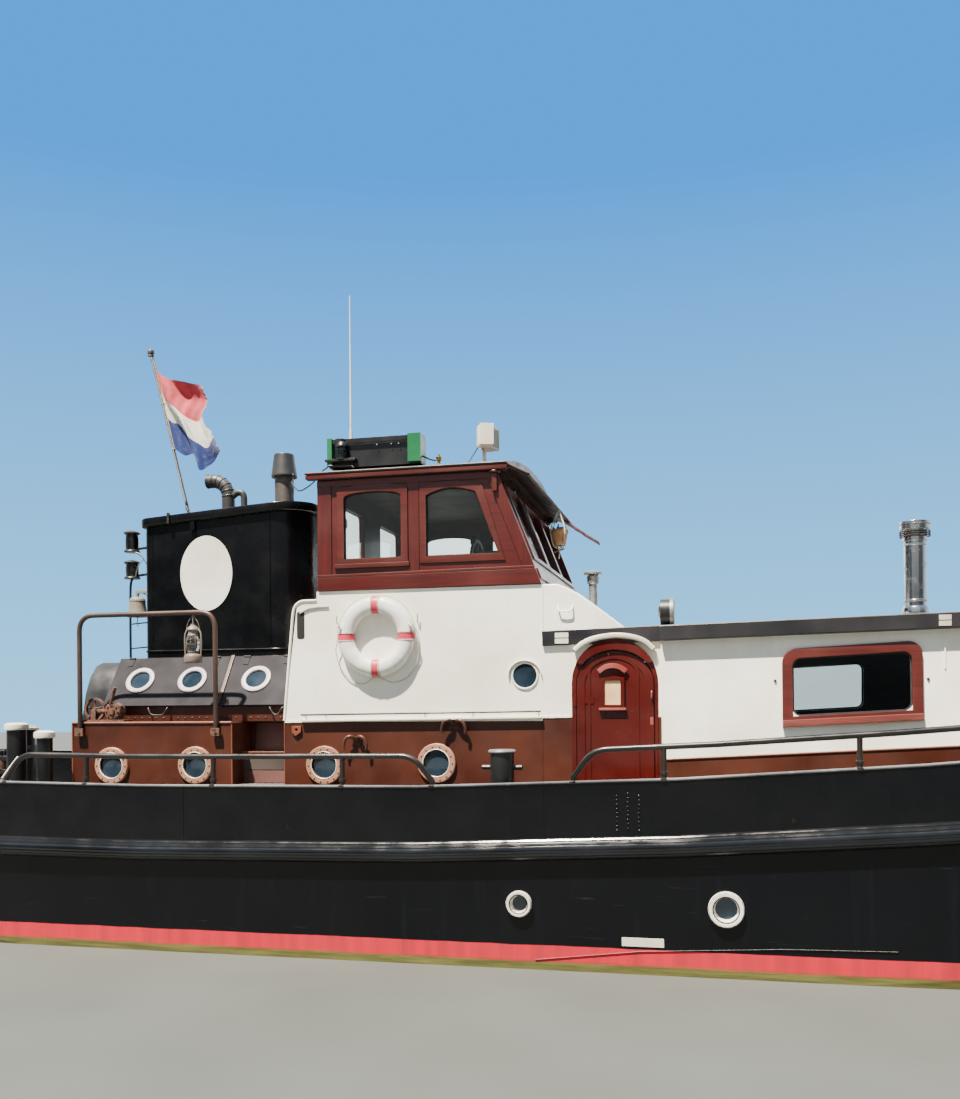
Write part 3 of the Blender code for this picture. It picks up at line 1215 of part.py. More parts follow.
def build_tow_gear():
    x, z = TOW_X, HOOK_Z
    post, low = deck_pad("tow_post", x - 0.45, x + 0.45, 0.40, 0.03)
    lug_gap = HOOK_EYE_HIGH / 2 + SEAT
    join(post, cylinder("tow_column", (x, 0, (low + 1.85) / 2), 0.13, 1.87 - low),
         cylinder("tow_cap", (x, 0, 1.88), 0.16, 0.06),
         cylinder("tow_pin", (HOOK_PIN_X, 0, z), HOOK_PIN_RADIUS, 0.30),
         box("tow_lug_upper", (x - 0.38, -0.06, z + lug_gap), (x - 0.05, 0.06, z + lug_gap + HOOK_LUG)),
         box("tow_lug_lower", (x - 0.38, -0.06, z - lug_gap - HOOK_LUG), (x - 0.05, 0.06, z - lug_gap)))
    # Hook: eye round the pin, shank aft, turned-up horn
    eye = cylinder("tow_hook", (HOOK_PIN_X, 0, z), HOOK_EYE_RADIUS, HOOK_EYE_HIGH, colour="rust")
    shank = box("hook_shank", (x - 0.86, -0.03, z - 0.035), (x - 0.35, 0.03, z + 0.035))
    horn = tube("hook_horn", [(x - 0.82, 0, z), (x - 0.92, 0, z + 0.01), (x - 0.97, 0, z + 0.07),
                              (x - 0.94, 0, z + 0.16), (x - 0.86, 0, z + 0.19)], 0.032)
    join(eye, shank, horn)
    cut(eye, cylinder("hook_bore", (HOOK_PIN_X, 0, z), HOOK_PIN_RADIUS + 0.004, 0.4))
    eye.data.transform(Matrix.Translation((-HOOK_PIN_X, 0, -z)))
    eye.location = (HOOK_PIN_X, 0, z)


def mast_hinge_z():
    return on_facets(MAST_X, deck_z) + TABERNACLE_HIGH


def build_mast():
    # Tabernacle: two cheeks on a foot, open forward and aft
    foot, low = deck_pad("tabernacle", MAST_X - 0.22, MAST_X + 0.22, 0.22, 0.03)
    hinge_z = mast_hinge_z()
    for side, sign in SIDES:
        near, far = sorted((sign * (MAST_RADIUS + 0.012), sign * (MAST_RADIUS + 0.042)))
        join(foot, box(f"cheek_{side}", (MAST_X - 0.13, near, low - 0.02), (MAST_X + 0.13, far, hinge_z + 0.12)))
    join(foot, cylinder("mast_pin", (MAST_X, 0, hinge_z), MAST_PIN_RADIUS, 0.32, "Y", sides=PIN_SIDES))
    heel = hinge_z - 0.16
    mast = cone("mast", (MAST_X, 0, (heel + MAST_TOP) / 2), MAST_RADIUS, MAST_RADIUS * 0.55,
                MAST_TOP - heel, colour="mahogany")
    join(mast, cylinder("mast_truck", (MAST_X, 0, MAST_TOP), 0.07, 0.05),
         cylinder("mast_yard", (MAST_X, 0, 7.6), 0.025, 1.3, "Y", sides=12),
         cylinder("mast_lamp_arm", (MAST_X + 0.16, 0, 6.55), 0.018, 0.26, "X", sides=8),
         cylinder("mast_lamp", (MAST_X + 0.28, 0, 6.64), 0.075, 0.20))
    cut(mast, cylinder("mast_bore", (MAST_X, 0, hinge_z), MAST_PIN_RADIUS + MAST_PIN_PLAY, 0.5, "Y",
                       sides=PIN_SIDES))
    # The mast stands raked aft about its pin
    mast.data.transform(Matrix.Translation((-MAST_X, 0, -hinge_z)))
    mast.data.transform(Matrix.Rotation(math.radians(-MAST_RAKE), 4, "Y"))
    mast.location = (MAST_X, 0, hinge_z)
    for change in mast.modifiers:
        change.object.data.transform(Matrix.Translation((-MAST_X, 0, -hinge_z)))
        change.object.data.transform(Matrix.Rotation(math.radians(-MAST_RAKE), 4, "Y"))
        change.object.location = (MAST_X, 0, hinge_z)


def build_foredeck():
    x = 8.05
    bed, low = deck_pad("windlass", x - 0.30, x + 0.30, 0.62, 0.03)
    for side, sign in SIDES:
        near, far = sorted((sign * 0.42, sign * 0.50))
        join(bed, box(f"windlass_cheek_{side}", (x - 0.18, near, low - 0.02), (x + 0.18, far, low + 0.55)),
             cylinder(f"windlass_head_{side}", (x, sign * 0.66, low + 0.40), 0.12, 0.20, "Y"))
    join(bed, cylinder("windlass_shaft", (x, 0, low + 0.40), 0.05, 1.2, "Y"),
         cylinder("windlass_barrel", (x, 0, low + 0.40), 0.16, 0.70, "Y"),
         cylinder("windlass_gear", (x, 0.36, low + 0.40), 0.24, 0.05, "Y", sides=24))
    x = 8.9
    bitts, low = deck_pad("fore_bitts", x - 0.14, x + 0.14, 0.36, 0.03)
    for number, y in enumerate((-0.22, 0.22)):
        join(bitts, cylinder(f"bitt_{number}", (x, y, low + 0.24), 0.085, 0.52))
    join(bitts, cylinder("bitt_bar", (x, 0, low + 0.36), 0.03, 0.80, "Y", sides=12))


def smooth_route(points, steps):
    """Points on a smooth curve that passes through every point of the route."""
    ends = [points[0], *points, points[-1]]
    route = []
    for before, start, end, after in zip(ends, ends[1:], ends[2:], ends[3:]):
        for step in range(steps):
            t = step / steps
            route.append([0.5 * (2 * b + (c - a) * t + (2 * a - 5 * b + 4 * c - d) * t ** 2
                                 + (3 * b - a - 3 * c + d) * t ** 3)
                          for a, b, c, d in zip(before, start, end, after)])
    return [*route, points[-1]]


def build_grab_line():
    route = [(RING_X + across, -HOUSE_HALF - out, RING_Z + up) for across, up, out in GRAB_LINE]
    return tube("grab_line", smooth_route(route, GRAB_STEPS), GRAB_RADIUS, "rust")


def build():
    clear_scene()
    build_hull()
    build_bulwark()
    build_fender()
    build_rudder()
    build_propeller()
    build_casing()
    build_skylight()
    build_funnel()
    build_funnel_lamps()
    build_bell()
    build_flag()
    build_hoops()
    build_lantern()
    build_winch()
    build_companion_hood()
    build_lower_house()
    build_lobby()
    build_doors()
    build_salon()
    build_salon_front()
    build_salon_roof()
    build_trunk()
    build_wheelhouse()
    build_wheelhouse_roof()
    build_helm()
    build_sidelights()
    build_roof_gear()
    build_salon_roof_gear()
    build_life_ring()
    build_grab_line()
    build_rails()
    build_side_bollards()
    build_tow_gear()
    build_mast()
    build_foredeck()


build()
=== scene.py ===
import json
from math import atan2, ceil, cos, hypot, pi, radians, sin, tan

import bmesh
import bpy
from mathutils import Matrix, Vector, noise
from mathutils.bvhtree import BVHTree

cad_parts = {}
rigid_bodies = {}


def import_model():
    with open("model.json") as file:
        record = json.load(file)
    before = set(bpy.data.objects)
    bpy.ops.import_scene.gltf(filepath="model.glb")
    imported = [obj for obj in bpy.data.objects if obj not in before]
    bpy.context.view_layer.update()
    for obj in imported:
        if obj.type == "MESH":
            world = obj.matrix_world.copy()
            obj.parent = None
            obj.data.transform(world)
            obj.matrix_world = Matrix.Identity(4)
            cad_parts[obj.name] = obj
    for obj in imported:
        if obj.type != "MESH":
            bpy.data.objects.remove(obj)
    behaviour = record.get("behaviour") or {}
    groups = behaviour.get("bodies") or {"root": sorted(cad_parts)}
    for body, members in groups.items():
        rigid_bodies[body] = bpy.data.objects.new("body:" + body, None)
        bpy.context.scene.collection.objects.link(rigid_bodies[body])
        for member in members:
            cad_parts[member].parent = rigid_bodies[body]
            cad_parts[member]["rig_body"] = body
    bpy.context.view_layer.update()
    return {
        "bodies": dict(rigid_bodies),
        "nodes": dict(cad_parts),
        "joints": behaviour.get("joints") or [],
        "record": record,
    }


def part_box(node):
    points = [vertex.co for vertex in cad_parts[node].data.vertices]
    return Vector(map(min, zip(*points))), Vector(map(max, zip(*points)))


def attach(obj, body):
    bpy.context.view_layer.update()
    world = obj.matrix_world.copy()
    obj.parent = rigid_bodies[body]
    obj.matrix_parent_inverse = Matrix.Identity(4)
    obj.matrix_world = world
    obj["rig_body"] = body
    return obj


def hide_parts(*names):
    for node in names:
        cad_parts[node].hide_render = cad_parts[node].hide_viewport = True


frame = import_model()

bl_info = {
    "name": "Harbour tug dressing",
    "version": (1, 0, 0),
    "blender": (4, 5, 0),
    "location": "3D View > Sidebar > Tug",
    "description": "Paint, wood, glass, rope, cloth and fittings for a steel harbour tug",
    "category": "Object",
}

NODES = frame["nodes"]

# Photograph's frame in pixels and the camera in the boat's frame
FRAME_LONG = 1099
FOCAL_PIXELS, HORIZON_PIXEL = 1046, 700
CAMERA_PLACE, CAMERA_YAW, CAMERA_ROLL = (1.93, -10.58, 2.16), 12.92, 0.009

# Hull lines
BOW_X, STERN_X, HALF_BEAM = 10.0, -10.0, 2.35
BOW_STARTS, STERN_STARTS = 3.4, -5.5
BOW_POWER, BOW_ROUND, STERN_POWER, STERN_ROUND = 2.3, 0.7, 2.4, 0.46
BOW_SLICES, STERN_SLICES, BOW_END, STERN_END = 9, 8, 84.0, 87.0
DECK_LOW, DECK_LOW_X, DECK_FORE, DECK_AFT = 0.972, -3.0, 0.0063, 0.003
RAIL_LOW, RAIL_LOW_X, RAIL_FORE, RAIL_AFT = 1.438, -2.0, 0.0073, 0.003
FENDER_HIGH, FENDER_OUT = 0.185, 0.085
RAIL_INSET = 0.025
AFT_RAIL_FEET = (-4.36, -3.549, -2.323, -1.15, -0.37)
FORE_RAIL_FEET = (0.79, 1.501, 2.946, 4.39, 5.6)
HULL_PORTS = ((0.348, 0.526, 0.1), (1.963, 0.538, 0.133))

# Houses
HOUSE_HALF, WALL, SEAT = 1.43, 0.05, 0.0003
CASING_AFT, CASING_TOP = -4.29, 1.97
STEP_AFT, STEP_FORE = -2.59, -2.05
CASING_PORTS = ((-3.856, 1.553), (-2.964, 1.562), (-1.652, 1.569), (-0.574, 1.593))
PORT_RING, PORT_GLASS = 0.175, 0.118
HOUSE_FRONT, HOUSE_TOP = 0.4, 3.18
SALON_HALF, SALON_AFT, SALON_FORE = 1.55, 1.455, 6.3
SALON_LEAN, SALON_RISE, PLINTH_TOP = radians(3), 0.05, 1.642
ROOF_OVER = 0.03
WH_AFT, WH_TOP, WH_RAKE_TOP = -1.7, 4.27, -0.02
SILL_Z, HEAD_Z = 3.465, 4.085
SKY_AFT, SKY_FORE, LID_SPLIT, LID_THICK = -4.13, -2.09, -2.85, 0.035
SKY_BASE, SKY_BASE_HALF, SKY_TOP, SKY_TOP_HALF = 2.13, 1.16, 2.6, 0.83
LID_PORTS = {"aft": (-3.785, -3.209), "fore": (-2.52,)}
FUNNEL_AFT, FUNNEL_FORE, FUNNEL_HALF = -3.9, -2.15, 0.75
FUNNEL_TOP, FUNNEL_TOP_X, FUNNEL_SLOPE = 4.07, -3.95, 0.07
RING_X, RING_Z, RING_OUTER, RING_THICK, RING_WIDE = -1.124, 2.747, 0.366, 0.055, 0.078
DOOR_AFT, DOOR_FORE, DOOR_SILL, DOOR_SPRING, DOOR_CROWN = 0.695, 1.385, 1.14, 2.29, 2.585
SALON_WINDOWS, WINDOW_WIDE, WINDOW_HIGH, WINDOW_LOW = (2.44, 4.1), 1.09, 0.64, 1.916
FRAME_WIDE = 0.075
STAFF_FOOT, STAFF_TOP, STAFF_Y = -3.6, (-4.06, 5.96), -0.3
HOOP_AFT, HOOP_FORE, HOOP_TOP = -4.19, -2.74, 3.02

# Each side: name and sign of Y
SIDES = (("starboard", -1), ("port", 1))
SIGNS = (-1, 1)


def tone(code):
    """Linear colour of an sRGB hex value."""
    parts = [int(code[i:i + 2], 16) / 255 for i in (1, 3, 5)]
    return tuple(p / 12.92 if p <= 0.04045 else ((p + 0.055) / 1.055) ** 2.4 for p in parts)


def swatch(title, text, code):
    """A colour property with its default as an sRGB hex value."""
    return bpy.props.FloatVectorProperty(name=title, description=text, default=tone(code), size=3, min=0,
        max=1, subtype="COLOR")


def length(title, text, metres):
    """A length property in metres."""
    return bpy.props.FloatProperty(name=title, description=text, default=metres, min=0.0001,
        subtype="DISTANCE", unit="LENGTH", precision=4)


class TugPaints(bpy.types.PropertyGroup):
    """Colours that an owner would choose."""
    hull: swatch("Hull black", "Gloss black of hull, bulwark and rub rail", "#040509")
    boot: swatch("Boot top", "Band above the waterline", "#BE2436")
    bottom: swatch("Bottom", "Antifouling under water", "#5B231D")
    casing: swatch("Casing brown", "Engine casing, skylight and plinth", "#37170E")
    house: swatch("House white", "Deckhouse, trunk and salon", "#FFFDF2")
    mahogany: swatch("Mahogany", "Stained wood of the wheelhouse and window frames", "#52120D")
    door: swatch("Door red", "Side doors", "#3A0B08")
    funnel: swatch("Funnel black", "Funnel and its pipes", "#050608")
    lid: swatch("Skylight grey", "Skylight lids", "#1E1C22")
    roof: swatch("Roof edge", "Edge of the salon's roof", "#1B1A1F")
    deck: swatch("Deck grey", "Decks and roofs underfoot", "#565B5A")


class TugSizes(bpy.types.PropertyGroup):
    """Small sizes that repeat over the boat."""
    rivet: length("Rivet", "Radius of a rivet head in the bulwark", 0.011)
    rivet_pitch: length("Rivet pitch", "Distance between rivets along the skylight", 0.078)
    stud: length("Stud", "Radius of the studs round the casing's ports", 0.0085)
    pane: length("Pane", "Thickness of window glass", 0.006)
    bead: length("Bead", "Radius of the half-round bead on the bulwark's edge", 0.012)
    rope: length("Grab line", "Diameter of the life ring's grab line", 0.01)


# Shapes
def deck_z(x):
    """Height of the deck's edge at a place along the boat."""
    run = x - DECK_LOW_X
    return DECK_LOW + (DECK_FORE if run > 0 else DECK_AFT) * run * run


def rail_z(x):
    """Height of the bulwark's top at a place along the boat."""
    run = x - RAIL_LOW_X
    return RAIL_LOW + (RAIL_FORE if run > 0 else RAIL_AFT) * run * run


def half_beam(x):
    """Half the hull's width at a place along the boat."""
    if x > BOW_STARTS:
        reach = min((x - BOW_STARTS) / (BOW_X - BOW_STARTS), 1)
        return HALF_BEAM * (1 - reach ** BOW_POWER) ** BOW_ROUND
    if x < STERN_STARTS:
        reach = min((STERN_STARTS - x) / (STERN_STARTS - STERN_X), 1)
        return HALF_BEAM * (1 - reach ** STERN_POWER) ** STERN_ROUND
    return HALF_BEAM


def stations():
    """Places along the boat where the hull's flat facets meet."""
    aft = [STERN_STARTS - (STERN_STARTS - STERN_X) * sin(radians(STERN_END * i / STERN_SLICES))
        for i in range(STERN_SLICES, 0, -1)]
    fore = [BOW_STARTS + (BOW_X - BOW_STARTS) * sin(radians(BOW_END * i / BOW_SLICES))
        for i in range(1, BOW_SLICES + 1)]
    return aft + [STERN_STARTS, -3.0, -0.5, 1.6, BOW_STARTS] + fore


def on_facets(x, rule):
    """A rule's value on the straight run between the two stations beside x."""
    for low, high in zip(stations(), stations()[1:]):
        if low <= x <= high:
            share = (x - low) / (high - low)
            return rule(low) + share * (rule(high) - rule(low))
    return rule(x)


def plan_points():
    """Deck's outline from above, round both ends."""
    xs = stations()
    return [(x, half_beam(x)) for x in xs] + [(x, -half_beam(x)) for x in reversed(xs)]


def inward(loop, distance):
    """Moves a closed plan loop inwards by a distance."""
    moved = []
    for i, point in enumerate(loop):
        before, here, after = Vector(loop[i - 1]), Vector(point), Vector(loop[(i + 1) % len(loop)])
        one, two = (here - before).normalized(), (after - here).normalized()
        mean = (Vector((one.y, -one.x)) + Vector((two.y, -two.x))).normalized()
        moved.append(here + mean * distance / max(mean.dot(Vector((one.y, -one.x))), 0.35))
    return moved


def funnel_top(x):
    """Height of the funnel's sloped top."""
    return FUNNEL_TOP + FUNNEL_SLOPE * (x - FUNNEL_TOP_X)


def rake_x(z):
    """Place of the wheelhouse's raked front at a height."""
    return HOUSE_FRONT + (z - HOUSE_TOP) / (WH_TOP - HOUSE_TOP) * (WH_RAKE_TOP - HOUSE_FRONT)


def sweep(path, section, closed=False, up=(0, 0, 1), scales=None):
    """Skin of a closed section that is carried along a path without twisting."""
    points = [Vector(p) for p in path]
    count = len(points)
    shape, rings, side = bmesh.new(), [], None
    for i, point in enumerate(points):
        before = points[i - 1] if i or closed else point
        after = points[(i + 1) % count] if i < count - 1 or closed else point
        ahead = (after - before).normalized()
        if side is None:
            side = ahead.cross(Vector(up))
            if side.length < 0.01:
                side = ahead.cross(Vector((0, 1, 0.01)))
        side = (side - ahead * side.dot(ahead)).normalized()
        over = side.cross(ahead)
        size = scales[i] if scales else 1
        rings.append([shape.verts.new(point + (side * a + over * b) * size) for a, b in section])
    pairs = list(zip(rings, rings[1:])) + ([(rings[-1], rings[0])] if closed else [])
    for ring, following in pairs:
        for j in range(len(section)):
            k = (j + 1) % len(section)
            shape.faces.new((ring[j], ring[k], following[k], following[j]))
    if not closed:
        shape.faces.new(rings[0])
        shape.faces.new(reversed(rings[-1]))
    return shape


def circle(radius, sides=16):
    """Round section about the origin."""
    return [(radius * cos(2 * pi * i / sides), radius * sin(2 * pi * i / sides)) for i in range(sides)]


def arc(centre, radius, start, end, steps):
    """Points on a circle between two angles in degrees."""
    return [(centre[0] + radius * cos(radians(start + (end - start) * i / steps)),
        centre[1] + radius * sin(radians(start + (end - start) * i / steps))) for i in range(steps + 1)]


def bend(start, corner, end, radius, steps=8):
    """Points of a smooth turn from one straight run to another."""
    start, corner, end = Vector(start), Vector(corner), Vector(end)
    back, on = (start - corner).normalized() * radius, (end - corner).normalized() * radius
    return [corner + back * (1 - t / steps) ** 2 + on * (t / steps) ** 2 for t in range(steps + 1)]


def smooth_route(points, steps):
    """Points on a smooth curve that passes through every point of the route."""
    ends = [points[0], *points, points[-1]]
    route = []
    for before, start, end, after in zip(ends, ends[1:], ends[2:], ends[3:]):
        for step in range(steps):
            t = step / steps
            route.append(
                [0.5 * (2 * b + (c - a) * t + (2 * a - 5 * b + 4 * c - d) * t ** 2
                + (3 * b - a - 3 * c + d) * t ** 3) for a, b, c, d in zip(before, start, end, after)])
    return [*route, list(points[-1])]


def oblong(low_u, low_v, high_u, high_v):
    """Oblong outline."""
    return [(low_u, low_v), (high_u, low_v), (high_u, high_v), (low_u, high_v)]


def rounded(low_u, low_v, high_u, high_v, radius, steps=6):
    """Oblong outline with round corners."""
    corners = ((high_u - radius, high_v - radius, 0), (low_u + radius, high_v - radius, 90),
        (low_u + radius, low_v + radius, 180), (high_u - radius, low_v + radius, 270))
    return [p for u, v, start in corners for p in arc((u, v), radius, start, start + 90, steps)]


def arched(low_u, low_v, high_u, spring, crown, steps=20):
    """Outline with a square foot and an arched head."""
    middle, half, rise = (low_u + high_u) / 2, (high_u - low_u) / 2, crown - spring
    return [(low_u, low_v),
        (high_u, low_v)] + [(middle + half * cos(pi * i / steps), spring + rise * sin(pi * i / steps))
        for i in range(steps + 1)]


AXIS_TURN = {
    "X": Matrix.Rotation(radians(90), 4, "Y"),
    "Y": Matrix.Rotation(radians(-90), 4, "X"),
    "Z": Matrix.Identity(4),
}
PLANES = {
    "XZ": Matrix(((1, 0, 0, 0), (0, 0, -1, 0), (0, 1, 0, 0), (0, 0, 0, 1))),
    "XY": Matrix.Identity(4),
    "YZ": Matrix(((0, 0, 1, 0), (1, 0, 0, 0), (0, 1, 0, 0), (0, 0, 0, 1))),
}


class Fitting:
    """One piece made of several shapes, each with its own finish."""

    def __init__(self, name):
        self.name, self.shape, self.finishes, self.place = name, bmesh.new(), [], Matrix.Identity(4)

    def take(self, part, finish):
        """Adds a closed shape, its faces turned outwards."""
        bmesh.ops.recalc_face_normals(part, faces=part.faces)
        bmesh.ops.transform(part, matrix=self.place, verts=part.verts)
        if self.place.determinant() < 0:
            bmesh.ops.reverse_faces(part, faces=part.faces)
        if finish not in self.finishes:
            self.finishes.append(finish)
        for face in part.faces:
            face.material_index = self.finishes.index(finish)
        mesh = bpy.data.meshes.new("part")
        part.to_mesh(mesh)
        part.free()
        self.shape.from_mesh(mesh)
        bpy.data.meshes.remove(mesh)

    def box(self, one, two, finish, soft=0.003, matrix=None):
        """A block with eased edges between two opposite corners."""
        low, high = [[pick(pair) for pair in zip(one, two)] for pick in (min, max)]
        part = bmesh.new()
        bmesh.ops.create_cube(part, size=1)
        bmesh.ops.scale(part, vec=[b - a for a, b in zip(low, high)], verts=part.verts)
        bmesh.ops.translate(part, vec=[(a + b) / 2 for a, b in zip(low, high)], verts=part.verts)
        if soft:
            bmesh.ops.bevel(part, geom=part.edges[:], offset=soft, segments=2, affect="EDGES", profile=0.6)
        if matrix:
            bmesh.ops.transform(part, matrix=matrix, verts=part.verts)
        self.take(part, finish)

    def tube(self, path, radius, finish, sides=14, closed=False, scales=None):
        self.take(sweep(path, circle(radius, sides), closed, scales=scales), finish)

    def pipe(self, points, steps, radius, finish, sides=14, scales=None):
        """A tube on a smooth curve through the points."""
        self.tube(smooth_route(points, steps), radius, finish, sides, scales=scales)

    def bar(self, path, wide, deep, finish, up=(0, 1, 0)):
        """A flat bar with eased edges along a path."""
        section = rounded(-wide / 2, -deep / 2, wide / 2, deep / 2, min(wide, deep) * 0.3, 2)
        self.take(sweep(path, section, False, up), finish)

    def lathe(self, profile, centre, finish, axis="Z", flip=1, steps=32):
        """Turns a profile of radius and height about an axis; flip -1 points it the other way."""
        part, rings = bmesh.new(), []
        for radius, high in profile:
            if radius < 1e-6:
                rings.append([part.verts.new((0, 0, high * flip))])
            else:
                rings.append([part.verts.new((x, y, high * flip)) for x, y in circle(radius, steps)])
        for low, high in zip(rings, rings[1:]):
            for i in range(steps):
                j = (i + 1) % steps
                corners = [low[i % len(low)], low[j % len(low)], high[j % len(high)], high[i % len(high)]]
                part.faces.new(list(dict.fromkeys(corners)))
        for ring in (rings[0], rings[-1]):
            if len(ring) > 1:
                part.faces.new(ring)
        bmesh.ops.transform(part, matrix=Matrix.Translation(centre) @ AXIS_TURN[axis], verts=part.verts)
        self.take(part, finish)

    def hoop(self, profile, centre, finish, axis="Y", flip=1, steps=40):
        """Turns a closed profile that doesn't reach the axis, such as a ring's section."""
        part, rings = bmesh.new(), []
        for i in range(steps):
            c, s = cos(2 * pi * i / steps), sin(2 * pi * i / steps)
            rings.append([part.verts.new((r * c, r * s, h * flip)) for r, h in profile])
        for ring, following in zip(rings, rings[1:] + rings[:1]):
            for j in range(len(profile)):
                k = (j + 1) % len(profile)
                part.faces.new((ring[j], ring[k], following[k], following[j]))
        bmesh.ops.transform(part, matrix=Matrix.Translation(centre) @ AXIS_TURN[axis], verts=part.verts)
        self.take(part, finish)

    def plate(self, outline, middle, thick, plane, finish, holes=(), soft=0.002, turn=None):
        """A flat plate with eased edges, drawn in its own plane."""
        curve = bpy.data.curves.new("plate", "CURVE")
        curve.dimensions, curve.fill_mode = "2D", "BOTH"
        curve.extrude = thick / 2 - soft
        curve.bevel_depth, curve.bevel_resolution, curve.offset = soft, 1, -soft
        for loop in (outline, *holes):
            line = curve.splines.new("POLY")
            line.points.add(len(loop) - 1)
            for spot, (u, v) in zip(line.points, loop):
                spot.co = (u, v, 0, 1)
            line.use_cyclic_u = True
        drawn = bpy.data.objects.new("plate", curve)
        bpy.context.scene.collection.objects.link(drawn)
        graph = bpy.context.evaluated_depsgraph_get()
        mesh = bpy.data.meshes.new_from_object(drawn.evaluated_get(graph))
        part = bmesh.new()
        part.from_mesh(mesh)
        bpy.data.objects.remove(drawn, do_unlink=True)
        bpy.data.meshes.remove(mesh)
        bmesh.ops.remove_doubles(part, verts=part.verts, dist=0.00002)
        matrix = Matrix.Translation(middle) @ (turn or Matrix.Identity(4)) @ PLANES[plane]
        bmesh.ops.transform(part, matrix=matrix, verts=part.verts)
        self.take(part, finish)

    def panel(self, outline, y, thick, finish, holes=(), soft=0.002):
        """A plate that stands fore and aft, its outline in x and z."""
        self.plate(outline, (0, y, 0), thick, "XZ", finish, holes, soft)

    def done(self, body="root", stands_for=(), slot=None, smooth=35):
        mesh = bpy.data.meshes.new(self.name)
        self.shape.to_mesh(mesh)
        self.shape.free()
        for finish in self.finishes:
            mesh.materials.append(FINISH[finish])
        return settle(self.name, mesh, body, stands_for, smooth)


def settle(name, mesh, body="root", stands_for=(), smooth=35):
    """Puts a finished mesh on its body, with smooth faces and sharp corners."""
    obj = bpy.data.objects.new(name, mesh)
    bpy.context.scene.collection.objects.link(obj)
    mesh.shade_smooth()
    mesh.set_sharp_from_angle(angle=radians(smooth))
    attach(obj, body)
    if stands_for:
        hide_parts(*stands_for)
    if smooth < 60:
        obj.modifiers.new("Face normals", "WEIGHTED_NORMAL").keep_sharp = True
    return obj


# Which faces of a piece take its second finish, from the face's normal and middle
RULES = {
    "inner": lambda n, p: n.y * p.y < 0 and abs(n.y) > 0.5,
    "inside": lambda n, p: (abs(p.y) < HOUSE_HALF - 0.04 and abs(n.y) > 0.5 or n.z < -0.5
                            or p.x < 0.36 and n.x > 0.5),
    # Window reveals of the salon take the dark cabin lining, which also stands as painted shade in the holes
    "reveal": lambda n, p: n.y * p.y < 0.5 * abs(p.y) and (1.6 < p.x < 6.15 or n.y * p.y < 0),
    "below": lambda n, p: n.z < -0.6,
    "aft": lambda n, p: n.x < -0.5,
    "fore": lambda n, p: n.x > 0.5,
    "low": lambda n, p: p.z < LOBBY_PAINT,
}
LOBBY_PAINT = 2.0


def dress(node, finish, soft=0.004, other=None, rule=None, smooth=35):
    """A smooth copy of a CAD piece with eased edges, which stands for it."""
    shape = bmesh.new()
    shape.from_mesh(NODES[node].data)
    bmesh.ops.remove_doubles(shape, verts=shape.verts, dist=0.00005)
    bmesh.ops.dissolve_limit(shape, angle_limit=radians(0.3), verts=shape.verts, edges=shape.edges)
    if rule == "low":
        everything = shape.verts[:] + shape.edges[:] + shape.faces[:]
        bmesh.ops.bisect_plane(shape, geom=everything, plane_co=(0, 0, LOBBY_PAINT), plane_no=(0, 0, 1))
    if rule:
        for face in shape.faces:
            face.material_index = int(RULES[rule](face.normal, face.calc_center_median()))
    mesh = bpy.data.meshes.new(node + "_dressed")
    shape.to_mesh(mesh)
    shape.free()
    for name in filter(None, (finish, other)):
        mesh.materials.append(FINISH[name])
    obj = settle(node + "_dressed", mesh, NODES[node]["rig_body"], (node,), smooth)
    if soft:
        edge = obj.modifiers.new("Eased edges", "BEVEL")
        edge.width, edge.segments, edge.limit_method = soft, 2, "ANGLE"
        edge.angle_limit = radians(30)
        obj.modifiers.move(len(obj.modifiers) - 1, 0)
    return obj


def paint_node(node, finish):
    """Gives a CAD piece that keeps its shape its real finish."""
    mesh = NODES[node].data
    mesh.materials.clear()
    mesh.materials.append(FINISH[finish])


# Nodes
def fill(tree, node, inputs):
    """Links or sets a node's inputs; a node stands for its first output."""
    for key, value in inputs.items():
        if isinstance(value, bpy.types.Node):
            value = value.outputs[0]
        if isinstance(value, bpy.types.NodeSocket):
            tree.links.new(value, node.inputs[key])
        else:
            node.inputs[key].default_value = value


def add(tree, kind, inputs=None, **settings):
    """Adds a node with its settings, and links or sets its inputs."""
    node = tree.nodes.new(kind)
    for name, value in settings.items():
        setattr(node, name, value)
    fill(tree, node, inputs or {})
    return node


# Node trees that grow repeated parts
SOCKETS = {float: "NodeSocketFloat", int: "NodeSocketInt", tuple: "NodeSocketVector"}


def new_growth(name, inputs):
    """An empty geometry tree with named inputs, and those inputs by name."""
    tree = bpy.data.node_groups.new(name, "GeometryNodeTree")
    tree.interface.new_socket("Geometry", in_out="INPUT", socket_type="NodeSocketGeometry")
    for title, value in inputs.items():
        socket = tree.interface.new_socket(title, in_out="INPUT", socket_type=SOCKETS[type(value)])
        socket.default_value = value
    tree.interface.new_socket("Geometry", in_out="OUTPUT", socket_type="NodeSocketGeometry")
    return tree, add(tree, "NodeGroupInput").outputs


def end_growth(tree, geometry, finish):
    """Closes a tree with real geometry and one finish."""
    real = add(tree, "GeometryNodeRealizeInstances", {"Geometry": geometry})
    painted_parts = add(tree, "GeometryNodeSetMaterial", {"Geometry": real, "Material": FINISH[finish]})
    add(tree, "NodeGroupOutput", {"Geometry": painted_parts})
    return tree


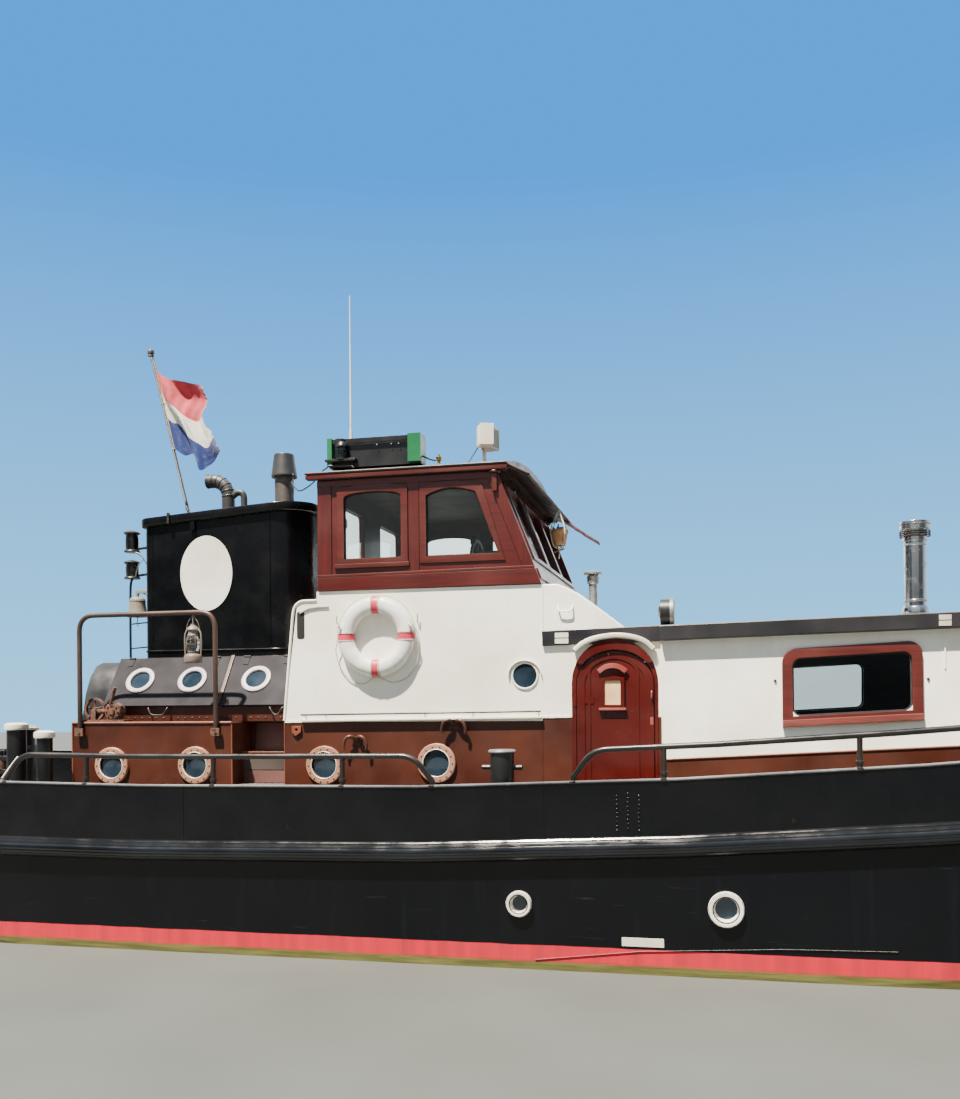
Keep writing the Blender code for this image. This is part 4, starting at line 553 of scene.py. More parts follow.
def grow(name, seed, tree, values, body="root", smooth=35):
    """Runs a tree on a mesh of points or edges and settles the result as a plain mesh."""
    carrier = bpy.data.objects.new(name + "_seed", seed)
    bpy.context.scene.collection.objects.link(carrier)
    change = carrier.modifiers.new("Growth", "NODES")
    change.node_group = tree
    for item in tree.interface.items_tree:
        if item.item_type == "SOCKET" and item.in_out == "INPUT" and item.name in values:
            change[item.identifier] = values[item.name]
    graph = bpy.context.evaluated_depsgraph_get()
    mesh = bpy.data.meshes.new_from_object(carrier.evaluated_get(graph))
    mesh.name = name
    bpy.data.objects.remove(carrier, do_unlink=True)
    if not mesh.polygons:
        raise RuntimeError(f"{name} grew nothing")
    return settle(name, mesh, body, (), smooth)


def seed_mesh(points, closed=None):
    """Loose points, or with closed True or False a line of edges along them."""
    mesh = bpy.data.meshes.new("seed")
    edges = [] if closed is None else [(k, k + 1) for k in range(len(points) - 1)]
    if closed:
        edges.append((len(points) - 1, 0))
    mesh.from_pydata([tuple(p) for p in points], edges, [])
    return mesh


def dome_growth(finish):
    """Domed heads on every point, flattened along the way they face."""
    tree, given = new_growth("Domed heads", {"Radius": 0.01, "Flatness": 0.6, "Turn": (0, 0, 0)})
    head = add(tree, "GeometryNodeMeshUVSphere", {"Segments": 8, "Rings": 5, "Radius": given["Radius"]})
    squash = add(tree, "ShaderNodeCombineXYZ", {"X": 1.0, "Y": 1.0, "Z": given["Flatness"]})
    turned = add(tree, "GeometryNodeTransform",
        {"Geometry": head, "Rotation": given["Turn"], "Scale": squash})
    spots = add(tree, "GeometryNodeInstanceOnPoints", {"Points": given["Geometry"], "Instance": turned})
    return end_growth(tree, spots, finish)


def bead_growth(finish):
    """A round bead along the line that it is given."""
    tree, given = new_growth("Round bead", {"Radius": 0.01, "Sides": 10})
    section = add(tree, "GeometryNodeCurvePrimitiveCircle",
        {"Resolution": given["Sides"], "Radius": given["Radius"]})
    line = add(tree, "GeometryNodeMeshToCurve", {"Mesh": given["Geometry"]})
    bead = add(tree, "GeometryNodeCurveToMesh", {"Curve": line, "Profile Curve": section, "Fill Caps": True})
    return end_growth(tree, bead, finish)


def rib_growth(finish):
    """Round ribs at even steps round a pipe's centreline."""
    tree, given = new_growth("Ribs on a pipe", {"Spacing": 0.03, "Pipe radius": 0.07, "Rib radius": 0.006})
    line = add(tree, "GeometryNodeMeshToCurve", {"Mesh": given["Geometry"]})
    steps = add(tree, "GeometryNodeResampleCurve", {"Curve": line, "Length": given["Spacing"]},
        mode="LENGTH")
    spots = add(tree, "GeometryNodeCurveToPoints", {"Curve": steps}, mode="EVALUATED")
    ring = add(tree, "GeometryNodeCurvePrimitiveCircle", {"Resolution": 24, "Radius": given["Pipe radius"]})
    section = add(tree, "GeometryNodeCurvePrimitiveCircle", {"Resolution": 6, "Radius": given["Rib radius"]})
    rib = add(tree, "GeometryNodeCurveToMesh", {"Curve": ring, "Profile Curve": section})
    placed = add(tree, "GeometryNodeInstanceOnPoints",
                 {"Points": spots, "Instance": rib, "Rotation": spots.outputs["Rotation"]})
    return end_growth(tree, placed, finish)


def stud_growth(finish):
    """Studs at even steps round a ring that faces along Y."""
    tree, given = new_growth("Ring of studs", {"Count": 10, "Ring radius": 0.15, "Stud radius": 0.008})
    ring = add(tree, "GeometryNodeMeshCircle", {"Vertices": given["Count"], "Radius": given["Ring radius"]})
    upright = add(tree, "GeometryNodeTransform", {"Geometry": ring, "Rotation": (pi / 2, 0, 0)})
    stud = add(tree, "GeometryNodeMeshUVSphere", {"Segments": 8, "Rings": 6, "Radius": given["Stud radius"]})
    around = add(tree, "GeometryNodeInstanceOnPoints", {"Points": upright, "Instance": stud})
    real = add(tree, "GeometryNodeRealizeInstances", {"Geometry": around})
    placed = add(tree, "GeometryNodeInstanceOnPoints", {"Points": given["Geometry"], "Instance": real})
    return end_growth(tree, placed, finish)


# Finishes
def start(name):
    """A material with its surface shader and the place on the boat in metres."""
    material = bpy.data.materials.new(name)
    material.use_nodes = True
    tree = material.node_tree
    tree.nodes.clear()
    surface = add(tree, "ShaderNodeBsdfPrincipled")
    add(tree, "ShaderNodeOutputMaterial", {"Surface": surface})
    return material, tree, surface, add(tree, "ShaderNodeTexCoord").outputs["Object"]


def cloud(tree, where, drawn_out=(1, 1, 1), **noise_inputs):
    """Noise that is drawn out by a scale along each axis."""
    drawn = add(tree, "ShaderNodeMapping", {"Vector": where, "Scale": drawn_out})
    inputs = {key.capitalize(): value for key, value in noise_inputs.items()}
    return add(tree, "ShaderNodeTexNoise", {"Vector": drawn, **inputs})


def limits(low, high, to_low=0.0, to_high=1.0):
    """The ranges that a value is carried between."""
    return {"From Min": low, "From Max": high, "To Min": to_low, "To Max": to_high}


def coat(tree, under, over, value, low, high, share=1.0):
    """One colour over another where a value rises from low to high; a text is an sRGB hex value."""
    rise = add(tree, "ShaderNodeMapRange", {"Value": value, **limits(low, high, 0.0, share)})
    pair = [tone(colour) if isinstance(colour, str) else colour for colour in (under, over)]
    one, two = [(*colour, 1) if isinstance(colour, tuple) else colour for colour in pair]
    return add(tree, "ShaderNodeMix", {0: rise, 6: one, 7: two}, data_type="RGBA").outputs[2]


def painted(name, colour, worn, rough=0.35, streaks=0.35, rust=0.0, ripple=0.3, dust=0.0, gloss=0.5):
    """Brushed alkyd paint on steel: soft fading, rain streaks, rust, brush marks and plate ripple."""
    material, tree, surface, where = start(name)
    base = coat(tree, colour, worn, cloud(tree, where, scale=1.7, detail=5.0), 0.35, 0.7)
    runs = cloud(tree, where, (16, 16, 0.9), scale=1.0, detail=4.0)
    base = coat(tree, base, worn, runs, 0.55, 0.78, streaks)
    if dust:
        normal = add(tree, "ShaderNodeNewGeometry").outputs["Normal"]
        flat = add(tree, "ShaderNodeSeparateXYZ", {"Vector": normal}).outputs["Z"]
        base = coat(tree, base, "#8F8A80", flat, 0.4, 0.95, dust)
    if rust:
        bleed = cloud(tree, where, (9, 9, 2.2), scale=1.6, detail=9.0, roughness=0.7)
        base = coat(tree, base, "#6A3A20", bleed, 0.68 - 0.2 * rust, 0.84 - 0.2 * rust, 0.75)
    patches = cloud(tree, where, scale=5.0, detail=4.0)
    sheen = add(tree, "ShaderNodeMapRange",
                {"Value": patches, **limits(0.3, 0.7, max(rough - 0.08, 0.04), rough + 0.12)})
    swell = cloud(tree, where, scale=1.3, detail=2.0)
    waves = add(tree, "ShaderNodeBump", {"Strength": ripple, "Distance": 0.02, "Height": swell})
    hairs = cloud(tree, where, (6, 6, 30), scale=6.0, detail=3.0)
    brush = add(tree, "ShaderNodeBump",
        {"Strength": 0.12, "Distance": 0.002, "Height": hairs, "Normal": waves})
    fill(tree, surface,
        {"Base Color": base, "Specular IOR Level": gloss, "Roughness": sheen, "Normal": brush})
    return material


def hull_finish(paints):
    """Gloss black enamel over steel, red boot top, weed at the water and grey deck paint on the flat."""
    material, tree, surface, where = start("Hull enamel")
    height = add(tree, "ShaderNodeSeparateXYZ", {"Vector": where}).outputs["Z"]
    normal = add(tree, "ShaderNodeNewGeometry").outputs["Normal"]
    flat = add(tree, "ShaderNodeSeparateXYZ", {"Vector": normal}).outputs["Z"]
    fade = cloud(tree, where, scale=0.9, detail=6.0)
    runs = cloud(tree, where, (9, 9, 0.7), scale=1.0, detail=5.0)
    scuffs = cloud(tree, where, (1.2, 1.2, 22), scale=1.5, detail=8.0, roughness=0.65)
    black = coat(tree, tuple(paints.hull), "#090A0F", fade, 0.35, 0.75)
    black = coat(tree, black, "#12151B", runs, 0.58, 0.85, 0.5)
    black = coat(tree, black, "#4A505B", scuffs, 0.64, 0.78, 0.3)
    # The painted lines waver by some millimetres
    edge = cloud(tree, where, scale=3.0, detail=3.0)
    waver = add(tree, "ShaderNodeMapRange", {"Value": edge, **limits(0, 1, -0.008, 0.008)})
    level = add(tree, "ShaderNodeMath", {0: height, 1: waver}, operation="ADD")
    red = coat(tree, tuple(paints.boot), "#8E2E34", runs, 0.4, 0.8)
    weed = coat(tree, "#4A4A2A", "#6E6B3C", scuffs, 0.4, 0.7)
    side = coat(tree, red, black, level, 0.196, 0.2)
    side = coat(tree, weed, side, level, 0.055, 0.085)
    side = coat(tree, tuple(paints.bottom), side, level, -0.06, -0.02)
    grit = cloud(tree, where, scale=40.0, detail=3.0)
    deck = coat(tree, tuple(paints.deck), "#747873", grit, 0.35, 0.7)
    deck = coat(tree, deck, "#6B4E3B", fade, 0.55, 0.75, 0.6)
    patches = cloud(tree, where, scale=2.6, detail=6.0)
    gloss = add(tree, "ShaderNodeMapRange", {"Value": patches, **limits(0.35, 0.75, 0.13, 0.34)})
    matt = add(tree, "ShaderNodeMapRange", {"Value": flat, **limits(0.75, 0.9, 0.0, 0.4)})
    rough = add(tree, "ShaderNodeMath", {0: gloss, 1: matt}, operation="ADD")
    swell = cloud(tree, where, (0.8, 0.8, 1.3), scale=1.1, detail=2.0)
    plates = add(tree, "ShaderNodeBump", {"Strength": 0.55, "Distance": 0.03, "Height": swell})
    marks = add(tree, "ShaderNodeBump",
        {"Strength": 0.15, "Distance": 0.002, "Height": scuffs, "Normal": plates})
    fill(tree, surface, {"Base Color": coat(tree, side, deck, flat, 0.75, 0.9), "Specular IOR Level": 0.2,
                         "Roughness": rough, "Normal": marks})
    return material


def wood(name, colour, dark, axis, rough=0.28, varnish=0.2):
    """Stained hardwood under varnish: grain drawn out along one axis, with softly changing tone."""
    material, tree, surface, where = start(name)
    along = {"X": (0.5, 11, 11), "Y": (11, 0.5, 11), "Z": (11, 11, 0.5)}[axis]
    grain = cloud(tree, where, along, scale=4.0, detail=10.0, roughness=0.62, distortion=0.6)
    pores = cloud(tree, where, tuple(4 * a for a in along), scale=6.0, detail=4.0)
    fade = cloud(tree, where, scale=1.4, detail=3.0)
    base = coat(tree, dark, colour, grain, 0.36, 0.68)
    base = coat(tree, base, dark, pores, 0.5, 0.72, 0.4)
    base = coat(tree, base, "#6A281F", fade, 0.5, 0.8, 0.35)
    sheen = add(tree, "ShaderNodeMapRange", {"Value": fade, **limits(0.3, 0.7, rough, rough + 0.2)})
    bump = add(tree, "ShaderNodeBump", {"Strength": 0.25, "Distance": 0.001, "Height": grain})
    fill(tree, surface, {"Base Color": base, "Roughness": sheen, "Coat Weight": varnish,
                         "Coat Roughness": 0.12, "Normal": bump})
    return material


def metal(name, colour, tarnish, rough=0.3, share=0.5, metallic=1.0):
    """Bare metal that weather has dulled in soft patches."""
    material, tree, surface, where = start(name)
    dull = cloud(tree, where, scale=9.0, detail=7.0, roughness=0.6)
    low, high = 0.62 - 0.25 * share, 0.9 - 0.25 * share
    sheen = add(tree, "ShaderNodeMapRange",
        {"Value": dull, **limits(low, high, rough, min(rough + 0.35, 0.85))})
    bump = add(tree, "ShaderNodeBump", {"Strength": 0.2, "Distance": 0.001, "Height": dull})
    fill(tree, surface, {"Base Color": coat(tree, colour, tarnish, dull, low, high), "Roughness": sheen,
                         "Metallic": metallic, "Normal": bump})
    return material


def rusted(name, old_paint, share=0.6):
    """Iron with flaked paint: dry orange and brown rust over what is left of the paint."""
    material, tree, surface, where = start(name)
    flakes = cloud(tree, where, scale=14.0, detail=10.0, roughness=0.7)
    depth = cloud(tree, where, scale=38.0, detail=6.0)
    rust = coat(tree, "#2E1E18", "#6B4636", depth, 0.35, 0.65)
    low, high = 0.62 - 0.3 * share, 0.68 - 0.3 * share
    dry = add(tree, "ShaderNodeMapRange", {"Value": flakes, **limits(low, high, 0.45, 0.9)})
    bump = add(tree, "ShaderNodeBump", {"Strength": 0.6, "Distance": 0.002, "Height": flakes})
    fill(tree, surface, {"Base Color": coat(tree, old_paint, rust, flakes, low, high), "Roughness": dry,
                         "Normal": bump})
    return material


def glazing(name, tint, rough=0.0):
    """Clear glass with a faint tint."""
    material, tree, surface, _ = start(name)
    fill(tree, surface, {"Base Color": (*tone(tint), 1), "IOR": 1.45, "Transmission Weight": 1.0,
                         "Roughness": rough})
    return material


def plain(name, colour, other, rough=0.6, scale=8.0, bump=0.2):
    """A plain stuff with two close shades, such as vinyl, rope, rubber or clay."""
    material, tree, surface, where = start(name)
    mottle = cloud(tree, where, scale=scale, detail=6.0)
    sheen = add(tree, "ShaderNodeMapRange",
                {"Value": mottle, **limits(0.3, 0.7, max(rough - 0.08, 0.05), min(rough + 0.1, 1.0))})
    relief = add(tree, "ShaderNodeBump", {"Strength": bump, "Distance": 0.002, "Height": mottle})
    fill(tree, surface, {"Base Color": coat(tree, colour, other, mottle, 0.35, 0.7), "Roughness": sheen,
                         "Normal": relief})
    return material


def cloth_finish():
    """Thin woven bunting in three bands along its own length, faded and grubby at the fly."""
    material, tree, surface, _ = start("Flag bunting")
    lie = add(tree, "ShaderNodeUVMap", uv_map="Cloth").outputs["UV"]
    split = add(tree, "ShaderNodeSeparateXYZ", {"Vector": lie})
    across, down = split.outputs["X"], split.outputs["Y"]
    bands = coat(tree, "#0A2A6E", "#D9D6CF", down, 0.33, 0.336)
    bands = coat(tree, bands, "#B23845", down, 0.663, 0.669)
    bands = coat(tree, bands, "#8B8177", cloud(tree, lie, (4, 6, 1), scale=3.0, detail=7.0), 0.5, 0.8, 0.35)
    bands = coat(tree, bands, "#9C8F86", across, 0.8, 1.0, 0.3)
    weave = add(tree, "ShaderNodeTexWave", {"Vector": lie, "Scale": 130.0}, wave_type="BANDS",
                bands_direction="DIAGONAL")
    relief = add(tree, "ShaderNodeBump",
        {"Strength": 0.15, "Distance": 0.001, "Height": weave.outputs["Fac"]})
    fill(tree, surface, {"Base Color": bands, "Roughness": 0.85, "Normal": relief, "Sheen Weight": 0.1,
                         "Subsurface Weight": 0.1, "Subsurface Radius": (0.01, 0.01, 0.01)})
    return material


# Paints: key, name, colour, worn colour, then roughness, streaks, rust, ripple, dust and gloss.
# A colour is an sRGB hex value or the name of one of the owner's colours.
PAINTS = (
    # Duller black inside and out, scraped by ropes
    ("bulwark", "Bulwark enamel", "hull", "#0A0B0F", 0.2, 0.4, 0.1, 0.4, 0.04, 0.25),
    # Rubbed black on the fender strake with pale scrapes
    ("rub", "Rub rail enamel", "#050608", "#14171C", 0.14, 0.5, 0.02, 0.5, 0.02),
    # Warm satin brown that chalks a little in streaks
    ("casing", "Casing alkyd", "casing", "#4C2619", 0.42, 0.35, 0.05, 0.25, 0.06, 0.35),
    # Lighter brown on the casing's edges and trim, a painted highlight of their lit faces
    ("casing_edge", "Casing edge alkyd", "#6B3826", "#7F4833", 0.36, 0.3, 0.0, 0.15, 0.2),
    # Warm white gloss with faint grey runs
    ("white", "House alkyd", "house", "#E9E4D6", 0.3, 0.25, 0.0, 0.18, 0.1),
    # White of small gear, thicker and a little chipped
    ("white_gear", "Gear alkyd white", "#E6E1D2", "#BDB5A4", 0.42, 0.5, 0.25, 0.1),
    # Near black brown of the rails over old coats
    ("rail", "Rail alkyd", "#0E0B0A", "#241E1C", 0.3, 0.2, 0.2, 0.1),
    # Sooty black with dust on its shoulders
    ("funnel", "Funnel alkyd", "funnel", "#0A0B0E", 0.24, 0.4, 0.05, 0.45, 0.04, 0.25),
    # Violet grey, chalked by the sun
    ("lid", "Lid alkyd", "lid", "#2A282E", 0.75, 0.35, 0.1, 0.2, 0.05, 0.2),
    # Dark band round the salon's roof
    ("roof_edge", "Roof edge alkyd", "roof", "#2B292C", 0.35, 0.3, 0.05, 0.25, 0.2),
    # Black fittings, half gloss
    ("black", "Gear alkyd black", "#090A0C", "#1E1F22", 0.33, 0.3, 0.2, 0.1, 0.1),
    # Dark trodden steps
    ("tread", "Tread alkyd", "#332B28", "#4C433D", 0.6, 0.3, 0.3, 0.1, 0.3),
    # Pinkish primer on the risers
    ("riser", "Riser primer", "#6E4A47", "#5A3A37", 0.55, 0.5, 0.1, 0.1),
    # Blank signs in weathered enamel
    ("plate", "Sign enamel", "#D9D5C8", "#B3AE9F", 0.35, 0.5, 0.1, 0.05),
    # Pale oval on the funnel, dulled by smoke
    ("mark", "Funnel mark alkyd", "#F2F0E8", "#D6D3C8", 0.38, 0.35, 0.0, 0.2),
    # Starboard and port lamp screens
    ("green", "Screen alkyd green", "#0F5A33", "#1A6D42", 0.35, 0.3, 0.05, 0.1),
    ("red", "Screen alkyd red", "#9C2222", "#B23A34", 0.35, 0.3, 0.05, 0.1),
    # Dark oxblood door with a wet look
    ("door", "Door lacquer", "door", "#4E1713", 0.2, 0.25, 0.0, 0.12),
    # Pinkish brown rings of the casing's ports
    ("port_ring", "Port ring alkyd", "#A37862", "#8A614B", 0.4, 0.5, 0.2, 0.1),
    # Red brown below the waterline, matt
    ("anti", "Bottom paint", "bottom", "#733428", 0.7, 0.3, 0.1, 0.2),
    # Black lightened to grey on the bulwark's bead and the side bollards' caps: rubbed paint, with a painted
    # highlight on their lit tops
    ("worn_black", "Worn black edge", "#3A3B40", "#77787A", 0.42, 0.6, 0.2, 0.1),
    # White rings round the hull's ports, cleaner than the rest
    ("port_white", "Port alkyd white", "#F2F0E8", "#C9C3B6", 0.35, 0.4, 0.05, 0.08),
    # Brown hoops with rust showing through
    ("hoop", "Hoop alkyd", "#2A1C17", "#45332B", 0.4, 0.4, 0.35, 0.1),
    # Studs in the casing's port rings, a shade darker than them
    ("stud", "Stud alkyd", "#774A36", "#8F6048", 0.42, 0.3, 0.1, 0.05),
    # Horns of the casing's cleats
    ("cleat", "Cleat alkyd", "#3B2018", "#563429", 0.4, 0.3, 0.25, 0.1),
    # Pale rings on the skylight's lids
    ("lid_ring", "Lid ring alkyd", "#C4BCC2", "#9F969C", 0.42, 0.4, 0.1, 0.08),
    # White darkened to grey as painted shade, for the shelf under the after corner's rolled edge
    ("shade", "Shelf alkyd", "#B5B1A6", "#8F8B80", 0.42, 0.3, 0.0, 0.05),
    # Funnel's pipes, sooty and dull
    ("pipe", "Pipe alkyd", "#191A1D", "#3A393A", 0.42, 0.4, 0.25, 0.15, 0.2),
    # Bell painted over in brown grey
    ("bell", "Bell alkyd", "#6E665D", "#8C8377", 0.45, 0.4, 0.15, 0.1, 0.2),
    # Grey tinplate, spotted with rust
    ("tin", "Lantern tin", "#8C8A86", "#6B5F55", 0.42, 0.4, 0.35, 0.1),
    # Grey brown of the flagstaff
    ("staff", "Staff alkyd", "#5B5751", "#45413C", 0.4, 0.4, 0.1, 0.05),
    # Dark red edge round the wheelhouse's roof
    ("roof_lip", "Roof lip alkyd", "#1E1211", "#36231F", 0.45, 0.3, 0.1, 0.1, 0.2),
    # Old cream overhead inside the wheelhouse
    ("ceiling", "Ceiling alkyd", "#8C806C", "#6F6452", 0.5, 0.2, 0.0, 0.05),
    # Pink ledges on the door where the lacquer has bleached
    ("door_sill", "Door ledge lacquer", "#9A5A50", "#7A332D", 0.35, 0.4, 0.0, 0.05),
)
# Woods: key, name, colour, dark of the grain, the grain's axis, then roughness and varnish
WOODS = (
    # Red mahogany of the wheelhouse: upright boards, level rails and boards athwart
    ("mahogany_z", "Mahogany upright", "mahogany", "#3A0E0A", "Z"),
    ("mahogany_x", "Mahogany level", "mahogany", "#3A0E0A", "X"),
    ("mahogany_y", "Mahogany athwart", "mahogany", "#3A0E0A", "Y"),
    # Bleached stick in the pot's sling
    ("board", "Bleached board", "#A48D74", "#6D5A48", "X", 0.7, 0.0),
    # Brown varnish inside the cabins, nearly lost in the dark
    ("lining", "Cabin lining", "#4A2819", "#28140C", "X", 0.4, 0.1),
    # Brighter mahogany of the window frames and its bleached sill
    ("frame_x", "Frame mahogany", "#561911", "#3B100B", "X", 0.3, 0.2),
    ("frame_y", "Frame mahogany athwart", "#521912", "#38100B", "Y", 0.3, 0.2),
    ("sill_x", "Sill mahogany", "#783A32", "#52201A", "X", 0.42, 0.2),
    # Honey coloured spar under thick varnish
    ("mast_wood", "Mast pine", "#B07A42", "#7C4F26", "Z", 0.3, 0.5),
    # Dark oiled rim and handles
    ("wheel_wood", "Wheel teak", "#5E3620", "#301A10", "Z", 0.3, 0.4),
    # Red boards gone dry and dull
    ("board_red", "Weathered red board", "#7F4038", "#4A2A28", "X", 0.6, 0.0),
)
# Metals: key, name, colour, tarnish, then roughness, share of the tarnish and how metallic
METALS = (
    # Yellow metal, fingered bright
    ("brass", "Brass", "#C09A50", "#6E5430", 0.25, 0.5),
    # Brown cast propeller
    ("bronze", "Bronze", "#8A6F4A", "#4C4336", 0.35, 0.7),
    # Bright stovepipe
    ("steel", "Stainless steel", "#C9CBCC", "#8C8E8E", 0.18, 0.3),
    # Grey wire, rods and shackles
    ("zinc", "Galvanised steel", "#9A9C9C", "#6F6C66", 0.45, 0.6, 0.8),
    # Dull pipe burnt brown
    ("exhaust", "Burnt steel", "#6B645E", "#3B3430", 0.45, 0.8, 0.7),
)
# Rusty irons: key, name, old paint and share of the rust
RUSTS = (
    # Old iron, brown all over
    ("rust", "Rusty iron", "#5B4A40", 0.8),
    # Black paint that rust lifts in patches
    ("rust_dark", "Rust under black", "#1C1B1D", 0.35),
)
# Glasses: key, name, tint and roughness
GLASSES = (
    # Clear panes with a faint green
    ("glass", "Window glass", "#E8F0EE"),
    # Clear glass of lamps, a little frosted
    ("lamp_glass", "Lamp glass", "#F2F2EA", 0.03),
    # Bluish panes of the wheelhouse's front
    ("front_glass", "Front glass", "#C3CCD6", 0.02),
    # Coloured lenses of the sidelights
    ("lens_green", "Green lens", "#3FBF7A", 0.02),
    ("lens_red", "Red lens", "#E0403A", 0.02),
)
# Plain stuffs: key, name, two shades, then roughness, size of the mottling and relief
PLAINS = (
    # Opaque near black discs with a hard gloss in place of port glass: painted shade of the dark room behind
    ("port_glass", "Port glass", "#16202B", "#2A3947", 0.07, 3.0, 0.02),
    # Door's pane, backed with cream and orange
    ("cream", "Cream pane", "#E4C79A", "#C9713E", 0.3, 5.0, 0.02),
    # Rigid foam ring in white vinyl with red bands
    ("ring_white", "Ring vinyl white", "#ECEBE6", "#D2D0C8", 0.4, 12.0, 0.08),
    ("ring_red", "Ring vinyl red", "#CF3A52", "#B52F46", 0.4, 12.0, 0.08),
    # Off-white rope, grey where it is handled
    ("rope", "Laid rope", "#CFCBBD", "#9E988A", 0.85, 60.0, 0.3),
    # Dark peaty earth
    ("lash", "Potting earth", "#4B3A2B", "#2F261F", 0.85, 50.0, 0.3),
    # Black rubber dulled by salt
    ("rubber", "Rubber", "#17171A", "#2C2C2E", 0.6, 30.0, 0.2),
    # Sandy baked clay
    ("clay", "Terracotta", "#B98E64", "#9A6E48", 0.75, 14.0, 0.15),
    # Green leaves drying to brown
    ("leaf", "Dry leaves", "#4C5A33", "#7A6A40", 0.7, 30.0, 0.2),
    # Near black sheets where openings and recesses show nothing but dark: painted shade
    ("dark", "Dark recess", "#050506", "#0B0A0A", 0.7, 9.0, 0.05),
    # Velvet black discs in the pipes' closed mouths: soot, and painted shade of the hollow
    ("soot", "Soot", "#0A0A0B", "#1B1917", 0.9, 12.0, 0.3),
    # Off-white webbing along the flag's hoist
    ("tape", "Hoist tape", "#D6D1C2", "#B5AE9C", 0.85, 50.0, 0.2),
)


def make_finishes(paints):
    """Every finish of the boat by a short name."""
    owner = {name: tuple(getattr(paints, name)) for name in TugPaints.__annotations__}
    # Black plates that show every ripple, with a red and weedy waterline, and the flag's faded cloth
    made = {"hull": hull_finish(paints), "cloth": cloth_finish()}
    for maker, rows in ((painted, PAINTS), (wood, WOODS), (metal, METALS), (rusted, RUSTS),
                        (glazing, GLASSES), (plain, PLAINS)):
        for key, name, *values in rows:
            made[key] = maker(name, *[owner.get(value, value) for value in values])
    return made


FINISH = {}

# CAD pieces that keep their outline: piece, finish, width of the eased edge, second finish and its rule
DRESSED = (
    ("engine_casing", "casing", 0.006),
    # The hood's aft faces take a near black finish as painted shade of its entrance
    ("companion_hood", "black", 0.008, "dark", "aft"),
    ("lower_house", "white", 0.006, "lining", "inside"),
    ("lobby_wall_starboard", "white", 0.003, "casing", "low"),
    ("lobby_wall_port", "white", 0.003, "casing", "low"),
    ("front_trunk", "white", 0.012),
    ("salon_plinth", "casing", 0.004, "lining", "inner"),
    # Their window reveals take the dark lining, which also stands as painted shade
    ("salon_side_starboard", "white", 0.003, "lining", "reveal"),
    ("salon_side_port", "white", 0.003, "lining", "reveal"),
    ("salon_front", "white", 0.003, "lining", "aft"),
    ("wheelhouse_aft", "mahogany_y", 0.004, "lining", "fore"),
    ("wheelhouse_front", "mahogany_y", 0.004, "lining", "aft"),
    ("wheelhouse_side_starboard", "mahogany_x", 0.004, "lining", "inner"),
    ("wheelhouse_side_port", "mahogany_x", 0.004, "lining", "inner"),
    ("wheelhouse_roof", "roof_lip", 0.006),
    ("salon_roof", "roof_edge", 0.006, "lining", "below"),
    ("skylight_coaming", "casing", 0.005),
    ("helm_console", "lining", 0.006),
    ("skylight_lid_starboard_aft", "lid", 0.003),
    ("skylight_lid_starboard_fore", "lid", 0.003),
    ("skylight_lid_port_aft", "lid", 0.003),
    ("skylight_lid_port_fore", "lid", 0.003),
    ("door_starboard", "door", 0.003, "lining", "inner"),
    ("door_port", "door", 0.003, "lining", "inner"),
    ("flagstaff", "staff", 0),
    ("antenna", "white_gear", 0),
    ("flue", "steel", 0.002),
    ("searchlight", "black", 0.002),
    ("floodlights", "white_gear", 0.003),
    ("sidelight_starboard", "black", 0.003),
    ("sidelight_port", "black", 0.003),
    ("side_bollard_starboard", "black", 0.004),
    ("side_bollard_port", "black", 0.004),
    ("fore_bitts", "black", 0.005),
    ("windlass", "rust_dark", 0.004),
    ("tow_post", "black", 0.006),
    ("tow_hook", "rust", 0.003),
    ("tabernacle", "black", 0.005),
    ("mast", "mast_wood", 0.002),
    ("rudder", "anti", 0.006),
    ("propeller", "bronze", 0.002),
)


# Camera and light
def set_camera():
    """Places the camera that the photograph was taken with."""
    lens = bpy.data.cameras.new("Camera")
    camera = bpy.data.objects.new("Camera", lens)
    bpy.context.scene.collection.objects.link(camera)
    camera.matrix_world = (Matrix.Translation(CAMERA_PLACE) @ Matrix.Rotation(radians(CAMERA_YAW), 4, "Z")
        @ Matrix.Rotation(radians(90), 4, "X") @ Matrix.Rotation(-CAMERA_ROLL, 4, "Z"))
    lens.sensor_width, lens.sensor_fit = 36, "AUTO"
    lens.lens = 36 * FOCAL_PIXELS / FRAME_LONG
    lens.shift_y = (HORIZON_PIXEL - FRAME_LONG / 2) / FRAME_LONG
    lens.clip_end = 400
    bpy.context.scene.camera = camera


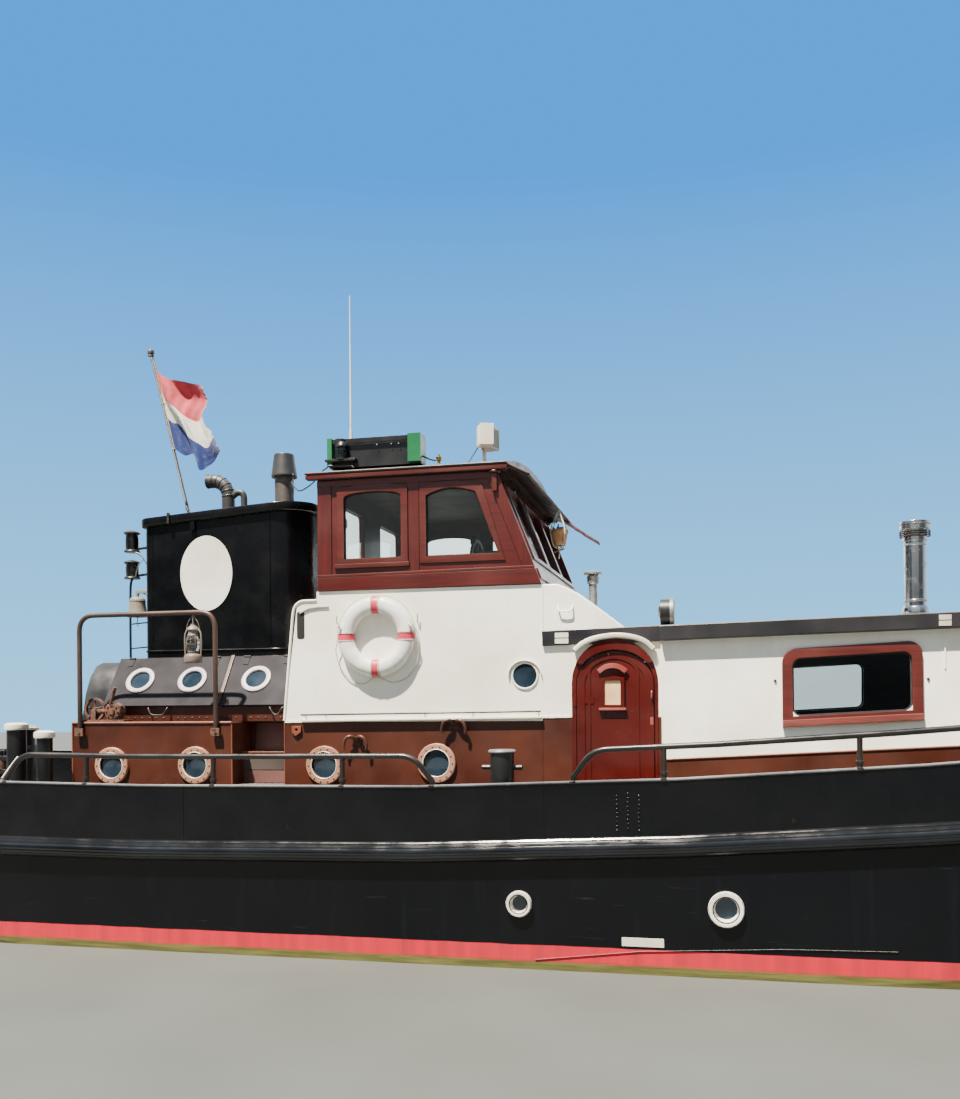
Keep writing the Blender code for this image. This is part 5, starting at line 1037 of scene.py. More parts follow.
def set_stage():
    """High soft sun in front, clear sky, two large fills and a plain pale floor at the waterline."""
    world = bpy.data.worlds.new("Sky")
    bpy.context.scene.world = world
    world.use_nodes = True
    tree = world.node_tree
    tree.nodes.clear()
    way = add(tree, "ShaderNodeSeparateXYZ", {"Vector": add(tree, "ShaderNodeTexCoord")})
    height = way.outputs["Z"]
    # Light is full behind the boat, softer above the viewer and low in front, so gloss paint shows black
    front = add(tree, "ShaderNodeMapRange", {"Value": height, **limits(0.12, 0.5, 0.1, 1.0)})
    strength = add(tree, "ShaderNodeMapRange", {"Value": way.outputs["Y"], **limits(-0.35, 0.25, 0.0, 1.5)})
    tree.links.new(front.outputs[0], strength.inputs["To Min"])
    pale = coat(tree, "#DCE6EC", "#93B2D4", height, -0.05, 0.55)
    light = add(tree, "ShaderNodeBackground", {"Color": pale, "Strength": strength})
    # Clear blue is what the eye sees behind the boat, the same all round
    blue = coat(tree, "#7CC4EE", "#1B7FD6", height, -0.02, 0.45)
    sky = add(tree, "ShaderNodeBackground", {"Color": blue, "Strength": 2.0})
    seen = add(tree, "ShaderNodeLightPath").outputs["Is Camera Ray"]
    shown = add(tree, "ShaderNodeMixShader", {0: seen, 1: light, 2: sky})
    add(tree, "ShaderNodeOutputWorld", {"Surface": shown})

    lamp = bpy.data.lights.new("Sun", "SUN")
    lamp.energy, lamp.angle, lamp.color = 20.0, radians(1.2), tone("#FFF4E2")
    sun = bpy.data.objects.new("Sun", lamp)
    sun.matrix_world = Matrix.Rotation(radians(-28), 4, "Z") @ Matrix.Rotation(radians(25), 4, "X")
    floor_mesh = bpy.data.meshes.new("Floor")
    floor_mesh.from_pydata([(-60, -40, 0), (60, -40, 0), (60, 60, 0), (-60, 60, 0)], [], [(0, 1, 2, 3)])
    floor = bpy.data.objects.new("Floor", floor_mesh)
    floor_mesh.materials.append(plain("Studio floor", "#505451", "#535754", 0.6, 0.6, 0.0))
    staged = [sun, floor]
    # Large soft panes of light before and behind the boat
    for name, y, tilt, power in (("Fill", -16, 60, 300), ("Back fill", 16, -60, 1500)):
        lamp = bpy.data.lights.new(name, "AREA")
        lamp.shape, lamp.size, lamp.size_y = "RECTANGLE", 24, 10
        lamp.energy, lamp.color = power, tone("#F4F1EC")
        fill = bpy.data.objects.new(name, lamp)
        fill.matrix_world = Matrix.Translation((0, y, 9.5)) @ Matrix.Rotation(radians(tilt), 4, "X")
        staged.append(fill)
    for obj in staged:
        bpy.context.scene.collection.objects.link(obj)


# Life ring and its grab line
GRAB_STEPS = 3
# Route of the line round the ring: across, up, out
GRAB_ROUTE = (
    (0.007, 0.3713, 0.0553), (0.13, 0.362, 0.052), (0.25, 0.292, 0.045), (0.338, 0.172, 0.045),
    (0.371, 0.065, 0.053), (0.3713, 0, 0.0553), (0.383, -0.06, 0.05), (0.398, -0.13, 0.04),
    (0.372, -0.255, 0.022), (0.285, -0.372, 0.016), (0.15, -0.418, 0.02), (0.05, -0.38, 0.046),
    (0, -0.3713, 0.0553), (-0.05, -0.382, 0.046), (-0.14, -0.432, 0.02), (-0.275, -0.382, 0.016),
    (-0.368, -0.26, 0.022), (-0.396, -0.13, 0.04), (-0.383, -0.06, 0.05), (-0.3713, 0, 0.0553),
    (-0.371, 0.065, 0.053), (-0.342, 0.172, 0.045), (-0.252, 0.29, 0.045), (-0.132, 0.362, 0.052),
    (-0.007, 0.3713, 0.0553),
)
ROPE_TURN = 0.045


def laid_rope(path, radius, turn):
    """Three strands laid together round a path."""
    points = [Vector(p) for p in path]
    shape = bmesh.new()
    side, rings, gone = Vector((0, 1, 0)), [], 0
    for i, point in enumerate(points):
        ahead = (points[min(i + 1, len(points) - 1)] - points[max(i - 1, 0)]).normalized()
        side = (side - ahead * side.dot(ahead)).normalized()
        over = side.cross(ahead)
        gone += (point - points[i - 1]).length if i else 0
        ring = []
        for step in range(12):
            angle = 2 * pi * step / 12
            reach = radius * (0.89 + 0.11 * cos(3 * angle))
            angle += 2 * pi * gone / turn
            ring.append(shape.verts.new(point + (side * cos(angle) + over * sin(angle)) * reach))
        rings.append(ring)
    for ring, following in zip(rings, rings[1:]):
        for j in range(12):
            shape.faces.new((ring[j], ring[(j + 1) % 12], following[(j + 1) % 12], following[j]))
    shape.faces.new(rings[0])
    shape.faces.new(reversed(rings[-1]))
    return shape


def finer(path, spacing):
    """The same path with points at most a spacing apart."""
    fine = [Vector(path[0])]
    for start_point, end_point in zip(path, path[1:]):
        run = Vector(end_point) - Vector(start_point)
        count = max(1, ceil(run.length / spacing))
        fine += [Vector(start_point) + run * (k + 1) / count for k in range(count)]
    return fine


def build_ring(sizes):
    """Foam life ring with red bands, its grab line and seizings."""
    ring = Fitting("life_ring_shell")
    section = [(RING_OUTER - RING_WIDE + RING_WIDE * cos(radians(a)), RING_THICK * sin(radians(a)))
        for a in range(0, 360, 15)]
    centre = (RING_X, -HOUSE_HALF - RING_THICK, RING_Z)
    ring.hoop(section, centre, "ring_white", steps=96)
    ring.shape.faces.ensure_lookup_table()
    ring.finishes.append("ring_red")
    for face in ring.shape.faces:
        spot = face.calc_center_median()
        around = atan2(spot.z - RING_Z, spot.x - RING_X)
        off = (around + pi / 4) % (pi / 2) - pi / 4
        if abs(off) < radians(8.5):
            face.material_index = 1
    ring.done(stands_for=("life_ring",), slot="ring_white")

    across = [(RING_X + a, -HOUSE_HALF - out, RING_Z + up) for a, up, out in GRAB_ROUTE]
    path = smooth_route(across, GRAB_STEPS)
    line = Fitting("grab_rope")
    line.take(laid_rope(finer(path, 0.008), sizes.rope / 2, ROPE_TURN), "rope")
    rope = line.done(stands_for=("grab_line",), slot="rope", smooth=60)
    seizings = Fitting("ring_seizings")
    for turn in range(4):
        angle = radians(90 * turn)
        lean = Vector((cos(angle), 0, sin(angle)))
        edge = Vector(centre) + lean * (RING_OUTER - RING_WIDE)
        loop = [edge + lean * (RING_WIDE + 0.003) * cos(radians(a))
            + Vector((0, -1, 0)) * (RING_THICK + 0.003) * sin(radians(a)) for a in range(-60, 241, 12)]
        for shift in (-0.035, 0.035):
            along = Vector((-lean.z, 0, lean.x)) * shift
            seizings.bar([p + along for p in loop], 0.002, 0.011, "rope", up=tuple(along.normalized()))
    seizings.done(smooth=50)


# Hull and bulwark
# Rub rail's section: share of the reach outwards, share of the height down from the deck
RUB_SECTION = (
    (0.0, 0.02), (0.2, 0.03), (0.42, 0.06), (0.5, 0.11), (0.49, 0.15), (0.7, 0.2), (0.79, 0.27),
    (0.77, 0.32), (0.92, 0.38), (1.0, 0.48), (0.99, 0.56), (0.92, 0.6), (0.95, 0.66), (0.9, 0.74),
    (0.76, 0.79), (0.76, 0.83), (0.58, 0.91), (0.3, 0.97), (0.0, 1.0),
)
# Rivet group in the bulwark: first x, first z, columns and rows, steps along and up
RIVET_GROUP = (1.135, 1.125, 3, 9, 0.086, 0.034)
# Bulwark's plate seams along x
SEAMS = (-7.0, -4.9, -2.6, 0.55, 2.39, 4.7)
# Lap of the plating by the boot top: x and z
LAP = ((0.473, 0.081), (1.305, 0.183), (2.386, 0.246), (3.2, 0.262))
# Freeing ports in the bulwark: middle x
FREEING_PORTS = (-6.4, -1.9, 3.1)
HULL_PORT_HOLE = 0.72


def skin(node, x, z, sign):
    """Distance of a CAD piece's outer face from the centreline at a place."""
    mesh = NODES[node].data
    tree = BVHTree.FromPolygons([v.co for v in mesh.vertices], [p.vertices for p in mesh.polygons])
    spot = tree.ray_cast(Vector((x, sign * 4, z)), Vector((0, -sign, 0)))[0]
    if spot is None:
        raise RuntimeError(f"nothing of {node} at {x}, {z}")
    return abs(spot.y)


def build_rub_rail():
    """Half-round fender with the ridges of its rolled section."""
    plan = plan_points()
    loops = [inward(plan, -SEAT - (FENDER_OUT - SEAT) * out) for out, _ in RUB_SECTION]
    shape, rings = bmesh.new(), []
    for i, (x, _) in enumerate(plan):
        rings.append([shape.verts.new((loop[i].x, loop[i].y, deck_z(x) - FENDER_HIGH * down)) for loop,
            (_, down) in zip(loops, RUB_SECTION)])
    for ring, following in zip(rings, rings[1:] + rings[:1]):
        for j in range(len(ring)):
            k = (j + 1) % len(ring)
            shape.faces.new((ring[j], ring[k], following[k], following[j]))
    rail = Fitting("rub_rail_rolled")
    rail.take(shape, "rub")
    rail.done(stands_for=("rub_rail",), slot="bulwark_black", smooth=28)


def build_hull_gear(sizes):
    """Bead, rivets, seams and freeing ports of the bulwark, and the hull's ports and blank plates."""
    edge = [(x, y, rail_z(x)) for x, y in plan_points()]
    # Grey bead along the bulwark's top: rubbed paint, with a painted highlight on its lit top
    grow("bulwark_bead", seed_mesh(edge, True), bead_growth("worn_black"),
        {"Radius": sizes.bead, "Sides": 10})
    first_x, first_z, columns, rows, along, up = RIVET_GROUP
    heads = []
    for sign in SIGNS:
        for column in range(columns):
            for row in range(rows):
                x, z = first_x + column * along, first_z + row * up + (up / 2 if column == 1 else 0)
                heads.append((x, sign * (on_facets(x, half_beam) + 0.001), z))
    grow("bulwark_rivets", seed_mesh(heads), dome_growth("bulwark"),
        {"Radius": sizes.rivet, "Flatness": 0.55, "Turn": (pi / 2, 0, 0)})
    seams = Fitting("bulwark_seams")
    for x in SEAMS:
        for sign in SIGNS:
            y = sign * (on_facets(x, half_beam) + 0.0005)
            seams.bar([(x, y, deck_z(x) + 0.01), (x, y, rail_z(x) - 0.01)], 0.012, 0.005, "bulwark")
    for sign in SIGNS:
        seams.bar([(x, sign * (skin("hull", x, z, sign) + 0.001), z) for x, z in LAP], 0.006, 0.014, "hull",
            up=(0, sign, 0))
    seams.done()
    ports = Fitting("freeing_ports")
    for x in FREEING_PORTS:
        for sign in SIGNS:
            y, z = sign * (on_facets(x, half_beam) - 0.051), deck_z(x) + 0.02
            ports.panel(rounded(x - 0.22, z, x + 0.22, z + 0.15, 0.03), y, 0.006, "bulwark")
            for hinge in (x - 0.15, x + 0.15):
                ports.tube([(hinge - 0.03, y - sign * 0.006, z + 0.155),
                    (hinge + 0.03, y - sign * 0.006, z + 0.155)], 0.009, "rust_dark")
    ports.done()

    rings = Fitting("hull_ports")
    for x, z, radius in HULL_PORTS:
        for sign in SIGNS:
            face = skin("hull", x, z + radius + 0.03, sign)
            hole = HULL_PORT_HOLE * radius
            rings.hoop([(hole - 0.002, -0.05), (radius + 0.004, -0.05), (radius + 0.004, 0.03),
                (radius - 0.004, 0.04), (hole + 0.012, 0.042), (hole - 0.002, 0.034)], (x, sign * face, z),
                "port_white", flip=sign, steps=48)
            # Opaque dark disc as the glass, its colour painted shade of the room behind
            rings.lathe([(0, -0.03), (hole, -0.03), (hole, -0.024), (0, -0.018)], (x, sign * face, z),
                "port_glass", "Y", sign, 40)
            rings.hoop([(hole - 0.014, -0.028), (hole + 0.002, -0.028), (hole + 0.002, -0.004),
                (hole - 0.01, -0.006)], (x, sign * face, z), "port_white", flip=sign, steps=48)
    rings.done(smooth=40)

    marks = Fitting("draft_plates")
    for sign in SIGNS:
        spots = [sign * (skin("hull", x, 0.255, sign) + 0.0015) for x in (1.164, 1.489)]
        marks.bar([(1.164, spots[0], 0.255), (1.489, spots[1], 0.255)], 0.004, 0.068, "plate", up=(0, 0, 1))
    marks.done()


# Deck gear aft of the casing, starboard and port: x, y, radius, top z
DECK_POSTS = ((-5.02, 1.3, 0.095, 1.97), (-4.47, 1.62, 0.075, 1.9))


def build_deck_gear():
    """Caps and bands of the bollards, mooring posts and a tyre fender on the after deck."""
    posts = Fitting("mooring_posts")
    for x, y, radius, top in DECK_POSTS:
        for sign in SIGNS:
            low = deck_z(x)
            posts.lathe([(0, low - 0.002), (radius + 0.05, low - 0.002), (radius + 0.05, low + 0.015),
                (radius, low + 0.035), (radius, top - 0.06), (0, top - 0.06)], (x, sign * y, 0), "black")
            posts.lathe([(0, top - 0.07), (radius + 0.02, top - 0.07), (radius + 0.025, top - 0.05),
                (radius + 0.02, top - 0.015), (radius - 0.01, top), (0, top + 0.004)], (x, sign * y, 0),
                "white_gear")
    posts.done()
    fender = Fitting("tyre_fender")
    x, y = -4.86, -1.78
    low = deck_z(x)
    section = [(0.175 + 0.055 * cos(a), 0.065 * sin(a)) for a in [radians(15 * k) for k in range(24)]]
    fender.place = (Matrix.Translation((x, y, low + 0.232)) @ Matrix.Rotation(radians(-14), 4, "X"))
    fender.hoop(section, (0, 0, 0), "rubber", steps=48)
    fender.place = Matrix.Identity(4)
    fender.tube([(x, y + 0.045, low + 0.46), (x + 0.02, y + 0.12, low + 0.55),
        (x + 0.04, -1.55, low + 0.66)], 0.009, "rope", 10)
    fender.done()
    plates = Fitting("deck_fittings")
    # Caps of the side bollards in grey: rubbed paint, with a painted highlight on their lit tops
    for sign in SIGNS:
        middle, radius = (0.168, sign * (HALF_BEAM - 0.25), 0), 0.1
        plates.lathe([(0, 1.725), (radius + 0.014, 1.725), (radius + 0.016, 1.735), (radius + 0.006, 1.748),
            (0, 1.752)], middle, "worn_black")
    for sign in SIGNS:
        plates.lathe([(0, 0), (0.045, 0), (0.045, 0.008), (0.03, 0.012), (0, 0.012)],
            (-6.6, sign * 1.2, deck_z(-6.6)), "brass")
        plates.lathe([(0, 0), (0.045, 0), (0.045, 0.008), (0.03, 0.012), (0, 0.012)],
            (6.8, sign * 1.1, deck_z(6.8)), "brass")
    plates.done()


# Rails
RAIL_RADIUS, RAIL_ABOVE, RAIL_LEAN = 0.024, 0.25, 0.16
HOOP_RADIUS, HOOP_BEND, HOOP_FOOT = 0.024, 0.16, 1.87


def rail_point(x, sign, above):
    """Point over the bulwark's rail on one side."""
    return Vector((x, sign * (on_facets(x, half_beam) - RAIL_INSET), on_facets(x, rail_z) + above))


def build_rails():
    """Round bulwark rails with welded posts and small foot flanges."""
    for name, feet in (("aft_rail", AFT_RAIL_FEET), ("fore_rail", FORE_RAIL_FEET)):
        start_x, end_x = feet[0], feet[-1]
        for side, sign in SIDES:
            low = 0.008
            path = [rail_point(start_x, sign, low), rail_point(start_x, sign, low + 0.03)]
            path += bend(path[-1], rail_point(start_x + RAIL_LEAN, sign, RAIL_ABOVE),
                rail_point(start_x + 0.6, sign, RAIL_ABOVE), 0.12)
            steps = max(int((end_x - start_x) / 0.8), 3)
            first, span = start_x + RAIL_LEAN + 0.3, end_x - start_x - 2 * RAIL_LEAN - 0.6
            path += [rail_point(first + span * i / steps, sign, RAIL_ABOVE) for i in range(1, steps)]
            low_end = rail_point(end_x, sign, low + 0.03)
            path += bend(rail_point(end_x - 0.6, sign, RAIL_ABOVE),
                rail_point(end_x - RAIL_LEAN, sign, RAIL_ABOVE), low_end, 0.12)
            path += [low_end, rail_point(end_x, sign, low)]
            rail = Fitting(f"{name}_{side}_tube")
            rail.tube(path, RAIL_RADIUS, "rail", 20)
            for x in feet[1:-1]:
                rail.tube([rail_point(x, sign, 0.004), rail_point(x, sign, RAIL_ABOVE)], RAIL_RADIUS * 0.9,
                    "rail", 16)
            for x in feet:
                rail.lathe([(0, -0.004), (0.044, -0.004), (0.044, 0.006), (0.028, 0.016), (0, 0.016)],
                    rail_point(x, sign, 0), "rail", steps=20)
            for x in feet[1:-1]:
                rail.lathe([(0.0, 0.035), (0.026, 0.035), (0.031, 0.05), (0.026, 0.065), (0, 0.065)],
                    rail_point(x, sign, 0), "rail", steps=20)
            rail.done(stands_for=(f"{name}_{side}",), slot="rail_brown", smooth=45)
    for side, sign in SIDES:
        y = sign * (HOUSE_HALF + HOOP_RADIUS + SEAT)
        path = [(HOOP_AFT, y, HOOP_FOOT)]
        path += bend((HOOP_AFT, y, HOOP_FOOT), (HOOP_AFT, y, HOOP_TOP), (HOOP_FORE, y, HOOP_TOP), HOOP_BEND)
        path += bend((HOOP_AFT, y, HOOP_TOP), (HOOP_FORE, y, HOOP_TOP), (HOOP_FORE, y, HOOP_FOOT), HOOP_BEND)
        path.append((HOOP_FORE, y, HOOP_FOOT))
        hoop = Fitting(f"hoop_rail_{side}_tube")
        hoop.tube(path, HOOP_RADIUS, "hoop", 20)
        for x in (HOOP_AFT, HOOP_FORE):
            hoop.box((x - 0.045, min(y, y + sign * 0.03), HOOP_FOOT - 0.03),
                (x + 0.045, max(y, y + sign * 0.03), HOOP_FOOT + 0.045), "rust", 0.006)
            hoop.lathe([(0, 0.024), (0.014, 0.024), (0.014, 0.036), (0, 0.038)],
                (x + 0.005, y, HOOP_FOOT + 0.005), "rust", "Y", sign, 6)
        hoop.done(stands_for=(f"hoop_rail_{side}",), slot="rail_brown", smooth=45)


# Casing, steps and skylight
STEP_TREADS = ((1.37, 1.2), (1.67, 0.97))
# Plates on the risers: depth, outline and finish
STEP_RISERS = (
    (1.2, ((-2.578, 1.382), (-2.062, 1.382), (-2.062, 1.498), (-2.578, 1.498)), "riser"),
    (1.2, ((-2.578, 1.506), (-2.062, 1.506), (-2.062, 1.646), (-2.578, 1.646)), "tread"),
    (0.97, ((-2.565, 1.684), (-2.062, 1.684), (-2.062, 1.955), (-2.542, 1.955)), "riser"),
)
# Cleats under the ledge: middle x and z
CLEATS = ((-1.335, 1.79), (-0.402, 1.935))
# Handles under the skylight's lids: aft and fore end
LID_HANDLES = ((-3.604, -3.386), (-2.308, -2.164))
LID_BAR, LID_OVER, LID_RING, LID_GLASS = 0.05, 0.02, 0.15, 0.11


def sky_slope():
    """Slope of the skylight's sides."""
    return atan2(SKY_TOP - SKY_BASE, SKY_BASE_HALF - SKY_TOP_HALF)


def build_casing_gear(sizes):
    """Ports, edges, steps and cleats of the casing, and the gear of the skylight and its lids."""
    rings, studs = Fitting("casing_port_rings"), []
    for x, z in CASING_PORTS:
        for sign in SIGNS:
            middle = (x, sign * HOUSE_HALF, z)
            rings.hoop([(PORT_GLASS + 0.008, -0.002), (PORT_RING + 0.003, -0.002),
                (PORT_RING + 0.003, 0.024), (PORT_RING - 0.004, 0.031), (PORT_GLASS + 0.014, 0.033),
                (PORT_GLASS + 0.008, 0.03)], middle, "port_ring", flip=sign, steps=56)
            rings.hoop([(PORT_GLASS + 0.003, -0.03), (PORT_GLASS + 0.01, -0.03), (PORT_GLASS + 0.01, 0.034),
                (PORT_GLASS + 0.007, 0.036), (PORT_GLASS + 0.004, 0.034), (PORT_GLASS + 0.003, 0.02)],
                middle, "port_white", flip=sign, steps=56)
            # Opaque dark disc as the glass, its colour painted shade of the room behind
            rings.lathe([(0, -0.01), (PORT_GLASS + 0.004, -0.01), (PORT_GLASS + 0.004, 0.004), (0, 0.008)],
                middle, "port_glass", "Y", sign, 48)
            studs.append((x, sign * (HOUSE_HALF + 0.032), z))
    rings.done(slot="bronze", smooth=40)
    grow("casing_port_studs", seed_mesh(studs), stud_growth("stud"),
        {"Count": 14, "Ring radius": 0.152, "Stud radius": sizes.stud})

    # Casing's edges in lighter brown as a painted highlight
    trim = Fitting("casing_trim")
    top = CASING_TOP
    for sign in SIGNS:
        y = sign * HOUSE_HALF
        trim.tube([(CASING_AFT, y, top - 0.003), (STEP_AFT, y, top - 0.003)], 0.013, "casing_edge", 12)
        trim.tube([(CASING_AFT, y, 1.0), (CASING_AFT, y, top - 0.003)], 0.01, "casing_edge", 12)
        for x in (STEP_AFT, STEP_FORE):
            trim.tube([(x, y, 1.38), (x, y, top - 0.003)], 0.007, "casing_edge", 10)
    trim.done()

    steps = Fitting("side_steps")
    for sign in SIGNS:
        for z, depth in STEP_TREADS:
            steps.box((STEP_AFT + 0.004, sign * (depth + 0.002), z + 0.001),
                (STEP_FORE - 0.004, sign * (depth + 0.23), z + 0.006), "tread", 0.001)
            # Nosing of each tread in lighter brown as a painted highlight
            far_edge = sign * (depth + 0.232)
            steps.bar([(STEP_AFT + 0.004, far_edge, z + 0.004), (STEP_FORE - 0.004, far_edge, z + 0.004)],
                0.016, 0.012, "casing_edge")
            for rib in range(7):
                x = STEP_AFT + 0.07 + rib * 0.067
                steps.tube([(x, sign * (depth + 0.03), z + 0.007), (x, sign * (depth + 0.2), z + 0.007)],
                    0.004, "tread", 6)
        for depth, corners, finish in STEP_RISERS:
            steps.panel(corners, sign * (depth + 0.003), 0.004, finish)
    steps.done()

    hooks = Fitting("casing_cleats")
    for x, z in CLEATS:
        for sign in SIGNS:
            y = sign * HOUSE_HALF
            hooks.box((x - 0.05, y, z - 0.035), (x + 0.05, y + sign * 0.012, z + 0.045), "casing", 0.004)
            for way in (-1, 1):
                path = [(x + way * 0.012, y + sign * 0.008, z + 0.02),
                    (x + way * 0.04, y + sign * 0.055, z + 0.045),
                    (x + way * 0.085, y + sign * 0.065, z + 0.03),
                    (x + way * 0.11, y + sign * 0.06, z - 0.03),
                    (x + way * 0.105, y + sign * 0.055, z - 0.075)]
                hooks.pipe(path, 5, 0.017, "cleat", 12, scales=[1.15 - 0.45 * k / 20 for k in range(21)])
    # Holed plate under the ledge in lighter brown as a painted highlight
    x, z = -1.925, 1.886
    for sign in SIGNS:
        hooks.panel([(x - 0.045, z + 0.045), (x - 0.045, z - 0.01), (x - 0.01, z - 0.048),
            (x + 0.045, z - 0.01), (x + 0.045, z + 0.045)], sign * (HOUSE_HALF + 0.012), 0.022,
            "casing_edge", holes=([(x + 0.014 * cos(a), z + 0.012 + 0.014 * sin(a))
            for a in [radians(30 * k) for k in range(12)]],))
    hooks.done(smooth=50)

    for side, sign in SIDES:
        slope = sky_slope()
        length_up = hypot(SKY_TOP - SKY_BASE, SKY_BASE_HALF - SKY_TOP_HALF)
        for end, low_x, high_x in (("aft", SKY_AFT, LID_SPLIT), ("fore", LID_SPLIT, SKY_FORE)):
            middle = Vector(((low_x + high_x) / 2, sign * (SKY_BASE_HALF + SKY_TOP_HALF) / 2,
                (SKY_BASE + SKY_TOP) / 2))
            gear = Fitting(f"lid_gear_{side}_{end}")
            gear.place = Matrix.Translation(middle) @ Matrix.Rotation(-sign * slope, 4, "X")
            half = (high_x - low_x) / 2 - LID_BAR / 2
            for x in LID_PORTS[end]:
                spot = (x - middle.x, 0, LID_THICK)
                gear.hoop([(LID_GLASS - 0.004, -0.01), (LID_RING + 0.002, -0.002), (LID_RING + 0.002, 0.015),
                    (LID_RING - 0.005, 0.021), (LID_GLASS + 0.006, 0.022), (LID_GLASS - 0.004, 0.016)], spot,
                    "lid_ring", "Z", steps=48)
                # Opaque dark disc as the glass, its colour painted shade of the engine room below
                gear.lathe([(0, -0.03), (LID_GLASS, -0.03), (LID_GLASS, -0.004), (0, 0.0)], spot,
                    "port_glass", "Z", 1, 40)
            rim = length_up / 2 + LID_OVER
            edge_y = sign * (rim - 0.006)
            gear.bar([(-half, edge_y, 0.008), (half, edge_y, 0.008)], 0.014, 0.012, "black", up=(0, 0, 1))
            for x in (-half + 0.14, half - 0.14):
                top = -sign * (length_up / 2 - 0.004)
                gear.box((x - 0.03, top, LID_THICK), (x + 0.03, top + sign * 0.1, LID_THICK + 0.006), "lid",
                    0.002)
                gear.tube([(x - 0.035, top + sign * 0.004, LID_THICK + 0.009),
                    (x + 0.035, top + sign * 0.004, LID_THICK + 0.009)], 0.009, "rust_dark", 12)
            gear.done(body=f"lid_{side}_{end}", smooth=40)
        bars = Fitting(f"skylight_bar_{side}")
        bars.place = (
            Matrix.Translation((0, sign * (SKY_BASE_HALF + SKY_TOP_HALF) / 2, (SKY_BASE + SKY_TOP) / 2))
            @ Matrix.Rotation(-sign * slope, 4, "X"))
        bars.box((LID_SPLIT - 0.019, -length_up / 2, 0.0), (LID_SPLIT + 0.019, length_up / 2 + 0.015, 0.042),
            "casing", 0.005)
        bars.done()
    handles = Fitting("skylight_handles")
    heads = []
    for sign in SIGNS:
        y = sign * SKY_BASE_HALF
        for low_x, high_x in LID_HANDLES:
            path = [(low_x, y, 2.112), (low_x + 0.008, y + sign * 0.045, 2.105),
                (low_x + 0.05, y + sign * 0.055, 2.045), (high_x - 0.05, y + sign * 0.055, 2.045),
                (high_x - 0.008, y + sign * 0.045, 2.105), (high_x, y, 2.112)]
            handles.pipe(path, 4, 0.008, "rust_dark", 10)
        count = int((SKY_FORE - SKY_AFT - 0.08) / sizes.rivet_pitch)
        heads += [(SKY_AFT + 0.05 + k * sizes.rivet_pitch, y, 2.008) for k in range(count + 1)]
    handles.done()
    grow("skylight_rivets", seed_mesh(heads), dome_growth("casing"),
        {"Radius": 0.01, "Flatness": 0.6, "Turn": (pi / 2, 0, 0)})


def build_hand_pump():
    """Rusty hand pump with a spoked wheel, gear case and lever, on the casing's top."""
    x0, y, z = -4.19, -1.335, CASING_TOP
    pump = Fitting("hand_pump_iron")
    iron = "rust"
    pump.box((x0 + 0.002, y - 0.078, z), (x0 + 0.448, y + 0.078, z + 0.028), iron, 0.005)
    wheel = (x0 + 0.09, y, z + 0.13)
    pump.hoop([(0.092, -0.017), (0.112, -0.02), (0.115, 0), (0.112, 0.02), (0.092, 0.017)], wheel, iron,
        steps=40)
    pump.lathe([(0, -0.03), (0.024, -0.03), (0.028, 0), (0.024, 0.03), (0, 0.03)], wheel, iron, "Y")
    for k in range(5):
        a = radians(72 * k + 20)
        pump.tube([wheel, (wheel[0] + 0.1 * cos(a), y, wheel[2] + 0.1 * sin(a))], 0.009, iron, 8)
    pump.box((wheel[0] - 0.03, y - 0.045, z + 0.02), (wheel[0] + 0.03, y - 0.028, z + 0.13), iron, 0.005)
    pump.box((wheel[0] - 0.03, y + 0.028, z + 0.02), (wheel[0] + 0.03, y + 0.045, z + 0.13), iron, 0.005)
    body = (x0 + 0.31, y, z + 0.11)
    pump.lathe([(0, -0.06), (0.07, -0.06), (0.085, -0.05), (0.085, -0.02), (0.075, -0.012), (0.075, 0.012),
        (0.085, 0.02), (0.085, 0.05), (0.07, 0.06), (0, 0.06)], body, iron, "Y", steps=28)
    for k in range(8):
        a = radians(45 * k)
        pump.lathe([(0, 0.055), (0.009, 0.055), (0.009, 0.068), (0, 0.069)],
            (body[0] + 0.062 * cos(a), y, body[2] + 0.062 * sin(a)), iron, "Y", -1, 6)
    pump.lathe([(0, 0.055), (0.034, 0.055), (0.03, 0.072), (0, 0.074)], body, iron, "Y", -1, 20)
    pump.box((body[0] - 0.06, y - 0.05, z + 0.02), (body[0] + 0.06, y + 0.05, z + 0.06), iron, 0.006)
    pump.tube([(x0 + 0.05, y, z + 0.11), (x0 + 0.38, y, z + 0.11)], 0.026, iron, 16)
    lever = [(x0 + 0.29, y - 0.055, z + 0.11), (x0 + 0.3, y - 0.058, z + 0.2),
        (x0 + 0.325, y - 0.062, z + 0.27), (x0 + 0.35, y - 0.066, z + 0.345)]
    pump.pipe(lever, 5, 0.016, iron, 12, scales=[0.9 + 0.25 * k / 15 for k in range(16)])
    pump.done(stands_for=("hand_winch",), slot="rust", smooth=45)


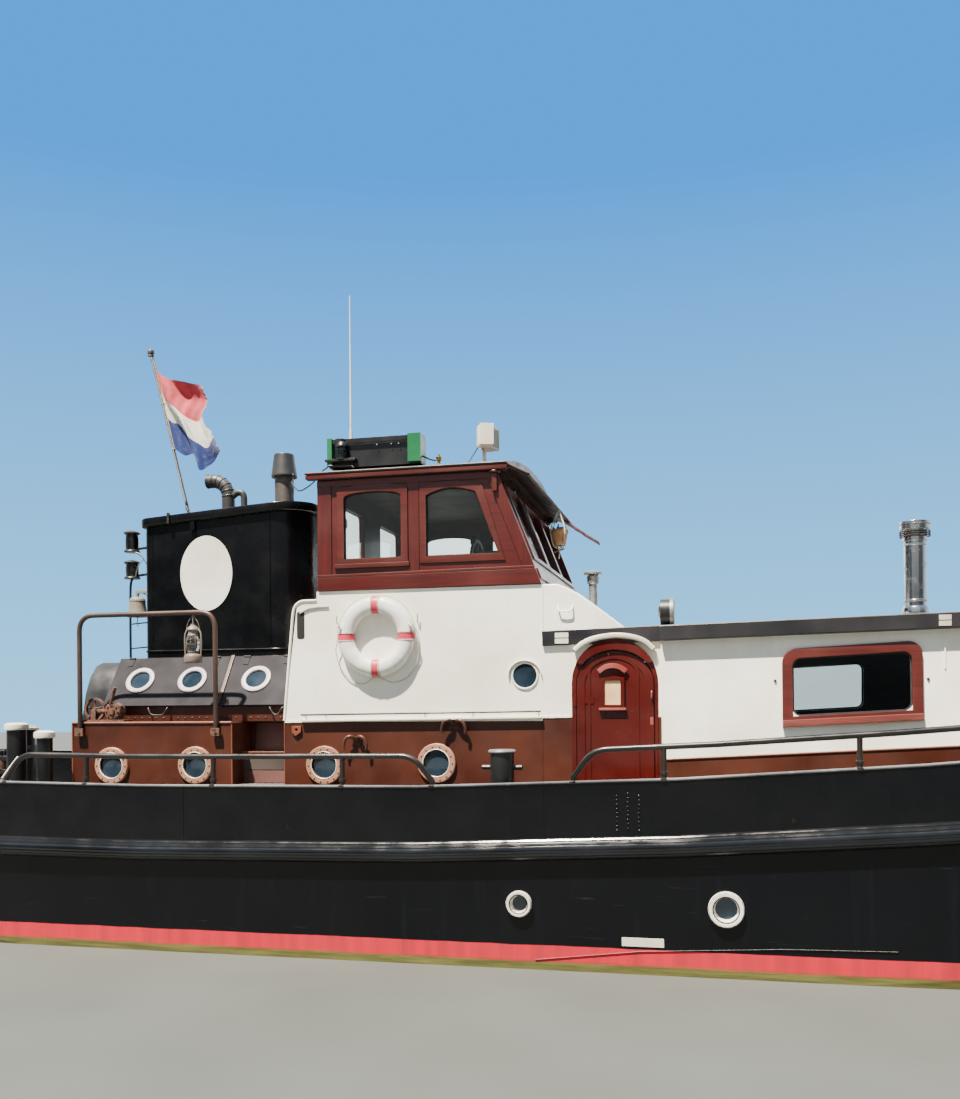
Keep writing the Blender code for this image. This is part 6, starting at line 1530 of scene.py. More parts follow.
def build_lantern():
    """Hurricane lantern hung from the hoop rail."""
    x, y = -2.97, -(HOUSE_HALF + 0.024 + SEAT)
    top = HOOP_TOP - 0.024
    iron = "tin"
    lamp = Fitting("lantern_iron")
    lamp.lathe([(0, -0.46), (0.075, -0.46), (0.085, -0.445), (0.085, -0.395), (0.07, -0.375),
        (0.035, -0.365), (0, -0.365)], (x, y, top), iron)
    lamp.lathe([(0, -0.372), (0.042, -0.372), (0.05, -0.36), (0.05, -0.345), (0, -0.345)], (x, y, top), iron)
    lamp.lathe([(0, -0.348), (0.045, -0.345), (0.064, -0.3), (0.064, -0.25), (0.046, -0.205), (0, -0.2)],
        (x, y, top), "lamp_glass")
    lamp.lathe([(0, -0.205), (0.05, -0.205), (0.054, -0.195), (0.045, -0.18), (0.045, -0.15), (0.058, -0.14),
        (0.05, -0.12), (0.022, -0.1), (0.02, -0.085), (0, -0.085)], (x, y, top), iron)
    for way in (-1, 1):
        path = [(x + way * 0.072, y, top - 0.42), (x + way * 0.082, y, top - 0.36),
            (x + way * 0.086, y, top - 0.25), (x + way * 0.078, y, top - 0.17),
            (x + way * 0.05, y, top - 0.135)]
        lamp.pipe(path, 5, 0.008, iron, 10)
        lamp.pipe([(x + way * 0.075, y, top - 0.18), (x + way * 0.055, y, top - 0.08),
            (x + way * 0.01, y, top - 0.012), (x, y, top - 0.003)], 5, 0.0028, iron, 8)
    for k in range(4):
        a = radians(45 + 90 * k)
        path = [(x + r * cos(a), y + r * sin(a), top + h) for r,
            h in ((0.052, -0.36), (0.068, -0.31), (0.068, -0.25), (0.052, -0.2))]
        lamp.pipe(path, 4, 0.0025, iron, 6)
    lamp.hoop(oblong(0.068, -0.28, 0.072, -0.275), (x, y, top), iron, "Z")
    lamp.tube([(x, y, top - 0.09), (x, y, top + 0.001)], 0.005, iron, 8)
    lamp.done(stands_for=("lantern",), slot="rust", smooth=45)


# White house, doors and salon
HOUSE_PORT = (0.243, 2.372, 0.118)


def build_house_gear():
    """Edges, grab rail, port and blank plates of the white house, and the ring's brackets."""
    trim = Fitting("house_trim")
    for sign in SIGNS:
        y = sign * HOUSE_HALF
        out = y + sign * 0.001
        # Rounded after corner with its rolled edge, the shelf below it in grey white as painted shade, and a
        # near black panel as painted shade inside a slot
        aft = [(-2.052, out, 1.985), (-1.995, out, 2.6), (-1.96, out, 2.96)]
        aft += bend((-1.96, out, 2.96), (-1.935, out, 3.098), (-1.72, out, 3.1), 0.1)
        aft += [(-1.72, out, 3.1)]
        trim.tube(aft, 0.012, "white", 12)
        trim.bar([(-1.886, y + sign * 0.004, 2.984), (-1.8, y + sign * 0.004, 3.024),
            (-1.7, y + sign * 0.004, 3.036), (-1.602, y + sign * 0.004, 3.036)], 0.016, 0.022, "shade")
        trim.panel(rounded(-1.919, 2.745, -1.842, 3.0, 0.02), y + sign * 0.001, 0.004, "dark")
        # Lower edge: a shadow strip, the grab rail on brackets and the ledge
        trim.bar([(-2.05, y + sign * 0.003, 1.972), (0.645, y + sign * 0.003, 2.008)], 0.022, 0.006, "white")
        trim.box((-1.876, y, 1.985), (0.395, y + sign * 0.045, 2.003), "white", 0.004,
            Matrix.Translation((-0.7, 0, 1.99)) @ Matrix.Rotation(-0.01, 4, "Y")
            @ Matrix.Translation((0.7, 0, -1.99)))
        trim.tube([(-1.87, y + sign * 0.042, 2.036), (0.39, y + sign * 0.042, 2.056)], 0.009, "black", 12)
        for x in (-1.84, -1.639, -0.684, -0.239, 0.36):
            z = 2.036 + (x + 1.87) * 0.009
            trim.tube([(x, y, z - 0.006), (x, y + sign * 0.044, z)], 0.007, "black", 10)
        # Joint cover between the house and the lobby
        trim.bar([(0.405, y + sign * 0.002, 2.76), (0.405, y + sign * 0.002, 3.175)], 0.012, 0.006, "white")
        # Handle on the front trunk
        handle = [(0.545, y, 2.985), (0.553, y + sign * 0.03, 2.945), (0.58, y + sign * 0.034, 2.932),
            (0.642, y + sign * 0.034, 2.932), (0.669, y + sign * 0.03, 2.945), (0.677, y, 2.985)]
        trim.pipe(handle, 4, 0.007, "white", 10)
    trim.done(smooth=45)

    port = Fitting("house_port")
    x, z, radius = HOUSE_PORT
    for sign in SIGNS:
        middle = (x, sign * HOUSE_HALF, z)
        port.hoop([(radius - 0.012, -0.03), (radius + 0.006, -0.002), (radius + 0.006, 0.006),
            (radius, 0.012), (radius - 0.008, 0.012), (radius - 0.012, 0.006)], middle, "white", flip=sign,
            steps=56)
        # Opaque dark disc as the glass, its colour painted shade of the room behind
        port.lathe([(0, -0.015), (radius - 0.01, -0.015), (radius - 0.01, 0.002), (0, 0.004)], middle,
            "port_glass", "Y", sign, 56)
        brow = [(x + (radius + 0.03) * cos(radians(a)), sign * (HOUSE_HALF + 0.014),
            z + (radius + 0.018) * sin(radians(a))) for a in range(2, 190, 8)]
        port.bar(brow, 0.008, 0.026, "white")
    port.done(smooth=45)

    plates = Fitting("sign_plates")
    for sign in SIGNS:
        for half, x0, x1, lows, high in ((HOUSE_HALF, 0.519, 0.638, (2.65, 2.702), 0.043),
                (SALON_HALF, 3.647, 3.741, (2.722, 2.77), 0.04)):
            for low in lows:
                plates.box((x0, sign * (half + ROOF_OVER), low),
                    (x1, sign * (half + ROOF_OVER + 0.004), low + high), "plate", 0.001)
    plates.done()

    brackets = Fitting("ring_brackets")
    for way in (-1, 1):
        x = RING_X + way * (RING_OUTER - 0.03)
        path = [(x, -HOUSE_HALF, RING_Z + 0.1), (x, -HOUSE_HALF - 0.118, RING_Z + 0.085),
            (x - way * 0.01, -HOUSE_HALF - 0.124, RING_Z + 0.11)]
        brackets.bar(smooth_route(path, 5), 0.006, 0.022, "white", up=(1, 0, 0))
        hook = [(x + way * 0.045, -HOUSE_HALF, RING_Z + 0.13),
            (x + way * 0.05, -HOUSE_HALF - 0.03, RING_Z + 0.13),
            (x + way * 0.052, -HOUSE_HALF - 0.034, RING_Z + 0.2)]
        brackets.pipe(hook, 4, 0.005, "zinc", 8)
    brackets.done(smooth=45)


def build_door(side, sign):
    """Raised panels, window, handle and ledges of a side door, and the surround with its gutter."""
    body = f"door_{side}"
    leaf = Fitting(f"door_gear_{side}")
    face = sign * (HOUSE_HALF + 0.004)
    outer = arched(DOOR_AFT + 0.012, DOOR_SILL + 0.012, DOOR_FORE - 0.012, DOOR_SPRING, DOOR_CROWN - 0.012)
    inner = arched(DOOR_AFT + 0.082, DOOR_SILL + 0.12, DOOR_FORE - 0.082, DOOR_SPRING, DOOR_CROWN - 0.075)
    leaf.panel(outer, face + sign * 0.004, 0.01, "door", (inner,), 0.003)
    panel = arched(0.8, DOOR_SILL + 0.16, 1.25, 2.392, 2.535)
    hollow = arched(0.828, DOOR_SILL + 0.188, 1.222, 2.38, 2.508)
    leaf.panel(panel, face + sign * 0.003, 0.009, "door", (hollow,), 0.003)
    # Small window with its frame, sill, hood and pane
    frame = oblong(0.915, 2.075, 1.123, 2.345)
    light = oblong(0.95, 2.108, 1.088, 2.318)
    leaf.panel(frame, face + sign * 0.011, 0.022, "door", (light,), 0.004)
    leaf.panel(oblong(0.948, 2.106, 1.09, 2.32), face + sign * 0.006, 0.006, "cream")
    leaf.panel(oblong(0.957, 1.992, 1.123, 2.11), face - sign * 0.02, 0.03, "door")
    leaf.box((0.9, face, 2.06), (1.138, face + sign * 0.034, 2.082), "door_sill", 0.005)
    hood = [(0.9, face + sign * 0.022, 2.398), (0.955, face + sign * 0.022, 2.435),
        (1.019, face + sign * 0.022, 2.448), (1.083, face + sign * 0.022, 2.435),
        (1.138, face + sign * 0.022, 2.398)]
    leaf.bar(smooth_route(hood, 5), 0.044, 0.014, "door_sill")
    # Long handle, key plate and a bright screw
    grip = [(1.356, face, 2.225), (1.356, face + sign * 0.03, 2.218), (1.356, face + sign * 0.033, 2.19),
        (1.356, face + sign * 0.03, 2.162), (1.356, face, 2.155)]
    leaf.pipe(grip, 5, 0.006, "door_sill", 12)
    leaf.panel(rounded(1.341, 1.93, 1.369, 2.00, 0.01), face + sign * 0.01, 0.004, "door_sill")
    leaf.lathe([(0, 0), (0.008, 0), (0.006, 0.004), (0, 0.005)], (0.985, face + sign * 0.009, 2.548),
        "brass", "Y", sign, 12)
    leaf.done(body=body, slot="door_red", smooth=40)

    gutter = Fitting(f"door_gutter_{side}")
    y = sign * (HOUSE_HALF + 0.034)
    route = [(0.695, y, 2.588), (0.77, y, 2.648), (0.88, y, 2.69), (1.045, y, 2.71), (1.2, y, 2.692),
        (1.305, y, 2.65), (1.375, y, 2.586)]
    gutter.bar(smooth_route(route, 6), 0.048, 0.052, "white_gear")
    # Red surround that stands proud of the wall, its arch over the roof's edge
    surround = arched(0.661, DOOR_SILL, 1.411, 2.3, 2.684)
    leaf_gap = arched(DOOR_AFT + 0.001, DOOR_SILL - 0.01, DOOR_FORE - 0.001, DOOR_SPRING, DOOR_CROWN)
    gutter.panel(surround, sign * (HOUSE_HALF + 0.004), 0.012, "door", (leaf_gap,), 0.002)
    swing = arched(DOOR_AFT - 0.004, DOOR_SILL, DOOR_FORE + 0.004, DOOR_SPRING, DOOR_CROWN + 0.004)
    crown = [(u, v) for u, v in surround if v > 2.43] + [(u, v) for u, v in swing if v > 2.43][::-1]
    gutter.panel(crown, sign * (HOUSE_HALF + 0.0175), 0.035, "door")
    # Jambs and sill round the opening
    for x in (DOOR_AFT - 0.012, DOOR_FORE + 0.012):
        gutter.bar([(x, sign * (HOUSE_HALF + 0.001), DOOR_SILL), (x, sign * (HOUSE_HALF + 0.001), 2.0)],
            0.014, 0.006, "casing")
    gutter.box((DOOR_AFT - 0.01, sign * (HOUSE_HALF - 0.04), DOOR_SILL - 0.03),
        (DOOR_FORE + 0.01, sign * (HOUSE_HALF + 0.03), DOOR_SILL), "brass", 0.004)
    gutter.bar([(1.45, sign * (HOUSE_HALF + 0.012), 1.62), (1.447, sign * (HOUSE_HALF + 0.012), 2.63)], 0.02,
        0.014, "white")
    gutter.done(smooth=45)


# Window frame seen flat: square lower corners, round upper ones
def salon_frame(aft, foot, inset, grow_by=0.0, low_radius=0.0):
    radius = 0.115 - inset * 0.6
    low, high = inset - grow_by, WINDOW_HIGH - inset + grow_by
    near, far = inset - grow_by, WINDOW_WIDE - inset + grow_by
    flat = [(near, low), (far, low)]
    if low_radius:
        flat = arc((near + low_radius, low + low_radius), low_radius, 180, 270, 6)
        flat += arc((far - low_radius, low + low_radius), low_radius, 270, 360, 6)
    flat += arc((far - radius, high - radius), radius, 0, 90, 8)
    flat += arc((near + radius, high - radius), radius, 90, 180, 8)
    return [(aft + u, foot + v + SALON_RISE * u) for u, v in flat]


def build_salon_gear(sizes):
    """Window frames, panes and edge lines of the salon."""
    for side, sign in SIDES:
        lean = Matrix.Rotation(SALON_LEAN * sign, 4, "X")
        wood_frames = Fitting(f"salon_frames_{side}")
        for aft in SALON_WINDOWS:
            foot = WINDOW_LOW - PLINTH_TOP + SALON_RISE * (aft - SALON_WINDOWS[0])
            out = sign * (SALON_HALF - WALL / 2 - 0.003)
            place = (0, out + sign * (WALL / 2 + 0.014), PLINTH_TOP)
            wood_frames.plate(salon_frame(aft, foot, 0, 0.004), place, 0.034, "XZ", "frame_x",
                (salon_frame(aft, foot, FRAME_WIDE + 0.006),), 0.007, lean)
            beading = (0, out + sign * (WALL / 2 - 0.004), PLINTH_TOP)
            wood_frames.plate(salon_frame(aft, foot, FRAME_WIDE - 0.016), beading, 0.02, "XZ", "rubber",
                (salon_frame(aft, foot, FRAME_WIDE + 0.016, 0.0, 0.055),), 0.003, lean)
            wood_frames.plate(salon_frame(aft, foot, FRAME_WIDE - 0.01), (0, out, PLINTH_TOP), sizes.pane,
                "XZ", "glass", (), 0.001, lean)
            sill = [(aft - 0.004, foot - 0.006),
                (aft + WINDOW_WIDE + 0.004, foot - 0.006 + SALON_RISE * WINDOW_WIDE),
                (aft + WINDOW_WIDE + 0.004, foot + 0.052 + SALON_RISE * WINDOW_WIDE),
                (aft - 0.004, foot + 0.052)]
            wood_frames.plate(sill, (0, place[1] + sign * 0.01, PLINTH_TOP), 0.036, "XZ", "sill_x", (),
                0.006, lean)
            for u in (-0.06, WINDOW_WIDE + 0.045):
                y = out + sign * (WALL / 2)
                spot = lean @ Vector((0, 0, foot + WINDOW_HIGH * 0.6))
                wood_frames.lathe([(0, -0.002), (0.012, -0.002), (0.012, 0.006), (0.006, 0.016), (0, 0.018)],
                    (aft + u, y + spot.y, PLINTH_TOP + spot.z), "black", "Y", sign, 14)
        wood_frames.done(slot="mahogany", smooth=40)
        line = Fitting(f"salon_lines_{side}")
        # Small upright fitting forward of the first window, and the plinth's edge strip in lighter brown as
        # a painted highlight
        spot_y = sign * (SALON_HALF - (2.48 - PLINTH_TOP) * tan(SALON_LEAN) + 0.004)
        line.bar([(3.705, spot_y + sign * 0.002, 2.381), (3.705, spot_y - sign * 0.004, 2.576)], 0.012,
            0.014, "white")
        edge = [(x, sign * (SALON_HALF + 0.001), PLINTH_TOP + SALON_RISE * (x - SALON_AFT) - 0.004)
            for x in (SALON_AFT + 0.002, SALON_FORE - 0.002)]
        line.tube(edge, 0.009, "casing_edge", 12)
        line.done()

    front = Fitting("salon_front_panes")
    foot = PLINTH_TOP + SALON_RISE * (SALON_FORE - SALON_AFT) + SEAT
    for y in (-0.85, 0, 0.85):
        outer = rounded(y - 0.36, foot + 0.16, y + 0.36, foot + 0.66, 0.1)
        inner = rounded(y - 0.315, foot + 0.205, y + 0.315, foot + 0.615, 0.075)
        front.plate(outer, (SALON_FORE + 0.008, 0, 0), 0.022, "YZ", "frame_y", (inner,), 0.005)
        front.plate(rounded(y - 0.325, foot + 0.195, y + 0.325, foot + 0.625, 0.08),
            (SALON_FORE - WALL / 2, 0, 0), sizes.pane, "YZ", "glass", (), 0.001)
    front.done(slot="mahogany")


def build_roof_gear():
    """Bands and cap of the flue, the searchlight's glass and the vent's cowl."""
    flue = Fitting("flue_bands")
    x, y = 3.64, -0.6
    (_, _, foot), (_, _, top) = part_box("flue")
    flue.lathe([(0.098, 0), (0.112, 0), (0.114, 0.012), (0.11, 0.05), (0.104, 0.056), (0.1, 0.07),
        (0.098, 0.07)], (x, y, foot + 0.004), "steel", steps=40)
    for z in (foot + 0.12, foot + 0.62):
        flue.hoop([(0.094, -0.012), (0.0985, -0.008), (0.1, 0), (0.0985, 0.008), (0.094, 0.012)], (x, y, z),
            "steel", "Z", steps=40)
    flue.lathe([(0, -0.002), (0.128, -0.002), (0.133, 0.002), (0.125, 0.012), (0.05, 0.03), (0, 0.034)],
        (x, y, top - 0.03), "rust_dark", steps=40)
    for z in (top - 0.13, top - 0.11, top - 0.09):
        flue.hoop(oblong(0.118, -0.004, 0.132, 0.004), (x, y, z), "rust_dark", "Z", steps=40)
    flue.done(smooth=40)

    lamp = Fitting("searchlight_glass")
    low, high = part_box("searchlight")
    z = high[2] - 0.13
    lamp.lathe([(0, 0), (0.115, 0), (0.105, 0.012), (0, 0.022)], (high[0] - 0.004, 0, z), "lamp_glass", "X",
        1, 36)
    lamp.hoop([(0.112, -0.02), (0.134, -0.02), (0.134, 0.012), (0.128, 0.018), (0.112, 0.012)],
        (high[0] - 0.004, 0, z), "zinc", "X", 1, 40)
    lamp.lathe([(0, 0), (0.09, 0), (0.06, 0.02), (0, 0.028)], (low[0] + 0.002, 0, z), "black", "X", -1, 32)
    lamp.done(smooth=45)

    cowl = Fitting("vent_cowl")
    (x0, y0, _), (x1, y1, top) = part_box("vent")
    x, y = (x0 + x1) / 2, (y0 + y1) / 2
    # Columns: profile of the drum and of the disc above it
    for profile in (((0, -0.135), (0.048, -0.135), (0.06, -0.122), (0.062, -0.05), (0.05, -0.04),
            (0, -0.04)), ((0, -0.035), (0.092, -0.035), (0.096, -0.028), (0.094, -0.012), (0.05, 0.002),
            (0, 0.004))):
        cowl.lathe(profile, (x, y, top), "zinc", steps=36)
    cowl.tube([(x, y, 2.95), (x, y, top - 0.12)], 0.043, "zinc", 28)
    for k in range(4):
        a = radians(45 + 90 * k)
        spot = (x + 0.055 * cos(a), y + 0.055 * sin(a))
        cowl.tube([(*spot, top - 0.06), (*spot, top - 0.02)], 0.006, "zinc", 8)
    cowl.done(stands_for=("vent",), slot="steel", smooth=45)


# Wheelhouse
WH_POST = 0.27
FORE_WINDOW_AFT = -0.66
AFT_WINDOW = (-1.447, -0.888)
WHEEL, WHEEL_RIM = (-0.4403, -0.3, 3.46), (0.285, 0.315)
WH_ROOF_HALF, WH_ROOF_CROWN = 1.49, 0.18


def crown(y):
    """Rise of the wheelhouse roof's curve."""
    return WH_ROOF_CROWN * (1 - (y / WH_ROOF_HALF) ** 2)


def aft_window(grow_by=0.0):
    """Upright window with a bowed head."""
    return arched(AFT_WINDOW[0] - grow_by, SILL_Z - grow_by, AFT_WINDOW[1] + grow_by,
        HEAD_Z - 0.045 + grow_by, HEAD_Z + 0.005 + grow_by, 16)


def fore_window(grow_by=0.0):
    """Raked window with a bowed head."""
    low_fore = rake_x(SILL_Z) - WH_POST + grow_by
    high_fore = rake_x(HEAD_Z) - WH_POST + 0.03 + grow_by
    low, aft = SILL_Z - grow_by, FORE_WINDOW_AFT - grow_by
    head = [(high_fore, HEAD_Z - 0.045 + grow_by)]
    for k in range(1, 12):
        t = k / 12
        head.append((high_fore + (aft - high_fore) * t, HEAD_Z - 0.045 + grow_by + 0.05 * sin(pi * t)
            - 0.01 * t))
    head.append((aft, HEAD_Z - 0.06 + grow_by))
    return [(aft, low), (low_fore, low), *head]


def build_wheelhouse_gear(sizes):
    """Windows, boards and roof trim of the wheelhouse, and the visor's weathered boards."""
    for side, sign in SIDES:
        face = sign * HOUSE_HALF
        joinery = Fitting(f"wheelhouse_joinery_{side}")
        # Sashes round both windows
        joinery.panel(aft_window(0.062), face + sign * 0.008, 0.02, "frame_x", (aft_window(-0.006),), 0.005)
        joinery.panel(fore_window(0.058), face + sign * 0.006, 0.016, "frame_x", (fore_window(-0.006),),
            0.005)
        for window in (aft_window, fore_window):
            joinery.panel(window(0.002), face - sign * 0.02, 0.012, "rubber", (window(-0.014),), 0.002)
            joinery.panel(window(0.004), face - sign * 0.026, sizes.pane, "glass", (), 0.001)
        # Base band with its bead, sill lip, corner and raked posts, head board
        foot = HOUSE_TOP + 0.006
        joinery.panel([(WH_AFT - 0.004, foot), (rake_x(foot) + 0.002, foot), (rake_x(3.32) + 0.002, 3.325),
            (WH_AFT - 0.004, 3.305)], face + sign * 0.008, 0.022, "mahogany_x", (), 0.006)
        joinery.bar([(WH_AFT, face + sign * 0.012, 3.318), (rake_x(3.33), face + sign * 0.012, 3.338)],
            0.026, 0.016, "frame_x")
        joinery.bar([(-1.535, face + sign * 0.014, 3.405), (-0.815, face + sign * 0.014, 3.408)], 0.04,
            0.018, "frame_x")
        joinery.panel([(WH_AFT - 0.003, 3.33), (WH_AFT + 0.135, 3.33), (WH_AFT + 0.135, 4.2),
            (WH_AFT - 0.003, 4.19)], face + sign * 0.004, 0.012, "mahogany_z", (), 0.004)
        joinery.panel(oblong(-0.822, 3.345, -0.722, 4.2), face + sign * 0.003, 0.01, "mahogany_z", (), 0.003)
        rake_post = [(rake_x(3.345) - 0.105, 3.345), (rake_x(3.345) + 0.004, 3.345),
            (rake_x(4.2) + 0.004, 4.2), (rake_x(4.2) - 0.105, 4.2)]
        joinery.panel(rake_post, face + sign * 0.007, 0.02, "mahogany_z", (), 0.006)
        joinery.panel([(WH_AFT - 0.004, 4.145), (rake_x(4.145) - 0.1, 4.145), (rake_x(4.205) - 0.1, 4.205),
            (WH_AFT - 0.004, 4.205)], face + sign * 0.006, 0.016, "mahogany_x", (), 0.004)
        # Lamp bracket under the visor's corner
        joinery.box((-0.035, face, 4.02), (0.012, face + sign * 0.045, 4.185), "mahogany_z", 0.008)
        joinery.lathe([(0, 0), (0.042, 0), (0.05, 0.014), (0.036, 0.034), (0, 0.042)],
            (-0.012, face + sign * 0.022, 4.185), "mahogany_z", steps=24)
        joinery.done(slot="mahogany", smooth=40)

    rake = atan2(HOUSE_FRONT - WH_RAKE_TOP, WH_TOP - HOUSE_TOP)
    half = HOUSE_HALF - WALL - SEAT
    pane = (2 * half - 0.4) / 3
    front = Fitting("wheelhouse_front_joinery")
    lean = Matrix.Rotation(-rake, 4, "Y")
    for number in range(3):
        start_y = -half + 0.1 + number * (pane + 0.1)
        hole = rounded(start_y + 0.004, 0.304, start_y + pane - 0.004, 0.976, 0.03, 4)
        outer = rounded(start_y - 0.045, 0.255, start_y + pane + 0.045, 1.025, 0.03, 4)
        front.plate(outer, (HOUSE_FRONT, 0, HOUSE_TOP), 0.022, "YZ", "frame_y", (hole,), 0.006,
            lean @ Matrix.Translation((0.006, 0, 0)))
        front.plate(rounded(start_y - 0.004, 0.296, start_y + pane + 0.004, 0.984, 0.02, 4),
            (HOUSE_FRONT, 0, HOUSE_TOP), sizes.pane, "YZ", "front_glass", (), 0.001,
            lean @ Matrix.Translation((-WALL / 2, 0, 0)))
    front.plate(oblong(-half, 0.06, half, 0.16), (HOUSE_FRONT, 0, HOUSE_TOP), 0.024, "YZ", "mahogany_y", (),
        0.006, lean @ Matrix.Translation((0.004, 0, 0)))
    # Wipers
    for number in (0, 2):
        start_y = -half + 0.1 + number * (pane + 0.1) + pane * 0.5
        front.place = Matrix.Translation((HOUSE_FRONT, 0, HOUSE_TOP)) @ lean
        front.tube([(0.03, start_y, 1.01), (0.034, start_y + 0.1, 0.78)], 0.006, "black", 8)
        front.bar([(0.028, start_y + 0.06, 0.93), (0.026, start_y + 0.145, 0.6)], 0.01, 0.016, "black",
            up=(1, 0, 0))
        front.lathe([(0, 0), (0.028, 0), (0.024, 0.02), (0, 0.03)], (0.012, start_y, 1.01), "black", "X")
        front.place = Matrix.Identity(4)
    front.done(slot="mahogany", smooth=40)

    back = Fitting("wheelhouse_back_joinery")
    for y in (-0.62, 0.62):
        back.plate(rounded(y - 0.42, SILL_Z - 0.06, y + 0.42, HEAD_Z + 0.03, 0.06), (WH_AFT - 0.006, 0, 0),
            0.018, "YZ", "frame_y", (rounded(y - 0.355, SILL_Z + 0.005, y + 0.355, HEAD_Z - 0.025, 0.05),),
            0.005)
        back.plate(rounded(y - 0.362, SILL_Z - 0.002, y + 0.362, HEAD_Z - 0.018, 0.05),
            (WH_AFT + WALL / 2, 0, 0), sizes.pane, "YZ", "glass", (), 0.001)
    back.done(slot="mahogany", smooth=40)

    roof = Fitting("wheelhouse_roof_trim")
    for sign in SIGNS:
        y = sign * WH_ROOF_HALF
        roof.bar([(-1.795, y + sign * 0.004, 4.232), (0.108, y + sign * 0.004, 4.232)], 0.036, 0.01,
            "mahogany_x")
        roof.tube([(-1.8, y + sign * 0.004, 4.268), (0.112, y + sign * 0.004, 4.268)], 0.013, "roof_lip", 12)
    roof.tube([(-1.795, y, 4.273 + crown(y)) for y in [-WH_ROOF_HALF + 2.98 * k / 24 for k in range(25)]],
        0.012, "roof_lip", 12)
    roof.box((WH_AFT + 0.055, -1.36, 4.252), (-0.1, 1.36, 4.262), "ceiling")
    roof.tube([(0.295, -1.455, 4.158), (0.295, 1.455, 4.158)], 0.013, "roof_lip", 12)
    for sign in SIGNS:
        roof.tube([(0.08, sign * 1.458, 4.272), (0.295, sign * 1.458, 4.162)], 0.011, "roof_lip", 12)
    roof.done(smooth=45)

    flaps = Fitting("visor_boards")
    # Weathered board that has dropped at the visor's port end, and its two hanging slats
    for y0, y1, path in ((1.2, 1.44, ((0.23, 4.19), (0.43, 4.05), (0.6, 3.935))),
            (0.98, 1.16, ((0.25, 4.17), (0.36, 4.08), (0.46, 4.01)))):
        for (x0, z0), (x1, z1) in zip(path, path[1:]):
            flaps.panel([(x0 - 0.004, z0 + 0.008), (x0 - 0.012, z0 - 0.012), (x1, z1 - 0.012),
                (x1 + 0.008, z1 + 0.006)], (y0 + y1) / 2, y1 - y0, "board_red", (), 0.003)
    flaps.tube([(0.285, 1.3, 4.165), (0.31, 1.3, 4.13)], 0.005, "zinc", 8)
    flaps.done(smooth=30)


def build_hanging_pot():
    """Terracotta pot in a knotted cord sling under the visor, with a dry plant."""
    x, y = 0.3, 0.286
    pot = Fitting("hanging_pot")
    pot.lathe([(0, 0), (0.064, 0), (0.076, 0.03), (0.092, 0.125), (0.1, 0.13), (0.1, 0.165), (0.091, 0.168),
        (0.084, 0.14), (0, 0.135)], (x, y, 3.765), "clay", steps=36)
    pot.lathe([(0, -0.002), (0.086, 0.0), (0.076, 0.012), (0, 0.016)], (x, y, 3.902), "lash", steps=24)
    for k in range(4):
        a = radians(45 + 90 * k)
        c, s = cos(a), sin(a)
        path = [(x, y, 3.735), (x + 0.06 * c, y + 0.06 * s, 3.758), (x + 0.091 * c, y + 0.091 * s, 3.83),
            (x + 0.105 * c, y + 0.105 * s, 3.935), (x + 0.05 * c, y + 0.05 * s, 4.05), (x, y, 4.145)]
        pot.pipe(path, 5, 0.0055, "rope", 8)
    pot.tube([(x, y, 4.14), (x - 0.01, y, 4.165)], 0.004, "zinc", 8)
    # Tail of the sling with its wooden stretcher
    pot.pipe([(x, y, 3.737), (x + 0.006, y, 3.69), (x - 0.004, y + 0.004, 3.63)], 4, 0.008, "rope", 8)
    pot.tube([(x - 0.05, y, 3.7), (x + 0.06, y, 3.735)], 0.008, "board", 10)
    for k in range(16):
        a = k * 2.399
        reach, rise = 0.05 + 0.045 * ((k * 7) % 5) / 5, 0.02 + 0.04 * ((k * 3) % 7) / 7
        c, s = cos(a), sin(a)
        tip = (x + reach * 1.6 * c, y + reach * 1.6 * s, 3.91 + rise * (1 if k % 3 else -0.4))
        path = smooth_route(
            [(x + 0.02 * c, y + 0.02 * s, 3.91), (x + reach * c, y + reach * s, 3.925 + rise), tip], 4)
        pot.bar(path, 0.014, 0.002, "leaf", up=(c, s, 0.2))
    pot.done(smooth=45)


